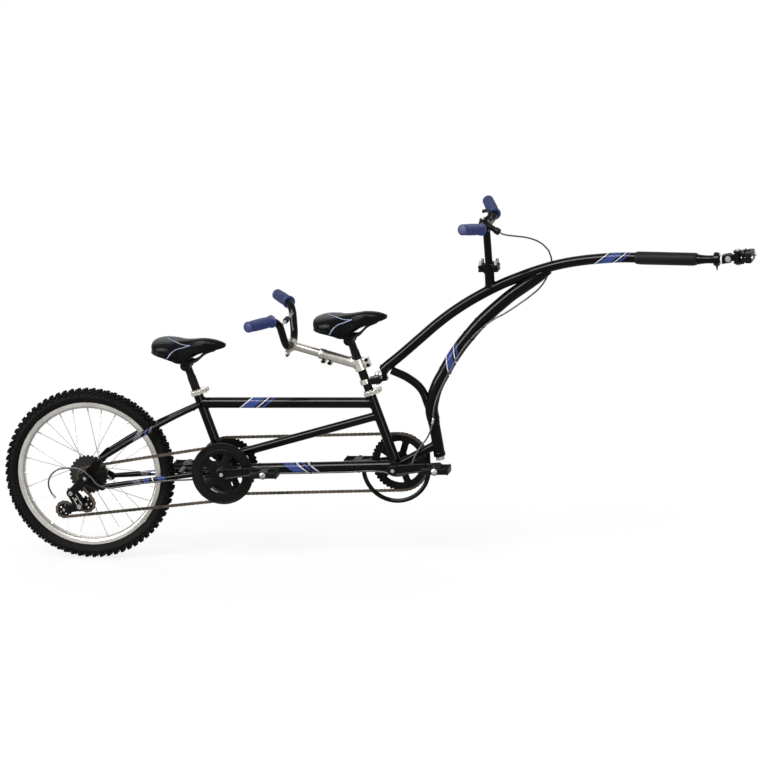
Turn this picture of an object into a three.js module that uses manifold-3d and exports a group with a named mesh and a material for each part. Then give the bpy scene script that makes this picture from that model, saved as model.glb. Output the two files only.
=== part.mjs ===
// A two-seat trailer bike: one driven wheel, two saddles, and an arched boom with a seat-post hitch.
// Units are millimetres. +X points forward to the hitch, +Y to the left, +Z up.
// The frame is laid out from the wheel's centre, and the group is then moved to the hitch clamp.
import * as THREE from "three";
import { mergeVertices } from "three/addons/utils/BufferGeometryUtils.js";
import Module from "manifold-3d";

const wasm = await Module();
wasm.setup();

// Clearances and fineness
const seatGap = 0.3;
const runningGap = 0.6;
const weldSink = 3;
const overrun = 12;
const weldTolerance = 0.0005;
const tubeSides = 10;
const smallSides = 6;
const roundSides = 12;
const boreSides = 16;
const cableSides = 8;
const wheelSides = 28;

// Wheel
const wheelRadius = 254;
const tyreWidth = 50;
const tyreDepth = 40;
const treadDepth = 4;
const rimWidth = 31;
const rimDepth = 19;
const rimWall = 3;
const hubSpacing = 126;
const hubRadius = 15;
const flangeRadius = 28;
const flangeWall = 6;
const axleRadius = 5;
const spokeRadius = 1.2;
const spokeCount = 28;
const spokeSides = 3;
const spokeCrossing = 2;
const spokeRootDepth = 1;
const spokeOffset = 1.4;
const spokeLean = 3;
const hubSides = spokeCount / 2;

// Chains and sprockets
const chainPitch = 12.7;
const chainWidth = 6.6;
const chainHeight = 5;
const toothGap = 1.2;
const chainGap = 0.2;
const timingTeeth = 42;
const driveTeeth = 40;
const smallCogTeeth = 14;
const cogStepTeeth = 2.33;
const cogCount = 7;
const cogSpacing = 4.8;
const cogWall = 2;
const cogGroove = 8;
const pulleyTeeth = 11;
const driveLine = -50;
const timingLine = 45;
const ringWall = 3;
const guardOverhang = 11.5;

// Frame
const rearBottomX = 407;
const rearBottomZ = 10;
const frontBottomX = 918;
const frontBottomZ = 22;
const seatLean = 18;
const seatTubeRadius = 14.3;
const seatPostRadius = 12.7;
const shellRadius = 20;
const shellWidth = 68;
const rearSeatTubeLength = 244;
const frontTopDrop = 1.3;
const topTubeRadius = 15.9;
const topTubeDrop = 32;
const diagonalRadius = 12.7;
const diagonalLow = 36;
const diagonalDrop = 72;
const bottomTubeRadius = 15.9;
const stayRadius = 8;
const seatStayRadius = 7.5;
const braceRadius = 13;
const sleeveRadius = 16.5;
const sleeveForward = 128;
const sleeveLean = 7.4;
const sleeveBottomRise = 28;
const sleeveLength = 110;
const pivotPinRadius = 12;
const guardHoopRadius = 97;
const guardTubeRadius = 6.5;

// Cranks and pedals
const crankLength = 138;
const crankRise = 5.5;
const crankWall = 12;
const crankEyeRadius = 15;
const crankPedalEyeRadius = 11;
const crankInner = 61;
const spindleRadius = 8;
const pedalWidth = 62;
const pedalDepth = 80;
const pedalHeight = 24;
const pedalAxleRadius = 4.5;

// Saddles and their posts
const saddleLength = 226;
const saddleWidth = 150;
const saddleNoseWidth = 36;
const saddleHeight = 46;
const railRadius = 3.5;
const rearPostReach = 87;
const frontPostReach = 168;
const postInsert = 95;
const frontSaddleTilt = 5;

// Boom
const boomRadius = 15;
const lowerBoomRadius = 19;
const strutRadius = 12;
const boomReach = 1010;
const boomRise = 355;
const padRadius = 19.5;
const padLength = 172;
const neckRadius = 12;
const barPostRadius = 14.3;
const barTubeRadius = 11.1;
const gripRadius = 16;
const gripLength = 108;

// Hitch
const hitchClampBore = 13.6;
const hitchClampHeight = 31;

const at = (x, y, z) => new THREE.Vector3(x, y, z);
const radians = (degrees) => THREE.MathUtils.degToRad(degrees);
const mix = (from, to, share) => from.clone().lerp(to, share);
const yAxis = at(0, 1, 0);

// A closed geometry as a solid that can be joined or cut. One that is inside out is turned round.
function solidOf(geometry) {
  const plain = geometry.index ? geometry.toNonIndexed() : geometry.clone();
  plain.deleteAttribute("normal");
  plain.deleteAttribute("uv");
  const merged = mergeVertices(plain, weldTolerance);
  const vertProperties = new Float32Array(merged.attributes.position.array);
  const triVerts = new Uint32Array(merged.index.array);
  const made = new wasm.Manifold(new wasm.Mesh({ numProp: 3, vertProperties, triVerts }));
  if (made.volume() >= 0) return made;
  for (let i = 0; i < triVerts.length; i += 3) {
    [triVerts[i + 1], triVerts[i + 2]] = [triVerts[i + 2], triVerts[i + 1]];
  }
  return new wasm.Manifold(new wasm.Mesh({ numProp: 3, vertProperties, triVerts }));
}

const asSolid = (shape) => (shape.isBufferGeometry ? solidOf(shape) : shape);

function fuse(...shapes) {
  return shapes.map(asSolid).reduce((whole, next) => whole.add(next));
}

function carve(body, ...tools) {
  return tools.map(asSolid).reduce((whole, tool) => whole.subtract(tool), asSolid(body));
}

function geometryOf(solid) {
  const mesh = solid.getMesh();
  const geometry = new THREE.BufferGeometry();
  geometry.setAttribute("position", new THREE.BufferAttribute(mesh.vertProperties.slice(), 3));
  geometry.setIndex(new THREE.BufferAttribute(mesh.triVerts.slice(), 1));
  geometry.computeVertexNormals();
  return geometry;
}

// A straight round bar between two points.
function rod(from, to, radius, sides = tubeSides, endRadius = radius) {
  const along = to.clone().sub(from);
  const geometry = new THREE.CylinderGeometry(endRadius, radius, along.length(), sides);
  const middle = mix(from, to, 0.5);
  geometry.applyQuaternion(new THREE.Quaternion().setFromUnitVectors(yAxis, along.normalize()));
  return geometry.translate(middle.x, middle.y, middle.z);
}

// A round disc or pin that lies across the bike, from one side plane to another.
const pin = (x, z, radius, fromY, toY, sides = tubeSides) => rod(at(x, fromY, z), at(x, toY, z), radius, sides);

function block(low, high) {
  const size = high.clone().sub(low);
  const middle = mix(low, high, 0.5);
  return new THREE.BoxGeometry(size.x, size.y, size.z).translate(middle.x, middle.y, middle.z);
}

// A curve that a sweep follows exactly through its own points.
class Route extends THREE.Curve {
  constructor(points) {
    super();
    this.points = points;
  }
  getPoint(t, target = at(0, 0, 0)) {
    const place = t * (this.points.length - 1);
    const index = Math.min(Math.floor(place), this.points.length - 2);
    return target.copy(this.points[index]).lerp(this.points[index + 1], place - index);
  }
  getPointAt(t, target) {
    return this.getPoint(t, target);
  }
  getTangentAt(t, target = at(0, 0, 0)) {
    const last = this.points.length - 1;
    const index = Math.round(t * last);
    const before = this.points[Math.max(index - 1, 0)];
    const after = this.points[Math.min(index + 1, last)];
    return target.copy(after).sub(before).normalize();
  }
}

function circleShape(radius, sides) {
  const points = [];
  for (let i = 0; i < sides; i += 1) {
    const turn = (i / sides) * 2 * Math.PI;
    points.push(new THREE.Vector2(radius * Math.cos(turn), radius * Math.sin(turn)));
  }
  return new THREE.Shape(points);
}

function pipe(points, radius, sides = tubeSides) {
  return new THREE.ExtrudeGeometry(circleShape(radius, sides), {
    extrudePath: new Route(points),
    steps: points.length - 1,
    bevelEnabled: false,
  });
}

// The points of a bent tube: straight runs between corners, each corner rounded to a bend.
function bent(corners, bend, bendSteps = 4) {
  const points = [corners[0]];
  for (let i = 1; i < corners.length - 1; i += 1) {
    const corner = corners[i];
    const back = corners[i - 1].clone().sub(corner);
    const ahead = corners[i + 1].clone().sub(corner);
    const reach = Math.min(bend, back.length() / 2.2, ahead.length() / 2.2);
    const from = corner.clone().addScaledVector(back.normalize(), reach);
    const to = corner.clone().addScaledVector(ahead.normalize(), reach);
    const arc = new THREE.QuadraticBezierCurve3(from, corner, to);
    points.push(...arc.getPoints(bendSteps));
  }
  points.push(corners[corners.length - 1]);
  return points;
}

const smooth = (points, steps) => new THREE.CatmullRomCurve3(points, false, "centripetal").getSpacedPoints(steps);

// A turned piece: radius and height pairs about an axis that starts at one point and runs along another.
function turned(profile, from, direction, sides) {
  const points = profile.map(([radius, height]) => new THREE.Vector2(radius, height));
  const geometry = new THREE.LatheGeometry(points, sides);
  geometry.applyQuaternion(new THREE.Quaternion().setFromUnitVectors(yAxis, direction.clone().normalize()));
  return geometry.translate(from.x, from.y, from.z);
}

// A flat plate cut in the bike's side plane, from one side plane to another.
function sidePlate(outline, fromY, toY, holes = []) {
  const shape = new THREE.Shape(outline.map(([x, z]) => new THREE.Vector2(x, z)));
  holes.forEach((hole) => shape.holes.push(new THREE.Path(hole.map(([x, z]) => new THREE.Vector2(x, z)))));
  const depth = Math.abs(toY - fromY);
  const geometry = new THREE.ExtrudeGeometry(shape, { depth, bevelEnabled: false });
  geometry.rotateX(Math.PI / 2);
  return geometry.translate(0, Math.max(fromY, toY), 0);
}

const ringPoints = (x, z, radius, sides, startTurn = 0, sweep = 2 * Math.PI, last = sides) => {
  const points = [];
  for (let i = 0; i < last; i += 1) {
    const turn = startTurn + (i / sides) * sweep;
    points.push([x + radius * Math.cos(turn), z + radius * Math.sin(turn)]);
  }
  return points;
};

// The outline round two circles of different size, as on a crank arm or a link plate.
function linkOutline(from, fromRadius, to, toRadius, arcSteps = 6) {
  const heading = Math.atan2(to.z - from.z, to.x - from.x);
  const reach = Math.hypot(to.x - from.x, to.z - from.z);
  const lean = Math.acos((fromRadius - toRadius) / reach);
  const points = [];
  for (let i = 0; i <= arcSteps; i += 1) {
    const turn = heading + lean + (i / arcSteps) * (2 * Math.PI - 2 * lean);
    points.push([from.x + fromRadius * Math.cos(turn), from.z + fromRadius * Math.sin(turn)]);
  }
  for (let i = 0; i <= arcSteps; i += 1) {
    const turn = heading - lean + (i / arcSteps) * 2 * lean;
    points.push([to.x + toRadius * Math.cos(turn), to.z + toRadius * Math.sin(turn)]);
  }
  return points;
}

// A skin lofted through rings of equal count, closed at both ends.
function loft(rings) {
  const count = rings[0].length;
  const points = rings.flat();
  const centres = [rings[0], rings[rings.length - 1]].map((ring) =>
    ring.reduce((sum, point) => sum.add(point), at(0, 0, 0)).divideScalar(count),
  );
  const index = [];
  for (let i = 0; i < rings.length - 1; i += 1) {
    for (let j = 0; j < count; j += 1) {
      const a = i * count + j;
      const b = i * count + ((j + 1) % count);
      index.push(a, a + count, b, b, a + count, b + count);
    }
  }
  const firstCentre = points.length;
  const lastRing = (rings.length - 1) * count;
  for (let j = 0; j < count; j += 1) {
    const next = (j + 1) % count;
    index.push(firstCentre, j, next);
    index.push(firstCentre + 1, lastRing + next, lastRing + j);
  }
  const geometry = new THREE.BufferGeometry();
  geometry.setFromPoints([...points, ...centres]);
  geometry.setIndex(index);
  return geometry;
}

// Colour, roughness and metalness of each finish
const finishes = {
  glossBlack: ["#0b0c0f", 0.22, 0.1],
  satinBlack: ["#17181a", 0.5, 0.1],
  blackPlastic: ["#141416", 0.6, 0],
  rubber: ["#121213", 0.85, 0],
  alloy: ["#c4c7ca", 0.35, 0.9],
  steel: ["#9c9fa3", 0.35, 0.9],
  chrome: ["#d8dadc", 0.12, 1],
  chain: ["#6f665a", 0.45, 0.8],
  blueRubber: ["#2d3c78", 0.7, 0],
  vinyl: ["#17191d", 0.45, 0],
  foam: ["#0f1013", 0.9, 0],
};

const bike = new THREE.Group();

function add(name, finish, shape) {
  const [color, roughness, metalness] = finishes[finish];
  const material = new THREE.MeshStandardMaterial({ color, roughness, metalness });
  const mesh = new THREE.Mesh(geometryOf(asSolid(shape)), material);
  mesh.name = name;
  bike.add(mesh);
}

// Main points of the frame
const rearBottom = at(rearBottomX, 0, rearBottomZ);
const frontBottom = at(frontBottomX, 0, frontBottomZ);
const seatUp = at(-Math.sin(radians(seatLean)), 0, Math.cos(radians(seatLean)));
const upSeatTube = (bottom, distance) => bottom.clone().addScaledVector(seatUp, distance);
const rearSeatTop = upSeatTube(rearBottom, rearSeatTubeLength);
const sleeveUp = at(-Math.sin(radians(sleeveLean)), 0, Math.cos(radians(sleeveLean)));
const sleeveBottom = at(frontBottomX + sleeveForward, 0, frontBottomZ + sleeveBottomRise);
const upSleeve = (distance) => sleeveBottom.clone().addScaledVector(sleeveUp, distance);
const sleeveTop = upSleeve(sleeveLength);
const onSeatTubeAt = (bottom, height) => upSeatTube(bottom, (height - bottom.z) / seatUp.z);
const frontSeatTop = onSeatTubeAt(frontBottom, rearSeatTop.z - frontTopDrop);
const dropoutY = hubSpacing / 2;
const dropoutWall = 6;

// The welded front part of the frame: two seat tubes, two crank shells and the tubes between them.
function addMainFrame() {
  const topHeight = rearSeatTop.z - topTubeDrop;
  const topRear = onSeatTubeAt(rearBottom, topHeight);
  const topFront = onSeatTubeAt(frontBottom, topHeight);
  const diagonalRear = upSeatTube(rearBottom, diagonalLow);
  const diagonalFront = upSeatTube(frontSeatTop, -diagonalDrop);
  const braceTip = upSleeve(sleeveLength * 0.34);
  const shell = (bottom) => pin(bottom.x, bottom.z, shellRadius, -shellWidth / 2, shellWidth / 2, 16);
  const shellBore = (bottom) =>
    pin(bottom.x, bottom.z, spindleRadius + runningGap, -shellWidth, shellWidth, 12);
  const bore = (bottom, top) =>
    rod(
      upSeatTube(bottom, shellRadius + overrun),
      upSeatTube(top, overrun),
      seatPostRadius + seatGap,
    );
  const body = fuse(
    shell(rearBottom),
    shell(frontBottom),
    rod(rearBottom, rearSeatTop, seatTubeRadius),
    rod(frontBottom, frontSeatTop, seatTubeRadius),
    rod(topRear, topFront, topTubeRadius),
    rod(diagonalRear, diagonalFront, diagonalRadius),
    rod(rearBottom, frontBottom, bottomTubeRadius),
    rod(frontBottom, braceTip, braceRadius),
    rod(sleeveBottom, sleeveTop, sleeveRadius, 16),
  );
  const sleeveBore = rod(upSleeve(-overrun), upSleeve(sleeveLength + overrun), pivotPinRadius + runningGap, 16);
  add(
    "main_frame",
    "glossBlack",
    carve(body, shellBore(rearBottom), shellBore(frontBottom), bore(rearBottom, rearSeatTop), bore(frontBottom, frontSeatTop), sleeveBore),
  );
}

// The rear triangle: chain stays, seat stays, a bridge and the two dropout plates that hold the axle.
function addRearStays() {
  const stayMeet = upSeatTube(rearSeatTop, -topTubeDrop - 4);
  const dropReach = 26;
  const pieces = [];
  [-1, 1].forEach((side) => {
    const outer = side * (dropoutY + dropoutWall / 2 + stayRadius / 2);
    const lowEnd = at(dropReach + 20, outer, -26);
    const chainStay = bent(
      [
        lowEnd,
        at(wheelRadius * 0.64, side * (tyreWidth / 2 + 28), -15),
        at(wheelRadius + 40, side * (tyreWidth / 2 + 11), 0),
        at(rearBottomX - shellRadius + weldSink, side * (shellWidth / 2 - stayRadius - 2), rearBottomZ),
      ],
      40,
      2,
    );
    const seatStay = bent(
      [
        at(dropReach + 14, outer, 50),
        at(wheelRadius * 0.6, side * (tyreWidth / 2 + 31), 118),
        at(wheelRadius + 22, side * (seatTubeRadius + seatStayRadius - 1), stayMeet.z - 30),
        at(stayMeet.x, side * (seatTubeRadius + seatStayRadius / 2), stayMeet.z),
      ],
      40,
      2,
    );
    const plate = sidePlate(
      linkOutline({ x: dropReach + 22, z: -26 }, 12, { x: -4, z: 0 }, 15, 5),
      side * dropoutY,
      side * (dropoutY + dropoutWall),
    );
    const tab = sidePlate(
      linkOutline({ x: dropReach + 16, z: 50 }, 10, { x: 0, z: 2 }, 14, 5),
      side * dropoutY,
      side * (dropoutY + dropoutWall),
    );
    pieces.push(fuse(pipe(chainStay, stayRadius, 8), pipe(seatStay, seatStayRadius, 8), plate, tab));
  });
  const bridgeX = wheelRadius + 20;
  const bridge = rod(
    at(bridgeX, -tyreWidth / 2 - 8, 3),
    at(bridgeX, tyreWidth / 2 + 8, 3),
    stayRadius,
    8,
  );
  const yoke = rod(
    at(stayMeet.x - seatTubeRadius - 6, -seatTubeRadius - 7, stayMeet.z - 12),
    at(stayMeet.x - seatTubeRadius - 6, seatTubeRadius + 7, stayMeet.z - 12),
    6,
    8,
  );
  const axleHole = pin(0, 0, axleRadius + seatGap, -hubSpacing, hubSpacing, 8);
  const seatTubeRoom = rod(
    rearBottom,
    upSeatTube(rearSeatTop, overrun),
    seatTubeRadius + seatGap,
  );
  const topTubeRoom = rod(
    onSeatTubeAt(rearBottom, rearSeatTop.z - topTubeDrop),
    onSeatTubeAt(frontBottom, rearSeatTop.z - topTubeDrop),
    topTubeRadius + seatGap,
  );
  const shellRoom = pin(rearBottom.x, rearBottom.z, shellRadius + seatGap, -shellWidth, shellWidth, 16);
  add(
    "rear_stays",
    "glossBlack",
    carve(fuse(...pieces, bridge, yoke), axleHole, seatTubeRoom, topTubeRoom, shellRoom),
  );
}

// A half hoop of thin tube that guards the front timing ring, from the bottom tube to the brace.
function addGuardHoop() {
  const centre = at(frontBottomX - 4, 0, frontBottomZ - 9);
  const arc = [];
  const steps = 12;
  for (let i = 0; i <= steps; i += 1) {
    const turn = Math.PI + (i / steps) * Math.PI;
    arc.push(at(centre.x + guardHoopRadius * Math.cos(turn), 0, centre.z + guardHoopRadius * Math.sin(turn)));
  }
  const braceShare = (centre.x + guardHoopRadius - frontBottomX) / (upSleeve(sleeveLength * 0.34).x - frontBottomX);
  const braceHit = mix(frontBottom, upSleeve(sleeveLength * 0.34), braceShare);
  arc.push(at(centre.x + guardHoopRadius, 0, braceHit.z));
  const bottomRoom = rod(rearBottom, frontBottom, bottomTubeRadius + seatGap);
  const braceRoom = rod(frontBottom, upSleeve(sleeveLength * 0.34), braceRadius + seatGap);
  add("guard_hoop", "glossBlack", carve(pipe(arc, guardTubeRadius, 8), bottomRoom, braceRoom));
}

// A place on a seat tube's top plane: forward of its axis by one distance and up it by another.
const besideSeatTube = (place, forward, rise) =>
  at(
    place.x + forward * Math.cos(radians(seatLean)) + rise * seatUp.x,
    0,
    place.z + forward * Math.sin(radians(seatLean)) + rise * seatUp.z,
  );

// A block set square to the seat tube, measured forward, sideways and up from a place on its axis.
function seatBlock(place, low, high) {
  return block(low, high).rotateY(-radians(seatLean)).translate(place.x, place.y, place.z);
}

// Sizes of the clamp bands and of their cam levers
const collarAbove = 8;
const collarBelow = 8;
const collarWall = 4;
const collarEarHalf = 9;
const collarEarReach = 22;
const collarBoltReach = seatTubeRadius + 13.5;
const collarSlot = 1.5;
const boltRadius = 2.8;
const camRadius = 6.5;
const camCheek = 3.4;
const camEyeHalf = 3;
const camPinRadius = 1.8;
const bladeWall = 4;
const camReach = seatTubeRadius + collarWall + bladeWall / 2 + 1;
const bladeLength = 42;

// A clamp band at the top of a seat tube: a split band, two ears, and the cross bolt with its eye.
function collarSolid(top) {
  const earLow = -collarBelow + 1;
  const earHigh = collarAbove - 1;
  const band = rod(
    besideSeatTube(top, 0, -collarBelow),
    besideSeatTube(top, 0, collarAbove),
    seatTubeRadius + collarWall,
  );
  const ears = seatBlock(
    top,
    at(0, -collarEarHalf, earLow),
    at(collarEarReach + seatTubeRadius, collarEarHalf, earHigh),
  );
  const slot = seatBlock(
    top,
    at(0, -collarSlot, -collarBelow - overrun),
    at(collarEarReach + seatTubeRadius + overrun, collarSlot, collarAbove + overrun),
  );
  const tubeRoom = rod(besideSeatTube(top, 0, -collarBelow - overrun), top, seatTubeRadius + seatGap);
  const postRoom = rod(top, besideSeatTube(top, 0, collarAbove + overrun), seatPostRadius + seatGap);
  const boltPlace = besideSeatTube(top, collarBoltReach, 0);
  const bolt = pin(boltPlace.x, boltPlace.z, boltRadius, -camReach, collarEarHalf + 4, 8);
  const nut = pin(boltPlace.x, boltPlace.z, 5.5, collarEarHalf - 0.5, collarEarHalf + 7, 6);
  const eyeCentre = boltPlace.clone().setY(-camReach);
  const eyeDisc = rod(
    eyeCentre.clone().addScaledVector(seatUp, -camEyeHalf),
    eyeCentre.clone().addScaledVector(seatUp, camEyeHalf),
    camRadius - 2,
    10,
  );
  const eyeHole = rod(
    eyeCentre.clone().addScaledVector(seatUp, -overrun),
    eyeCentre.clone().addScaledVector(seatUp, overrun),
    camPinRadius + runningGap,
    8,
  );
  return carve(fuse(carve(fuse(band, ears), tubeRoom, postRoom, slot), bolt, nut, eyeDisc), eyeHole);
}

// A cam lever: two cheeks and a cross pin about the hinge line, and a blade that lies along one way.
function camLever(centre, hinge, blade) {
  const side = (distance) => centre.clone().addScaledVector(hinge, distance);
  const inner = camEyeHalf + seatGap;
  const cheeks = [-1, 1].map((way) => rod(side(way * inner), side(way * (inner + camCheek)), camRadius, 8));
  const pinBar = rod(side(-inner - 1), side(inner + 1), camPinRadius, 6);
  const half = inner + camCheek;
  const outline = [
    [0, half], [bladeLength, half], [bladeLength, -half], [0, -half],
    [0, -inner], [camRadius, -inner], [camRadius, inner], [0, inner],
  ];
  const shape = new THREE.Shape(outline.map(([x, y]) => new THREE.Vector2(x, y)));
  const fork = new THREE.ExtrudeGeometry(shape, { depth: bladeWall, bevelEnabled: false });
  fork.translate(0, 0, -bladeWall / 2);
  const basis = new THREE.Matrix4().makeBasis(blade, hinge, blade.clone().cross(hinge));
  basis.setPosition(centre);
  return fuse(...cheeks, pinBar, fork.applyMatrix4(basis));
}

const seatBack = at(-Math.cos(radians(seatLean)), 0, -Math.sin(radians(seatLean)));

function addCollars() {
  [["rear", rearSeatTop], ["front", frontSeatTop]].forEach(([label, top]) => {
    add(`${label}_seat_collar`, "alloy", collarSolid(top));
    const centre = besideSeatTube(top, collarBoltReach, 0).setY(-camReach);
    add(`${label}_seat_lever`, "alloy", camLever(centre, seatUp, seatBack));
  });
}

// Tyre, rim, and the hub with its spokes.
function addWheel() {
  const tyreInner = wheelRadius - tyreDepth;
  const half = tyreWidth / 2;
  const tread = wheelRadius - treadDepth;
  const tyreProfile = [
    [tyreInner, -rimWidth / 2 + 1],
    [tyreInner + tyreDepth * 0.45, -half],
    [tread - tyreDepth * 0.16, -half * 0.93],
    [tread, -half * 0.66],
    [wheelRadius, -half * 0.26],
    [wheelRadius, half * 0.26],
    [tread, half * 0.66],
    [tread - tyreDepth * 0.16, half * 0.93],
    [tyreInner + tyreDepth * 0.45, half],
    [tyreInner, rimWidth / 2 - 1],
    [tyreInner, -rimWidth / 2 + 1],
  ];
  add("tyre", "rubber", turned(tyreProfile, at(0, 0, 0), yAxis, wheelSides));
  const rimOuter = tyreInner - seatGap;
  const rimInner = rimOuter - rimDepth;
  const rimProfile = [
    [rimOuter, -rimWidth / 2],
    [rimOuter, rimWidth / 2],
    [rimInner + rimWall, rimWidth / 2],
    [rimInner, rimWidth / 4],
    [rimInner, -rimWidth / 4],
    [rimInner + rimWall, -rimWidth / 2],
    [rimOuter, -rimWidth / 2],
  ];
  add("rim", "alloy", turned(rimProfile, at(0, 0, 0), yAxis, wheelSides));
  const leftFlange = 34;
  const rightFlange = -13;
  const driverEnd = -dropoutY + 4;
  const bore = axleRadius + runningGap;
  const hubProfile = [
    [bore, driverEnd],
    [hubRadius, driverEnd],
    [hubRadius, rightFlange - flangeWall],
    [flangeRadius, rightFlange - flangeWall],
    [flangeRadius, rightFlange],
    [hubRadius, rightFlange + flangeWall],
    [hubRadius, leftFlange - flangeWall],
    [flangeRadius, leftFlange],
    [flangeRadius, leftFlange + flangeWall],
    [hubRadius, leftFlange + flangeWall],
    [hubRadius, dropoutY - 8],
    [bore, dropoutY - 8],
    [bore, driverEnd],
  ];
  const hub = solidOf(turned(hubProfile, at(0, 0, 0), yAxis, hubSides));
  const spokeEnd = rimInner - seatGap - spokeRadius / 4;
  const root = flangeRadius * Math.cos(Math.PI / hubSides) - spokeRootDepth;
  const spokes = [];
  for (let i = 0; i < spokeCount; i += 1) {
    const side = i % 2 ? 1 : -1;
    const place = Math.floor(i / 2);
    const offset = place % 2 ? -spokeOffset : spokeOffset;
    const flangeY = side > 0 ? leftFlange + flangeWall / 2 : rightFlange - flangeWall / 2;
    const rimTurn = (i / spokeCount) * 2 * Math.PI;
    const hubTurn = ((place + (place % 2 ? -spokeCrossing : spokeCrossing)) / hubSides) * 2 * Math.PI;
    spokes.push(
      rod(
        at(root * Math.cos(hubTurn), flangeY + offset, root * Math.sin(hubTurn)),
        at(spokeEnd * Math.cos(rimTurn), side * spokeLean + offset, spokeEnd * Math.sin(rimTurn)),
        spokeRadius,
        spokeSides,
      ),
    );
  }
  add("hub_and_spokes", "alloy", fuse(hub, ...spokes));
  add("wheel_axle", "steel", wheelAxle());
}

// The fixed axle: a threaded rod with a cone and nut at each dropout.
function wheelAxle() {
  const nutReach = 9;
  const outside = dropoutY + dropoutWall + seatGap;
  const parts = [pin(0, 0, axleRadius, -outside - nutReach - 5, outside + nutReach + 5, 8)];
  [-1, 1].forEach((side) => {
    parts.push(pin(0, 0, 8.5, side * outside, side * (outside + nutReach), 6));
    const inner = side < 0 ? dropoutY - 4 + seatGap * 2 : dropoutY - 8 + seatGap * 2;
    parts.push(pin(0, 0, 8, side * inner, side * (dropoutY - seatGap), 8));
  });
  return fuse(...parts);
}

const pitchRadius = (teeth) => chainPitch / (2 * Math.sin(Math.PI / teeth));
const tipRadius = (teeth) => pitchRadius(teeth) - toothGap;

// The seven cogs of the freewheel, smallest outside, turned as one stack.
function addFreewheel() {
  const bore = hubRadius + runningGap;
  const outerFace = driveLine - cogWall / 2;
  const innerFace = outerFace + cogSpacing * (cogCount - 1) + cogWall;
  const profile = [[bore, outerFace]];
  for (let i = 0; i < cogCount; i += 1) {
    const radius = tipRadius(smallCogTeeth + cogStepTeeth * i);
    const outer = outerFace + cogSpacing * i;
    profile.push([radius, outer], [radius, outer + cogWall]);
    if (i < cogCount - 1) profile.push([radius - cogGroove, outer + cogWall + (cogSpacing - cogWall) / 2]);
  }
  profile.push([bore, innerFace], [bore, outerFace]);
  add("freewheel_cogs", "steel", turned(profile, at(0, 0, 0), yAxis, 12));
}

// A toothed ring with windows between its arms.
function ringSolid(centre, teeth, line, arms, armWidth, coreRadius) {
  const tip = tipRadius(teeth);
  const root = tip - 4;
  const outline = [];
  for (let i = 0; i < teeth; i += 1) {
    const turn = (i / teeth) * 2 * Math.PI;
    const half = Math.PI / teeth;
    outline.push([centre.x + tip * Math.cos(turn), centre.z + tip * Math.sin(turn)]);
    outline.push([centre.x + root * Math.cos(turn + half), centre.z + root * Math.sin(turn + half)]);
  }
  const windowOuter = root - 9;
  const windows = [];
  for (let i = 0; i < arms; i += 1) {
    const middle = ((i + 0.5) / arms) * 2 * Math.PI;
    const wide = Math.PI / arms - Math.asin(armWidth / 2 / windowOuter);
    const tight = Math.PI / arms - Math.asin(armWidth / 2 / coreRadius);
    const far = ringPoints(centre.x, centre.z, windowOuter, 3, middle - wide, 2 * wide, 4);
    const near = ringPoints(centre.x, centre.z, coreRadius, 1, middle - tight, 2 * tight, 2);
    windows.push([...far, ...near.reverse()]);
  }
  return sidePlate(outline, line - ringWall / 2, line + ringWall / 2, windows);
}

// The outline of a chain round its sprockets, seen from the right: straight runs and round wraps.
// A wheel that turns the other way, such as the guide pulley, has a turn of -1.
function chainOutline(wheels, outside) {
  const grown = wheels.map((wheel) => ({
    ...wheel,
    reach: wheel.radius + (outside === wheel.turn > 0 ? chainHeight : chainGap),
  }));
  const ends = grown.map((here, i) => {
    const next = grown[(i + 1) % grown.length];
    const heading = Math.atan2(next.z - here.z, next.x - here.x);
    const distance = Math.hypot(next.x - here.x, next.z - here.z);
    const lean = Math.asin((here.turn * here.reach - next.turn * next.reach) / distance);
    return heading + lean - Math.PI / 2;
  });
  const points = [];
  grown.forEach((wheel, i) => {
    const enter = ends[(i + grown.length - 1) % grown.length];
    let sweep = (ends[i] - enter) * wheel.turn;
    while (sweep < 0) sweep += 2 * Math.PI;
    while (sweep > 2 * Math.PI) sweep -= 2 * Math.PI;
    const steps = Math.max(2, Math.ceil(sweep / radians(wheel.reach > hubSpacing / 2 ? 15 : 30)));
    for (let k = 0; k <= steps; k += 1) {
      const turn = enter + wheel.turn * sweep * (k / steps);
      points.push([
        wheel.x + wheel.turn * wheel.reach * Math.cos(turn),
        wheel.z + wheel.turn * wheel.reach * Math.sin(turn),
      ]);
    }
  });
  return points;
}

const guidePulley = { x: -4, z: -82 };
const tensionPulley = { x: -72, z: -99 };

function addChains() {
  const driveWheels = [
    { x: rearBottomX, z: rearBottomZ, radius: pitchRadius(driveTeeth), turn: 1 },
    { x: 0, z: 0, radius: pitchRadius(smallCogTeeth), turn: 1 },
    { ...guidePulley, radius: pitchRadius(pulleyTeeth), turn: -1 },
    { ...tensionPulley, radius: pitchRadius(pulleyTeeth), turn: 1 },
  ];
  const timingWheels = [
    { x: frontBottomX, z: frontBottomZ, radius: pitchRadius(timingTeeth), turn: 1 },
    { x: rearBottomX, z: rearBottomZ, radius: pitchRadius(timingTeeth), turn: 1 },
  ];
  const chain = (wheels, line) =>
    sidePlate(chainOutline(wheels, true), line - chainWidth / 2, line + chainWidth / 2, [
      chainOutline(wheels, false),
    ]);
  add("drive_chain", "chain", chain(driveWheels, driveLine));
  add("timing_chain", "chain", chain(timingWheels, timingLine));
}

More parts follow.
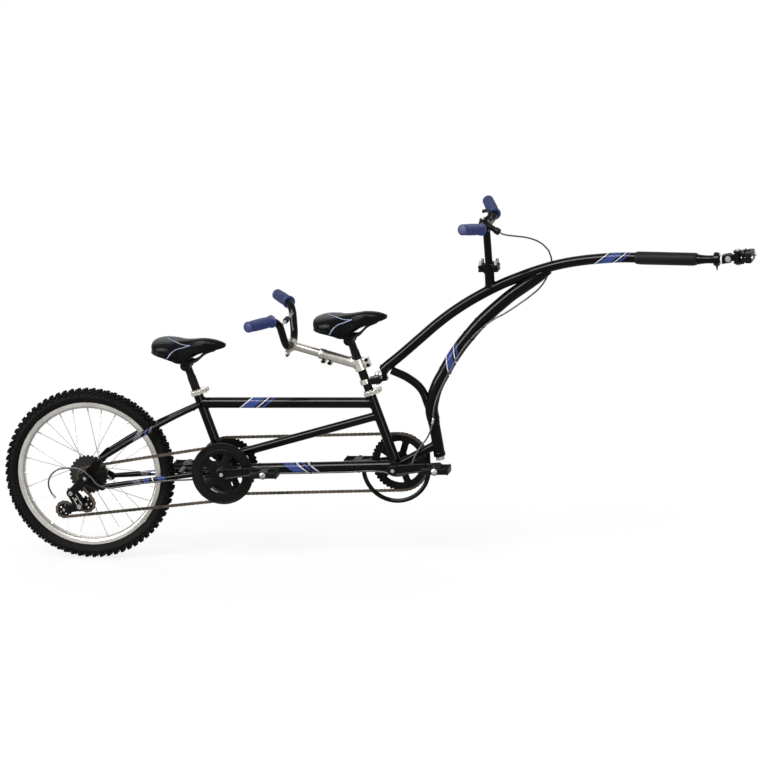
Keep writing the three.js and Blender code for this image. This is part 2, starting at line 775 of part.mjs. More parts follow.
// A crank arm that lies along the crank line, forward on the right and back on the left.
function crankArm(bottom, side) {
  const reach = crankLength * (side < 0 ? 1 : -1);
  const turn = radians(crankRise);
  const eye = at(bottom.x + reach * Math.cos(turn), 0, bottom.z + reach * Math.sin(turn));
  const arm = sidePlate(
    linkOutline({ x: bottom.x, z: bottom.z }, crankEyeRadius, { x: eye.x, z: eye.z }, crankPedalEyeRadius),
    side * crankInner,
    side * (crankInner + crankWall),
  );
  return { arm, eye };
}

function addCranks(label, bottom, hasDriveRing) {
  const right = crankArm(bottom, -1);
  const left = crankArm(bottom, 1);
  const squareReach = crankInner + crankWall - 2;
  const hubSeat = pin(bottom.x, bottom.z, spindleRadius + seatGap + 0.2, -crankInner * 2, 0, 12);
  const rightEnd = -(squareReach - 2);
  const spindle = pin(bottom.x, bottom.z, spindleRadius, rightEnd, crankInner + 1, 12);
  const capDisc = pin(bottom.x, bottom.z, spindleRadius + 2, -crankInner - crankWall, rightEnd - seatGap, 12);
  add(`${label}_crank_right`, "satinBlack", fuse(carve(right.arm, hubSeat), capDisc, pedalAxle(right.eye, -1)));
  add(`${label}_crank_left`, "satinBlack", fuse(left.arm, spindle, pedalAxle(left.eye, 1)));
  const boss = (line, side) =>
    pin(bottom.x, bottom.z, crankEyeRadius + 4, line, side * (crankInner - seatGap), 12);
  const bossBore = (radius) => pin(bottom.x, bottom.z, radius, -crankInner * 2, crankInner * 2, 12);
  const timing = fuse(
    ringSolid(bottom, timingTeeth, timingLine, 5, 16, 27),
    boss(timingLine, 1),
  );
  add(`${label}_timing_ring`, "blackPlastic", carve(timing, bossBore(spindleRadius + seatGap + 0.2)));
  if (hasDriveRing) addDriveRing(bottom, boss, bossBore);
}

// The drive ring with its round trouser guard, which is a wide band on five arms.
function addDriveRing(bottom, boss, bossBore) {
  const guardRadius = pitchRadius(driveTeeth) + guardOverhang;
  const guardInner = guardRadius - 25;
  const guardFace = driveLine - chainWidth / 2 - seatGap * 2;
  const guardWall = 2.5;
  const outline = ringPoints(bottom.x, bottom.z, guardRadius, 26);
  const window = ringPoints(bottom.x, bottom.z, guardInner, 14);
  const guard = sidePlate(outline, guardFace - guardWall, guardFace, [window]);
  const link = sidePlate(
    ringPoints(bottom.x, bottom.z, tipRadius(driveTeeth) - 4.5, 14),
    guardFace - guardWall / 2,
    driveLine,
    [ringPoints(bottom.x, bottom.z, guardInner - 1, 14)],
  );
  const ring = fuse(
    ringSolid(bottom, driveTeeth, driveLine, 5, 18, 26),
    guard,
    link,
    boss(driveLine, -1),
  );
  add("drive_ring", "blackPlastic", carve(ring, bossBore(spindleRadius + seatGap + 0.2)));
}

const axleSides = 8;
const pedalMiddle = crankInner + crankWall + 4 + pedalWidth / 2;

function pedalAxle(eye, side) {
  return pin(
    eye.x,
    eye.z,
    pedalAxleRadius,
    side * (crankInner + crankWall - 2),
    side * (pedalMiddle + pedalWidth / 2 - 6),
    axleSides,
  );
}

// A cage pedal: a core round the axle and a toothed cage plate round it, open between the two.
function addPedal(name, eye, side) {
  const inner = pedalMiddle - pedalWidth / 2;
  const outer = pedalMiddle + pedalWidth / 2;
  const wall = 5;
  const reach = pedalDepth / 2;
  const rise = pedalHeight / 2;
  const span = (low, high) => (side < 0 ? [-high, -low] : [low, high]);
  const slab = (fromX, toX, fromY, toY, fromZ, toZ) => {
    const [lowY, highY] = span(fromY, toY);
    return block(at(eye.x + fromX, lowY, eye.z + fromZ), at(eye.x + toX, highY, eye.z + toZ));
  };
  const core = slab(-11, 11, inner, outer, -9, 9);
  const endPlates = [inner, outer - wall].map((y) => slab(-reach, reach, y, y + wall, -rise * 0.7, rise * 0.7));
  const rails = [-reach, reach - wall].map((x) => slab(x, x + wall, inner, outer, -rise, rise));
  const bore = pin(
    eye.x,
    eye.z,
    (pedalAxleRadius + seatGap) / Math.cos(Math.PI / axleSides),
    side * (inner - overrun),
    side * (outer - 4),
    axleSides,
  );
  add(name, "blackPlastic", carve(fuse(core, ...endPlates, ...rails), bore));
}

function addPedals() {
  [["rear", rearBottom], ["front", frontBottom]].forEach(([label, bottom]) => {
    addPedal(`${label}_pedal_right`, crankArm(bottom, -1).eye, -1);
    addPedal(`${label}_pedal_left`, crankArm(bottom, 1).eye, 1);
  });
}

// Rear derailleur: a claw bracket on the axle, the swinging link body, and the cage with two pulleys.
const knucklePlace = { x: -44, z: -44 };
const cagePivot = { x: -22, z: -86 };
const cageInner = -driveLine - 7;
const cageOuter = -driveLine + 7;
const cageWall = 1.8;

function addDerailleur() {
  const bracketInner = dropoutY + dropoutWall + seatGap + 9 + seatGap;
  const bracketWall = 4;
  const bracket = fuse(
    sidePlate(
      linkOutline({ x: 0, z: 0 }, 12, knucklePlace, 9),
      -bracketInner,
      -bracketInner - bracketWall,
    ),
    pin(knucklePlace.x, knucklePlace.z, 4.5, -bracketInner, -bracketInner + 15, 12),
  );
  const axleRoom = pin(0, 0, axleRadius + seatGap, -bracketInner - overrun, -bracketInner + overrun, 8);
  add("derailleur_bracket", "satinBlack", carve(bracket, axleRoom));
  const linkOuterY = -(bracketInner - seatGap);
  const linkInnerY = -(cageOuter + cageWall + seatGap * 2);
  const link = fuse(
    pin(knucklePlace.x, knucklePlace.z, 11, linkOuterY, linkInnerY, 14),
    sidePlate(
      linkOutline(knucklePlace, 9, cagePivot, 9, 6),
      linkOuterY + 3,
      linkInnerY,
    ),
  );
  const knuckleRoom = pin(knucklePlace.x, knucklePlace.z, 4.5 + runningGap, -bracketInner - overrun, -bracketInner + 17, 12);
  const pivotRoom = pin(cagePivot.x, cagePivot.z, 4 + runningGap, linkOuterY + 5, linkInnerY + overrun, 12);
  add("derailleur_link", "satinBlack", carve(link, knuckleRoom, pivotRoom));
  const plate = (y, withPivot) => {
    const arm = sidePlate(linkOutline(guidePulley, 10, tensionPulley, 10, 6), y, y + cageWall);
    const ear = sidePlate(linkOutline(guidePulley, 8, cagePivot, 8, 6), y, y + cageWall);
    return withPivot ? fuse(arm, ear) : solidOf(arm);
  };
  const pulleyBolt = (place) => pin(place.x, place.z, 2.6, -cageOuter - cageWall, -cageInner + cageWall, 8);
  const cage = fuse(
    plate(-cageOuter - cageWall, true),
    plate(-cageInner, false),
    pulleyBolt(guidePulley),
    pulleyBolt(tensionPulley),
    pin(cagePivot.x, cagePivot.z, 4, -cageOuter - cageWall / 2, linkOuterY + 5 + seatGap, 12),
  );
  add("derailleur_cage", "satinBlack", cage);
  [["guide_pulley", guidePulley], ["tension_pulley", tensionPulley]].forEach(([name, place]) => {
    const disc = pin(place.x, place.z, tipRadius(pulleyTeeth), driveLine - 2.5, driveLine + 2.5, 16);
    add(name, "blackPlastic", carve(disc, pin(place.x, place.z, 2.6 + seatGap, driveLine - overrun, driveLine + overrun, 8)));
  });
}

// A saddle as rings from nose to tail: crowned on top, drawn in at the waist, with drooping skirts.
const saddleShares = [
  [0.0, 0.12, -0.3, -0.42],
  [0.02, 0.19, -0.16, -0.52],
  [0.08, 0.25, -0.06, -0.62],
  [0.2, 0.27, 0.0, -0.66],
  [0.35, 0.3, 0.0, -0.66],
  [0.48, 0.42, -0.02, -0.72],
  [0.6, 0.68, -0.04, -0.86],
  [0.72, 0.9, -0.04, -0.98],
  [0.84, 1.0, -0.01, -1.0],
  [0.93, 0.92, 0.0, -0.92],
  [0.98, 0.7, -0.08, -0.78],
  [1.0, 0.46, -0.2, -0.62],
];

// Each ring holds its crown, the roll over the edge, the skirt and a flat underside.
function saddleRing(share, widthShare, topShare, bottomShare, nose, topZ) {
  const x = nose - share * saddleLength;
  const half = (saddleWidth / 2) * widthShare;
  const top = topZ + topShare * saddleHeight;
  const bottom = topZ + bottomShare * saddleHeight;
  const drop = top - bottom;
  const crown = [
    [0, 0], [0.42, 0.04], [0.76, 0.16], [0.95, 0.38], [1.0, 0.62], [0.97, 0.88], [0.86, 1.0], [0.6, 0.86],
  ];
  const right = crown.map(([w, d]) => at(x, -half * w, top - drop * d));
  const left = crown.slice(1).map(([w, d]) => at(x, half * w, top - drop * d)).reverse();
  return [...right, at(x, 0, top - drop * 0.86), ...left];
}

function saddleSolid(noseX, topZ) {
  return solidOf(loft(saddleShares.map((row) => saddleRing(...row, noseX, topZ))));
}

// The saddle's wire rails in one loop, and the clamp that holds them on the seat post's head.
function addSaddle(label, clampPlace, tilt) {
  const noseReach = 126;
  const topRise = 73;
  const headRadius = seatPostRadius;
  const boltRadius = 4;
  const railRise = 9;
  const wide = 21;
  const turn = new THREE.Matrix4().makeRotationY(-radians(tilt));
  const shift = new THREE.Matrix4().makeTranslation(clampPlace.x, clampPlace.y, clampPlace.z);
  const place = shift.multiply(turn);
  const saddle = geometryOf(saddleSolid(noseReach, topRise)).applyMatrix4(place);
  const railCorners = (side) => [
    at(-58, side * (wide + 12), 37),
    at(-30, side * (wide + 2), railRise),
    at(34, side * wide, railRise),
    at(82, side * 13, 34),
    at(98, side * 8, 35),
  ];
  const loop = [
    ...railCorners(1),
    ...railCorners(-1).reverse(),
  ];
  const rails = pipe(bent(loop, 12, 1), railRadius, 6).applyMatrix4(place);
  const cheekRadius = 15;
  const cheeks = [-1, 1].map((side) =>
    pin(0, 0, cheekRadius, side * (headRadius + seatGap), side * (wide + 8), 10),
  );
  const bolt = pin(0, 0, boltRadius, -wide - 13, wide + 13, 8);
  const nuts = [-1, 1].map((side) => pin(0, 0, 7, side * (wide + 8), side * (wide + 13), 6));
  const railRoom = pipe(bent(loop, 12, 1), railRadius + seatGap, 6);
  const clamp = geometryOf(carve(fuse(...cheeks, ...nuts, bolt), railRoom)).applyMatrix4(place);
  const railsRoom = pipe(bent(loop, 12, 1), railRadius + seatGap, 6).applyMatrix4(place);
  add(`${label}_saddle_clamp`, "satinBlack", clamp);
  add(`${label}_saddle_rails`, "satinBlack", rails);
  add(`${label}_saddle`, "vinyl", carve(saddle, railsRoom));
}

function addSeatPost(label, bottom, top, clampPlace) {
  const lowEnd = top.clone().addScaledVector(seatUp, -postInsert);
  const post = fuse(
    rod(lowEnd, clampPlace, seatPostRadius),
    pin(clampPlace.x, clampPlace.z, seatPostRadius, -seatPostRadius, seatPostRadius),
  );
  const boltRoom = pin(clampPlace.x, clampPlace.z, 4 + runningGap, -overrun * 2, overrun * 2, 8);
  add(`${label}_seat_post`, "satinBlack", carve(post, boltRoom));
}

const rearClampPlace = upSeatTube(rearSeatTop, rearPostReach);
const frontClampPlace = upSeatTube(frontSeatTop, frontPostReach);

function addSeats() {
  addSeatPost("rear", rearBottom, rearSeatTop, rearClampPlace);
  addSaddle("rear", rearClampPlace, 0);
  addSeatPost("front", frontBottom, frontSeatTop, frontClampPlace);
  addSaddle("front", frontClampPlace, frontSaddleTilt);
}

// The rear rider's bar: a telescoping stem on the front seat post, and a U-shaped bar with two grips.
const stemRootReach = 88;
const stemBack = 201.7;
const stemClimb = 58.6;
const stemRoot = upSeatTube(frontSeatTop, stemRootReach);
const barPlace = at(stemRoot.x - stemBack, 0, stemRoot.z + stemClimb);
const stemRadius = 15;
const stemSliderRadius = 12.3;

function addStokerStem() {
  const along = barPlace.clone().sub(stemRoot).normalize();
  const sleeveStart = stemRoot.clone().addScaledVector(along, seatPostRadius);
  const sleeveEnd = stemRoot.clone().addScaledVector(along, 122);
  const clampHalf = 17;
  const clampWall = 5;
  const low = upSeatTube(stemRoot, -clampHalf);
  const high = upSeatTube(stemRoot, clampHalf);
  const ears = block(at(0, -10, -clampHalf), at(seatPostRadius + 20, 10, clampHalf));
  ears.rotateY(-radians(seatLean)).translate(stemRoot.x, 0, stemRoot.z);
  const slot = block(at(0, -1.5, -clampHalf - overrun), at(seatPostRadius + 50, 1.5, clampHalf + overrun));
  slot.rotateY(-radians(seatLean)).translate(stemRoot.x, 0, stemRoot.z);
  const boltPlaces = [-0.5, 0.5].map((share) => {
    const rise = upSeatTube(stemRoot, share * clampHalf);
    const out = seatPostRadius + 13.5;
    return at(rise.x + out * Math.cos(radians(seatLean)), 0, rise.z + out * Math.sin(radians(seatLean)));
  });
  const bolts = boltPlaces.map((place) => pin(place.x, place.z, 4, -15, 15, 6));
  const pinchEars = [0.12, 0.3].map((share) => {
    const place = mix(sleeveEnd, stemRoot, share);
    return block(at(place.x - 9, -9, place.z - stemRadius - 9), at(place.x + 9, 9, place.z - 6));
  });
  const pinchBolts = [0.12, 0.3].map((share) => {
    const place = mix(sleeveEnd, stemRoot, share);
    return pin(place.x, place.z - stemRadius - 3, 4, -14, 14, 6);
  });
  const postRoom = rod(
    upSeatTube(stemRoot, -clampHalf - overrun),
    upSeatTube(stemRoot, clampHalf + overrun),
    seatPostRadius + seatGap,
  );
  const sliderRoom = rod(
    stemRoot.clone().addScaledVector(along, seatPostRadius + clampWall + 6),
    sleeveEnd.clone().addScaledVector(along, overrun),
    stemSliderRadius + seatGap,
  );
  const outer = fuse(
    rod(low, high, seatPostRadius + clampWall),
    ears,
    rod(sleeveStart, sleeveEnd, stemRadius),
    ...pinchEars,
  );
  add(
    "stoker_stem",
    "alloy",
    fuse(carve(outer, postRoom, sliderRoom, slot), ...bolts, ...pinchBolts),
  );
  const sliderStart = stemRoot.clone().addScaledVector(along, 58);
  const sliderEnd = barPlace.clone().addScaledVector(along, -barTubeRadius);
  const clampBody = pin(barPlace.x, barPlace.z, barTubeRadius + 6, -17, 17, 12);
  const clampEar = block(
    at(barPlace.x - barTubeRadius - 6, -17, barPlace.z - barTubeRadius - 12),
    at(barPlace.x - 1, 17, barPlace.z),
  );
  const barRoom = pin(barPlace.x, barPlace.z, barTubeRadius + runningGap, -40, 40);
  const slitRoom = block(
    at(barPlace.x - barTubeRadius - 20, -40, barPlace.z - barTubeRadius - 6),
    at(barPlace.x - barTubeRadius / 2, 40, barPlace.z - barTubeRadius - 4),
  );
  add(
    "stoker_stem_slider",
    "alloy",
    carve(fuse(rod(sliderStart, sliderEnd, stemSliderRadius), clampBody, clampEar), barRoom, slitRoom),
  );
}

// A grip over a bar end: a hollow sleeve, closed at its outer end, with a flange at its inner end.
function gripSolid(inner, outer) {
  const along = outer.clone().sub(inner);
  const length = along.length() + 4;
  const bore = barTubeRadius + runningGap;
  const profile = [
    [bore, 0],
    [gripRadius + 4, 0],
    [gripRadius + 4, 5],
    [gripRadius, 8],
    [gripRadius, length - 6],
    [gripRadius - 5, length],
    [0, length],
    [0, length - 4 + seatGap],
    [bore, length - 4 + seatGap],
    [bore, 0],
  ];
  return turned(profile, inner, along, 12);
}

const gripLine = (inner, toward) =>
  inner.clone().addScaledVector(toward.clone().sub(inner).normalize(), gripLength);

const pastGrip = (inner, outer, distance) =>
  inner.clone().addScaledVector(outer.clone().sub(inner).normalize(), -distance);

// Places on the bar are measured from where the stem holds it: forward, sideways and up.
const stokerGripPlace = [-26, 125, 99];
const stokerGripTip = [-80, 215, 102];
const stokerFootHalf = 58;
const stokerShoulderReach = 26;
const stokerBend = 24;
const braceRodRadius = 4.5;

function addStokerBar() {
  const onBar = ([forward, left, rise], side) => at(barPlace.x + forward, side * left, barPlace.z + rise);
  const gripInner = (side) => onBar(stokerGripPlace, side);
  const gripOuter = (side) => gripLine(gripInner(side), onBar(stokerGripTip, side));
  const shoulder = (side) => pastGrip(gripInner(side), gripOuter(side), stokerShoulderReach);
  const foot = (side) => at(barPlace.x, side * stokerFootHalf, barPlace.z);
  const half = (side) => [gripOuter(side), shoulder(side), foot(side)];
  const bar = pipe(bent([...half(-1), ...half(1).reverse()], stokerBend, 3), barTubeRadius, 10);
  const braceShare = 0.24;
  const braceEnd = (side) => mix(shoulder(side), foot(side), braceShare);
  const brace = rod(braceEnd(-1), braceEnd(1), braceRodRadius, 8);
  add("stoker_bar", "glossBlack", fuse(bar, brace));
  [["left", 1], ["right", -1]].forEach(([name, side]) => {
    add(`stoker_grip_${name}`, "blueRubber", gripSolid(gripInner(side), gripOuter(side)));
  });
}

// The boom: an arched upper tube, a stout lower tube that ends in the fold pin, and a strut between.
// Each row is a share of the boom's reach and of its rise, from the tail behind the fold axis.
const latchReach = 35;
const latchPlace = upSeatTube(frontSeatTop, latchReach);
const boomTailAhead = 47.9;
const boomTailRise = 26;
const boomTail = at(latchPlace.x + boomTailAhead, 0, latchPlace.z + boomTailRise);
const boomTip = [18.2, 0, 19.5];
const strutTip = [30.3, 0, 7.1];
const fromPlace = (place) => ([forward, left, rise]) => at(place.x + forward, place.y + left, place.z + rise);
const upperBoomShares = [
  [0.06, 0.149], [0.118, 0.287], [0.179, 0.43], [0.24, 0.552], [0.301, 0.653],
  [0.361, 0.738], [0.421, 0.807], [0.481, 0.866], [0.541, 0.911], [0.6, 0.94], [0.659, 0.957],
  [0.719, 0.966], [0.777, 0.963], [0.86, 0.955], [0.949, 0.949],
];
const lowerBoomShares = [
  [0.49, 0.828], [0.453, 0.766], [0.423, 0.711], [0.392, 0.651], [0.364, 0.584], [0.338, 0.515],
  [0.3, 0.417], [0.262, 0.318], [0.218, 0.155], [0.19, 0.03], [0.163, -0.105],
];
const strutShares = [[0.08, -0.05], [0.115, -0.14], [0.137, -0.3], [0.15, -0.37]];
const onBoom = ([reachShare, riseShare]) =>
  at(boomTail.x + reachShare * boomReach, 0, boomTail.z + riseShare * boomRise);
const upperBoomPoints = smooth([fromPlace(boomTail)(boomTip), ...upperBoomShares.map(onBoom)], 16);
const boomEnd = onBoom(upperBoomShares[upperBoomShares.length - 1]);
const padStart = onBoom([0.762, 0.964]);
const barPostFoot = onBoom([0.331, 0.689]);
const cradleRise = 68.42;
const cradleHeight = barPostFoot.z + cradleRise;
const neckReach = 49.5;
const neckSink = 20;
const neckEnd = at(boomEnd.x + neckReach, 0, boomEnd.z);
const neckStart = at(boomEnd.x - neckSink, 0, boomEnd.z);
const hitchPinBack = 10;
const hitchPinPlace = at(neckEnd.x - hitchPinBack, 0, neckEnd.z);
const hitchPinRadius = 3.5;
const shankRadius = 8.2;
const shankSink = 35.5;
const shankRoomSink = 39.5;

// A frame of reference square to the fold axis: x forward, y left, z along the axis.
function foldPlaced(geometry, place) {
  return geometry.rotateY(-radians(sleeveLean)).translate(place.x, place.y, place.z);
}

// The boom latch: a jaw round the front seat post, and the boom's flat tongue that slides into it.
const tongueHalfWall = 4;
const tongueHalfWidth = 14;
const tongueStart = 17;
const tongueEnd = 66;
const jawEnd = 47;
const jawWall = 5;
const latchBoltReach = 35;
const latchBoltRadius = 4;
const webStart = 51;
const webHalf = 6;
const webRise = 48;

function tongueSolid() {
  const tongue = block(
    at(tongueStart, -tongueHalfWidth, -tongueHalfWall),
    at(tongueEnd, tongueHalfWidth, tongueHalfWall),
  );
  const slotHalf = latchBoltRadius + 2;
  const slot = block(
    at(latchBoltReach - slotHalf, -slotHalf, -overrun),
    at(latchBoltReach + slotHalf, tongueHalfWidth + overrun, overrun),
  );
  const web = block(at(webStart, -webHalf, 0), at(tongueEnd, webHalf, webRise));
  const [flat, room, upright] = [tongue, slot, web].map((shape) => foldPlaced(shape, latchPlace));
  return carve(fuse(flat, upright), room);
}

function addBoomJaw() {
  const slotHalf = tongueHalfWall + seatGap;
  const jawHalf = slotHalf + jawWall;
  const webFace = tongueHalfWidth + seatGap;
  const bandHalf = jawHalf + 1;
  const band = rod(
    upSeatTube(latchPlace, -bandHalf),
    upSeatTube(latchPlace, bandHalf),
    seatPostRadius + jawWall,
    12,
  );
  const bandRoom = rod(
    upSeatTube(latchPlace, -bandHalf - overrun),
    upSeatTube(latchPlace, bandHalf + overrun),
    seatPostRadius + seatGap,
  );
  const jaw = block(at(seatPostRadius * 0.6, -webFace - 2, -jawHalf), at(jawEnd, webFace + jawWall, jawHalf));
  const room = block(at(tongueStart - seatGap * 2, -webFace - overrun, -slotHalf), at(jawEnd + overrun, webFace, slotHalf));
  const boltLine = (low, high, radius, sides) =>
    rod(at(latchBoltReach, 0, low), at(latchBoltReach, 0, high), radius, sides);
  const eyeHeight = jawHalf + camRadius + 1;
  const eye = rod(at(latchBoltReach - camEyeHalf, 0, eyeHeight), at(latchBoltReach + camEyeHalf, 0, eyeHeight), camRadius - 2, 10);
  const eyeHole = rod(
    at(latchBoltReach - overrun, 0, eyeHeight),
    at(latchBoltReach + overrun, 0, eyeHeight),
    camPinRadius + runningGap,
    8,
  );
  const bolt = boltLine(-jawHalf - 5, jawHalf - 1, latchBoltRadius, 10);
  const shank = boltLine(jawHalf - 2, eyeHeight - 3, boltRadius, 8);
  const head = boltLine(-jawHalf - 6, -jawHalf + 0.5, 7, 6);
  const parts = [jaw, room, eye, eyeHole, bolt, head, shank].map((shape) => foldPlaced(shape, latchPlace));
  const [jawShape, roomShape, eyeShape, holeShape, boltShape, headShape, shankShape] = parts;
  const jawBody = carve(fuse(band, jawShape), bandRoom, roomShape);
  add("boom_jaw", "alloy", carve(fuse(jawBody, eyeShape, boltShape, headShape, shankShape), holeShape));
  const centre = latchPlace.clone().add(
    at(latchBoltReach, 0, eyeHeight).applyAxisAngle(yAxis, -radians(sleeveLean)),
  );
  const hinge = at(Math.cos(radians(sleeveLean)), 0, Math.sin(radians(sleeveLean)));
  add("boom_latch_lever", "alloy", camLever(centre, hinge, yAxis));
}

function addBoom() {
  const lowerPoints = smooth(lowerBoomShares.map(onBoom), 10);
  lowerPoints.push(upSleeve(sleeveLength + 30), upSleeve(sleeveLength + 1));
  const foldPin = rod(upSleeve(4), upSleeve(sleeveLength + 20), pivotPinRadius, 16);
  const strut = smooth([fromPlace(boomTail)(strutTip), ...strutShares.map(onBoom)], 6);
  const post = rod(barPostFoot, at(barPostFoot.x, 0, cradleHeight), barPostRadius);
  const neck = rod(neckStart, neckEnd, neckRadius);
  const shankRoom = rod(
    at(neckEnd.x - shankRoomSink, 0, neckEnd.z),
    at(neckEnd.x + overrun, 0, neckEnd.z),
    shankRadius + seatGap,
    12,
  );
  const pinRoom = rod(
    hitchPinPlace.clone().add(at(0, 0, -neckRadius * 3)),
    hitchPinPlace.clone().add(at(0, 0, neckRadius * 3)),
    hitchPinRadius + seatGap,
    10,
  );
  const barRoom = pin(barPostFoot.x, cradleHeight, barTubeRadius + runningGap, -overrun * 5, overrun * 5);
  const body = fuse(
    pipe(upperBoomPoints, boomRadius),
    pipe(lowerPoints, lowerBoomRadius),
    foldPin,
    pipe(strut, strutRadius, 8),
    post,
    neck,
    tongueSolid(),
    cradleSolid(),
  );
  add("boom_frame", "glossBlack", carve(body, barRoom, shankRoom, pinRoom));
  addPad();
}

// The foam pad, a sleeve round the boom with rounded ends.
function addPad() {
  const padEdge = 4;
  const padTaper = 2;
  const padEnd = at(padStart.x + padLength, 0, boomEnd.z + 1);
  const along = padEnd.clone().sub(padStart);
  const length = along.length();
  const profile = [
    [boomRadius - padTaper, 0],
    [padRadius - padTaper, 0],
    [padRadius, padEdge],
    [padRadius, length - padEdge],
    [padRadius - padTaper, length],
    [boomRadius - padTaper, length],
    [boomRadius - padTaper, 0],
  ];
  const room = pipe(upperBoomPoints, boomRadius + seatGap);
  add("boom_pad", "foam", carve(turned(profile, padStart, along, 14), room));
}

// The cradle and its cap hold the handlebar's foot, with an ear before and behind for the cap bolts.
const cradleWall = 6;
const cradleHalf = 22;
const cradleEar = 12;
const cradleOuter = barTubeRadius + cradleWall;
const cradleEarDepth = 9;

function cradleSolid() {
  const base = pin(barPostFoot.x, cradleHeight, cradleOuter, -cradleHalf, cradleHalf, 12);
  const ears = block(
    at(barPostFoot.x - cradleOuter - cradleEar, -cradleHalf, cradleHeight - cradleEarDepth),
    at(barPostFoot.x + cradleOuter + cradleEar, cradleHalf, cradleHeight - 1),
  );
  const above = block(
    at(barPostFoot.x - cradleOuter * 2, -cradleHalf - overrun, cradleHeight - 1),
    at(barPostFoot.x + cradleOuter * 2, cradleHalf + overrun, cradleHeight + cradleOuter * 2),
  );
  const stop = rod(barPostFoot, at(barPostFoot.x, 0, cradleHeight - 2), barPostRadius);
  return fuse(carve(fuse(base, ears), above), stop);
}

function addBarCap() {
  const shell = pin(barPostFoot.x, cradleHeight, cradleOuter, -cradleHalf, cradleHalf, 12);
  const ears = block(
    at(barPostFoot.x - cradleOuter - cradleEar, -cradleHalf, cradleHeight + 1),
    at(barPostFoot.x + cradleOuter + cradleEar, cradleHalf, cradleHeight + cradleEarDepth),
  );
  const below = block(
    at(barPostFoot.x - cradleOuter * 2, -cradleHalf - overrun, cradleHeight - cradleOuter * 2),
    at(barPostFoot.x + cradleOuter * 2, cradleHalf + overrun, cradleHeight + 1),
  );
  const slotHalf = barTubeRadius + 1;
  const postRoom = block(
    at(barPostFoot.x - slotHalf - cradleWall, -slotHalf, cradleHeight),
    at(barPostFoot.x + slotHalf + cradleWall, slotHalf, cradleHeight + cradleOuter * 2),
  );
  const boltX = (side) => barPostFoot.x + side * (cradleOuter + cradleEar / 2);
  const bolt = (side, y) =>
    rod(
      at(boltX(side), y, cradleHeight + cradleEarDepth - 1),
      at(boltX(side), y, cradleHeight + cradleEarDepth + 6),
      4.5,
      6,
    );
  const boltLine = cradleHalf - 6;
  const bolts = [bolt(-1, -boltLine), bolt(-1, boltLine), bolt(1, -boltLine), bolt(1, boltLine)];
  const barRoom = pin(barPostFoot.x, cradleHeight, barTubeRadius + runningGap, -overrun * 5, overrun * 5);
  add("front_bar_cap", "satinBlack", fuse(carve(fuse(shell, ears), below, postRoom, barRoom), ...bolts));
}

// The front rider's T-shaped handlebar with its two grips.
// Places on it are measured from its top: forward, sideways and up.
const frontBarBack = 3.3;
const frontBarRise = 124;
const frontBarTop = at(barPostFoot.x - frontBarBack, 0, cradleHeight + frontBarRise);
const frontGripPlace = [6, 100, 13];
const frontGripTip = [-35, 205, 35];
const frontShoulderY = 66;
const frontShoulderReach = 12;
const frontBend = 10;
const frontFootOverhang = 4;
const onFrontBar = ([forward, left, rise], side = 1) =>
  at(frontBarTop.x + forward, side * left, frontBarTop.z + rise);

function addFrontHandlebar() {
  const gripInner = (side) => onFrontBar(frontGripPlace, side);
  const gripOuter = (side) => gripLine(gripInner(side), onFrontBar(frontGripTip, side));
  const neck = (side) => pastGrip(gripInner(side), gripOuter(side), frontShoulderReach);
  const shoulder = (side) => at(frontBarTop.x, side * frontShoulderY, frontBarTop.z);
  const half = (side) => [gripOuter(side), neck(side), shoulder(side)];
  const bar = pipe(bent([...half(-1), ...half(1).reverse()], frontBend, 2), barTubeRadius, 10);
  const post = rod(at(barPostFoot.x, 0, cradleHeight), frontBarTop, barTubeRadius);
  const footHalf = cradleHalf + frontFootOverhang;
  const foot = pin(barPostFoot.x, cradleHeight, barTubeRadius, -footHalf, footHalf);
  add("front_handlebar", "glossBlack", fuse(bar, post, foot));
  [["left", 1], ["right", -1]].forEach(([name, side]) => {
    add(`front_grip_${name}`, "blueRubber", gripSolid(gripInner(side), gripOuter(side)));
  });
}

// The thumb shifter: a band on the handlebar with a cable barrel, and a hooked lever on its pivot.
const shifterY = -36;
const shifterBandHalf = 8;
const shifterDeck = 12;
const shifterPivotRadius = 4;
const shifterDiscRadius = 14;
const barrelEnd = onFrontBar([49, -44, -10]);
const shiftPlace = at(frontBarTop.x, shifterY, frontBarTop.z + barTubeRadius);
const onShifter = (x, y, z) => at(shiftPlace.x + x, shiftPlace.y + y, shiftPlace.z + z);

function addShifter() {
  const band = pin(
    shiftPlace.x,
    frontBarTop.z,
    barTubeRadius + 4,
    shifterY - shifterBandHalf,
    shifterY + shifterBandHalf,
    14,
  );
  const bandRoom = pin(
    shiftPlace.x,
    frontBarTop.z,
    barTubeRadius + runningGap,
    shifterY - shifterBandHalf - overrun,
    shifterY + shifterBandHalf + overrun,
  );
  const deck = rod(onShifter(0, 0, 0), onShifter(0, 0, shifterDeck), shifterDiscRadius, 14);
  const pivot = rod(onShifter(0, 0, shifterDeck - 1), onShifter(0, 0, shifterDeck * 2), shifterPivotRadius, 10);
  const barrel = rod(onShifter(4, 2, 3), barrelEnd, 8, 10, 6.5);
  add("shifter_body", "satinBlack", fuse(carve(fuse(band, deck, barrel), bandRoom), pivot));
  const discLow = shifterDeck + seatGap;
  const disc = rod(onShifter(0, 0, discLow), onShifter(0, 0, discLow + 7), shifterDiscRadius - 2, 12);
  const hook = bent(
    [
      onShifter(2, 6, discLow + 4),
      onShifter(14, 20, discLow + 10),
      onShifter(10, 30, discLow + 20),
      onShifter(-8, 28, discLow + 16),
    ],
    10,
    2,
  );
  const pivotRoom = rod(onShifter(0, 0, 0), onShifter(0, 0, shifterDeck * 4), shifterPivotRadius + runningGap, 10);
  add("shift_lever", "blackPlastic", carve(fuse(disc, pipe(hook, 4.5, 8)), pivotRoom));
}

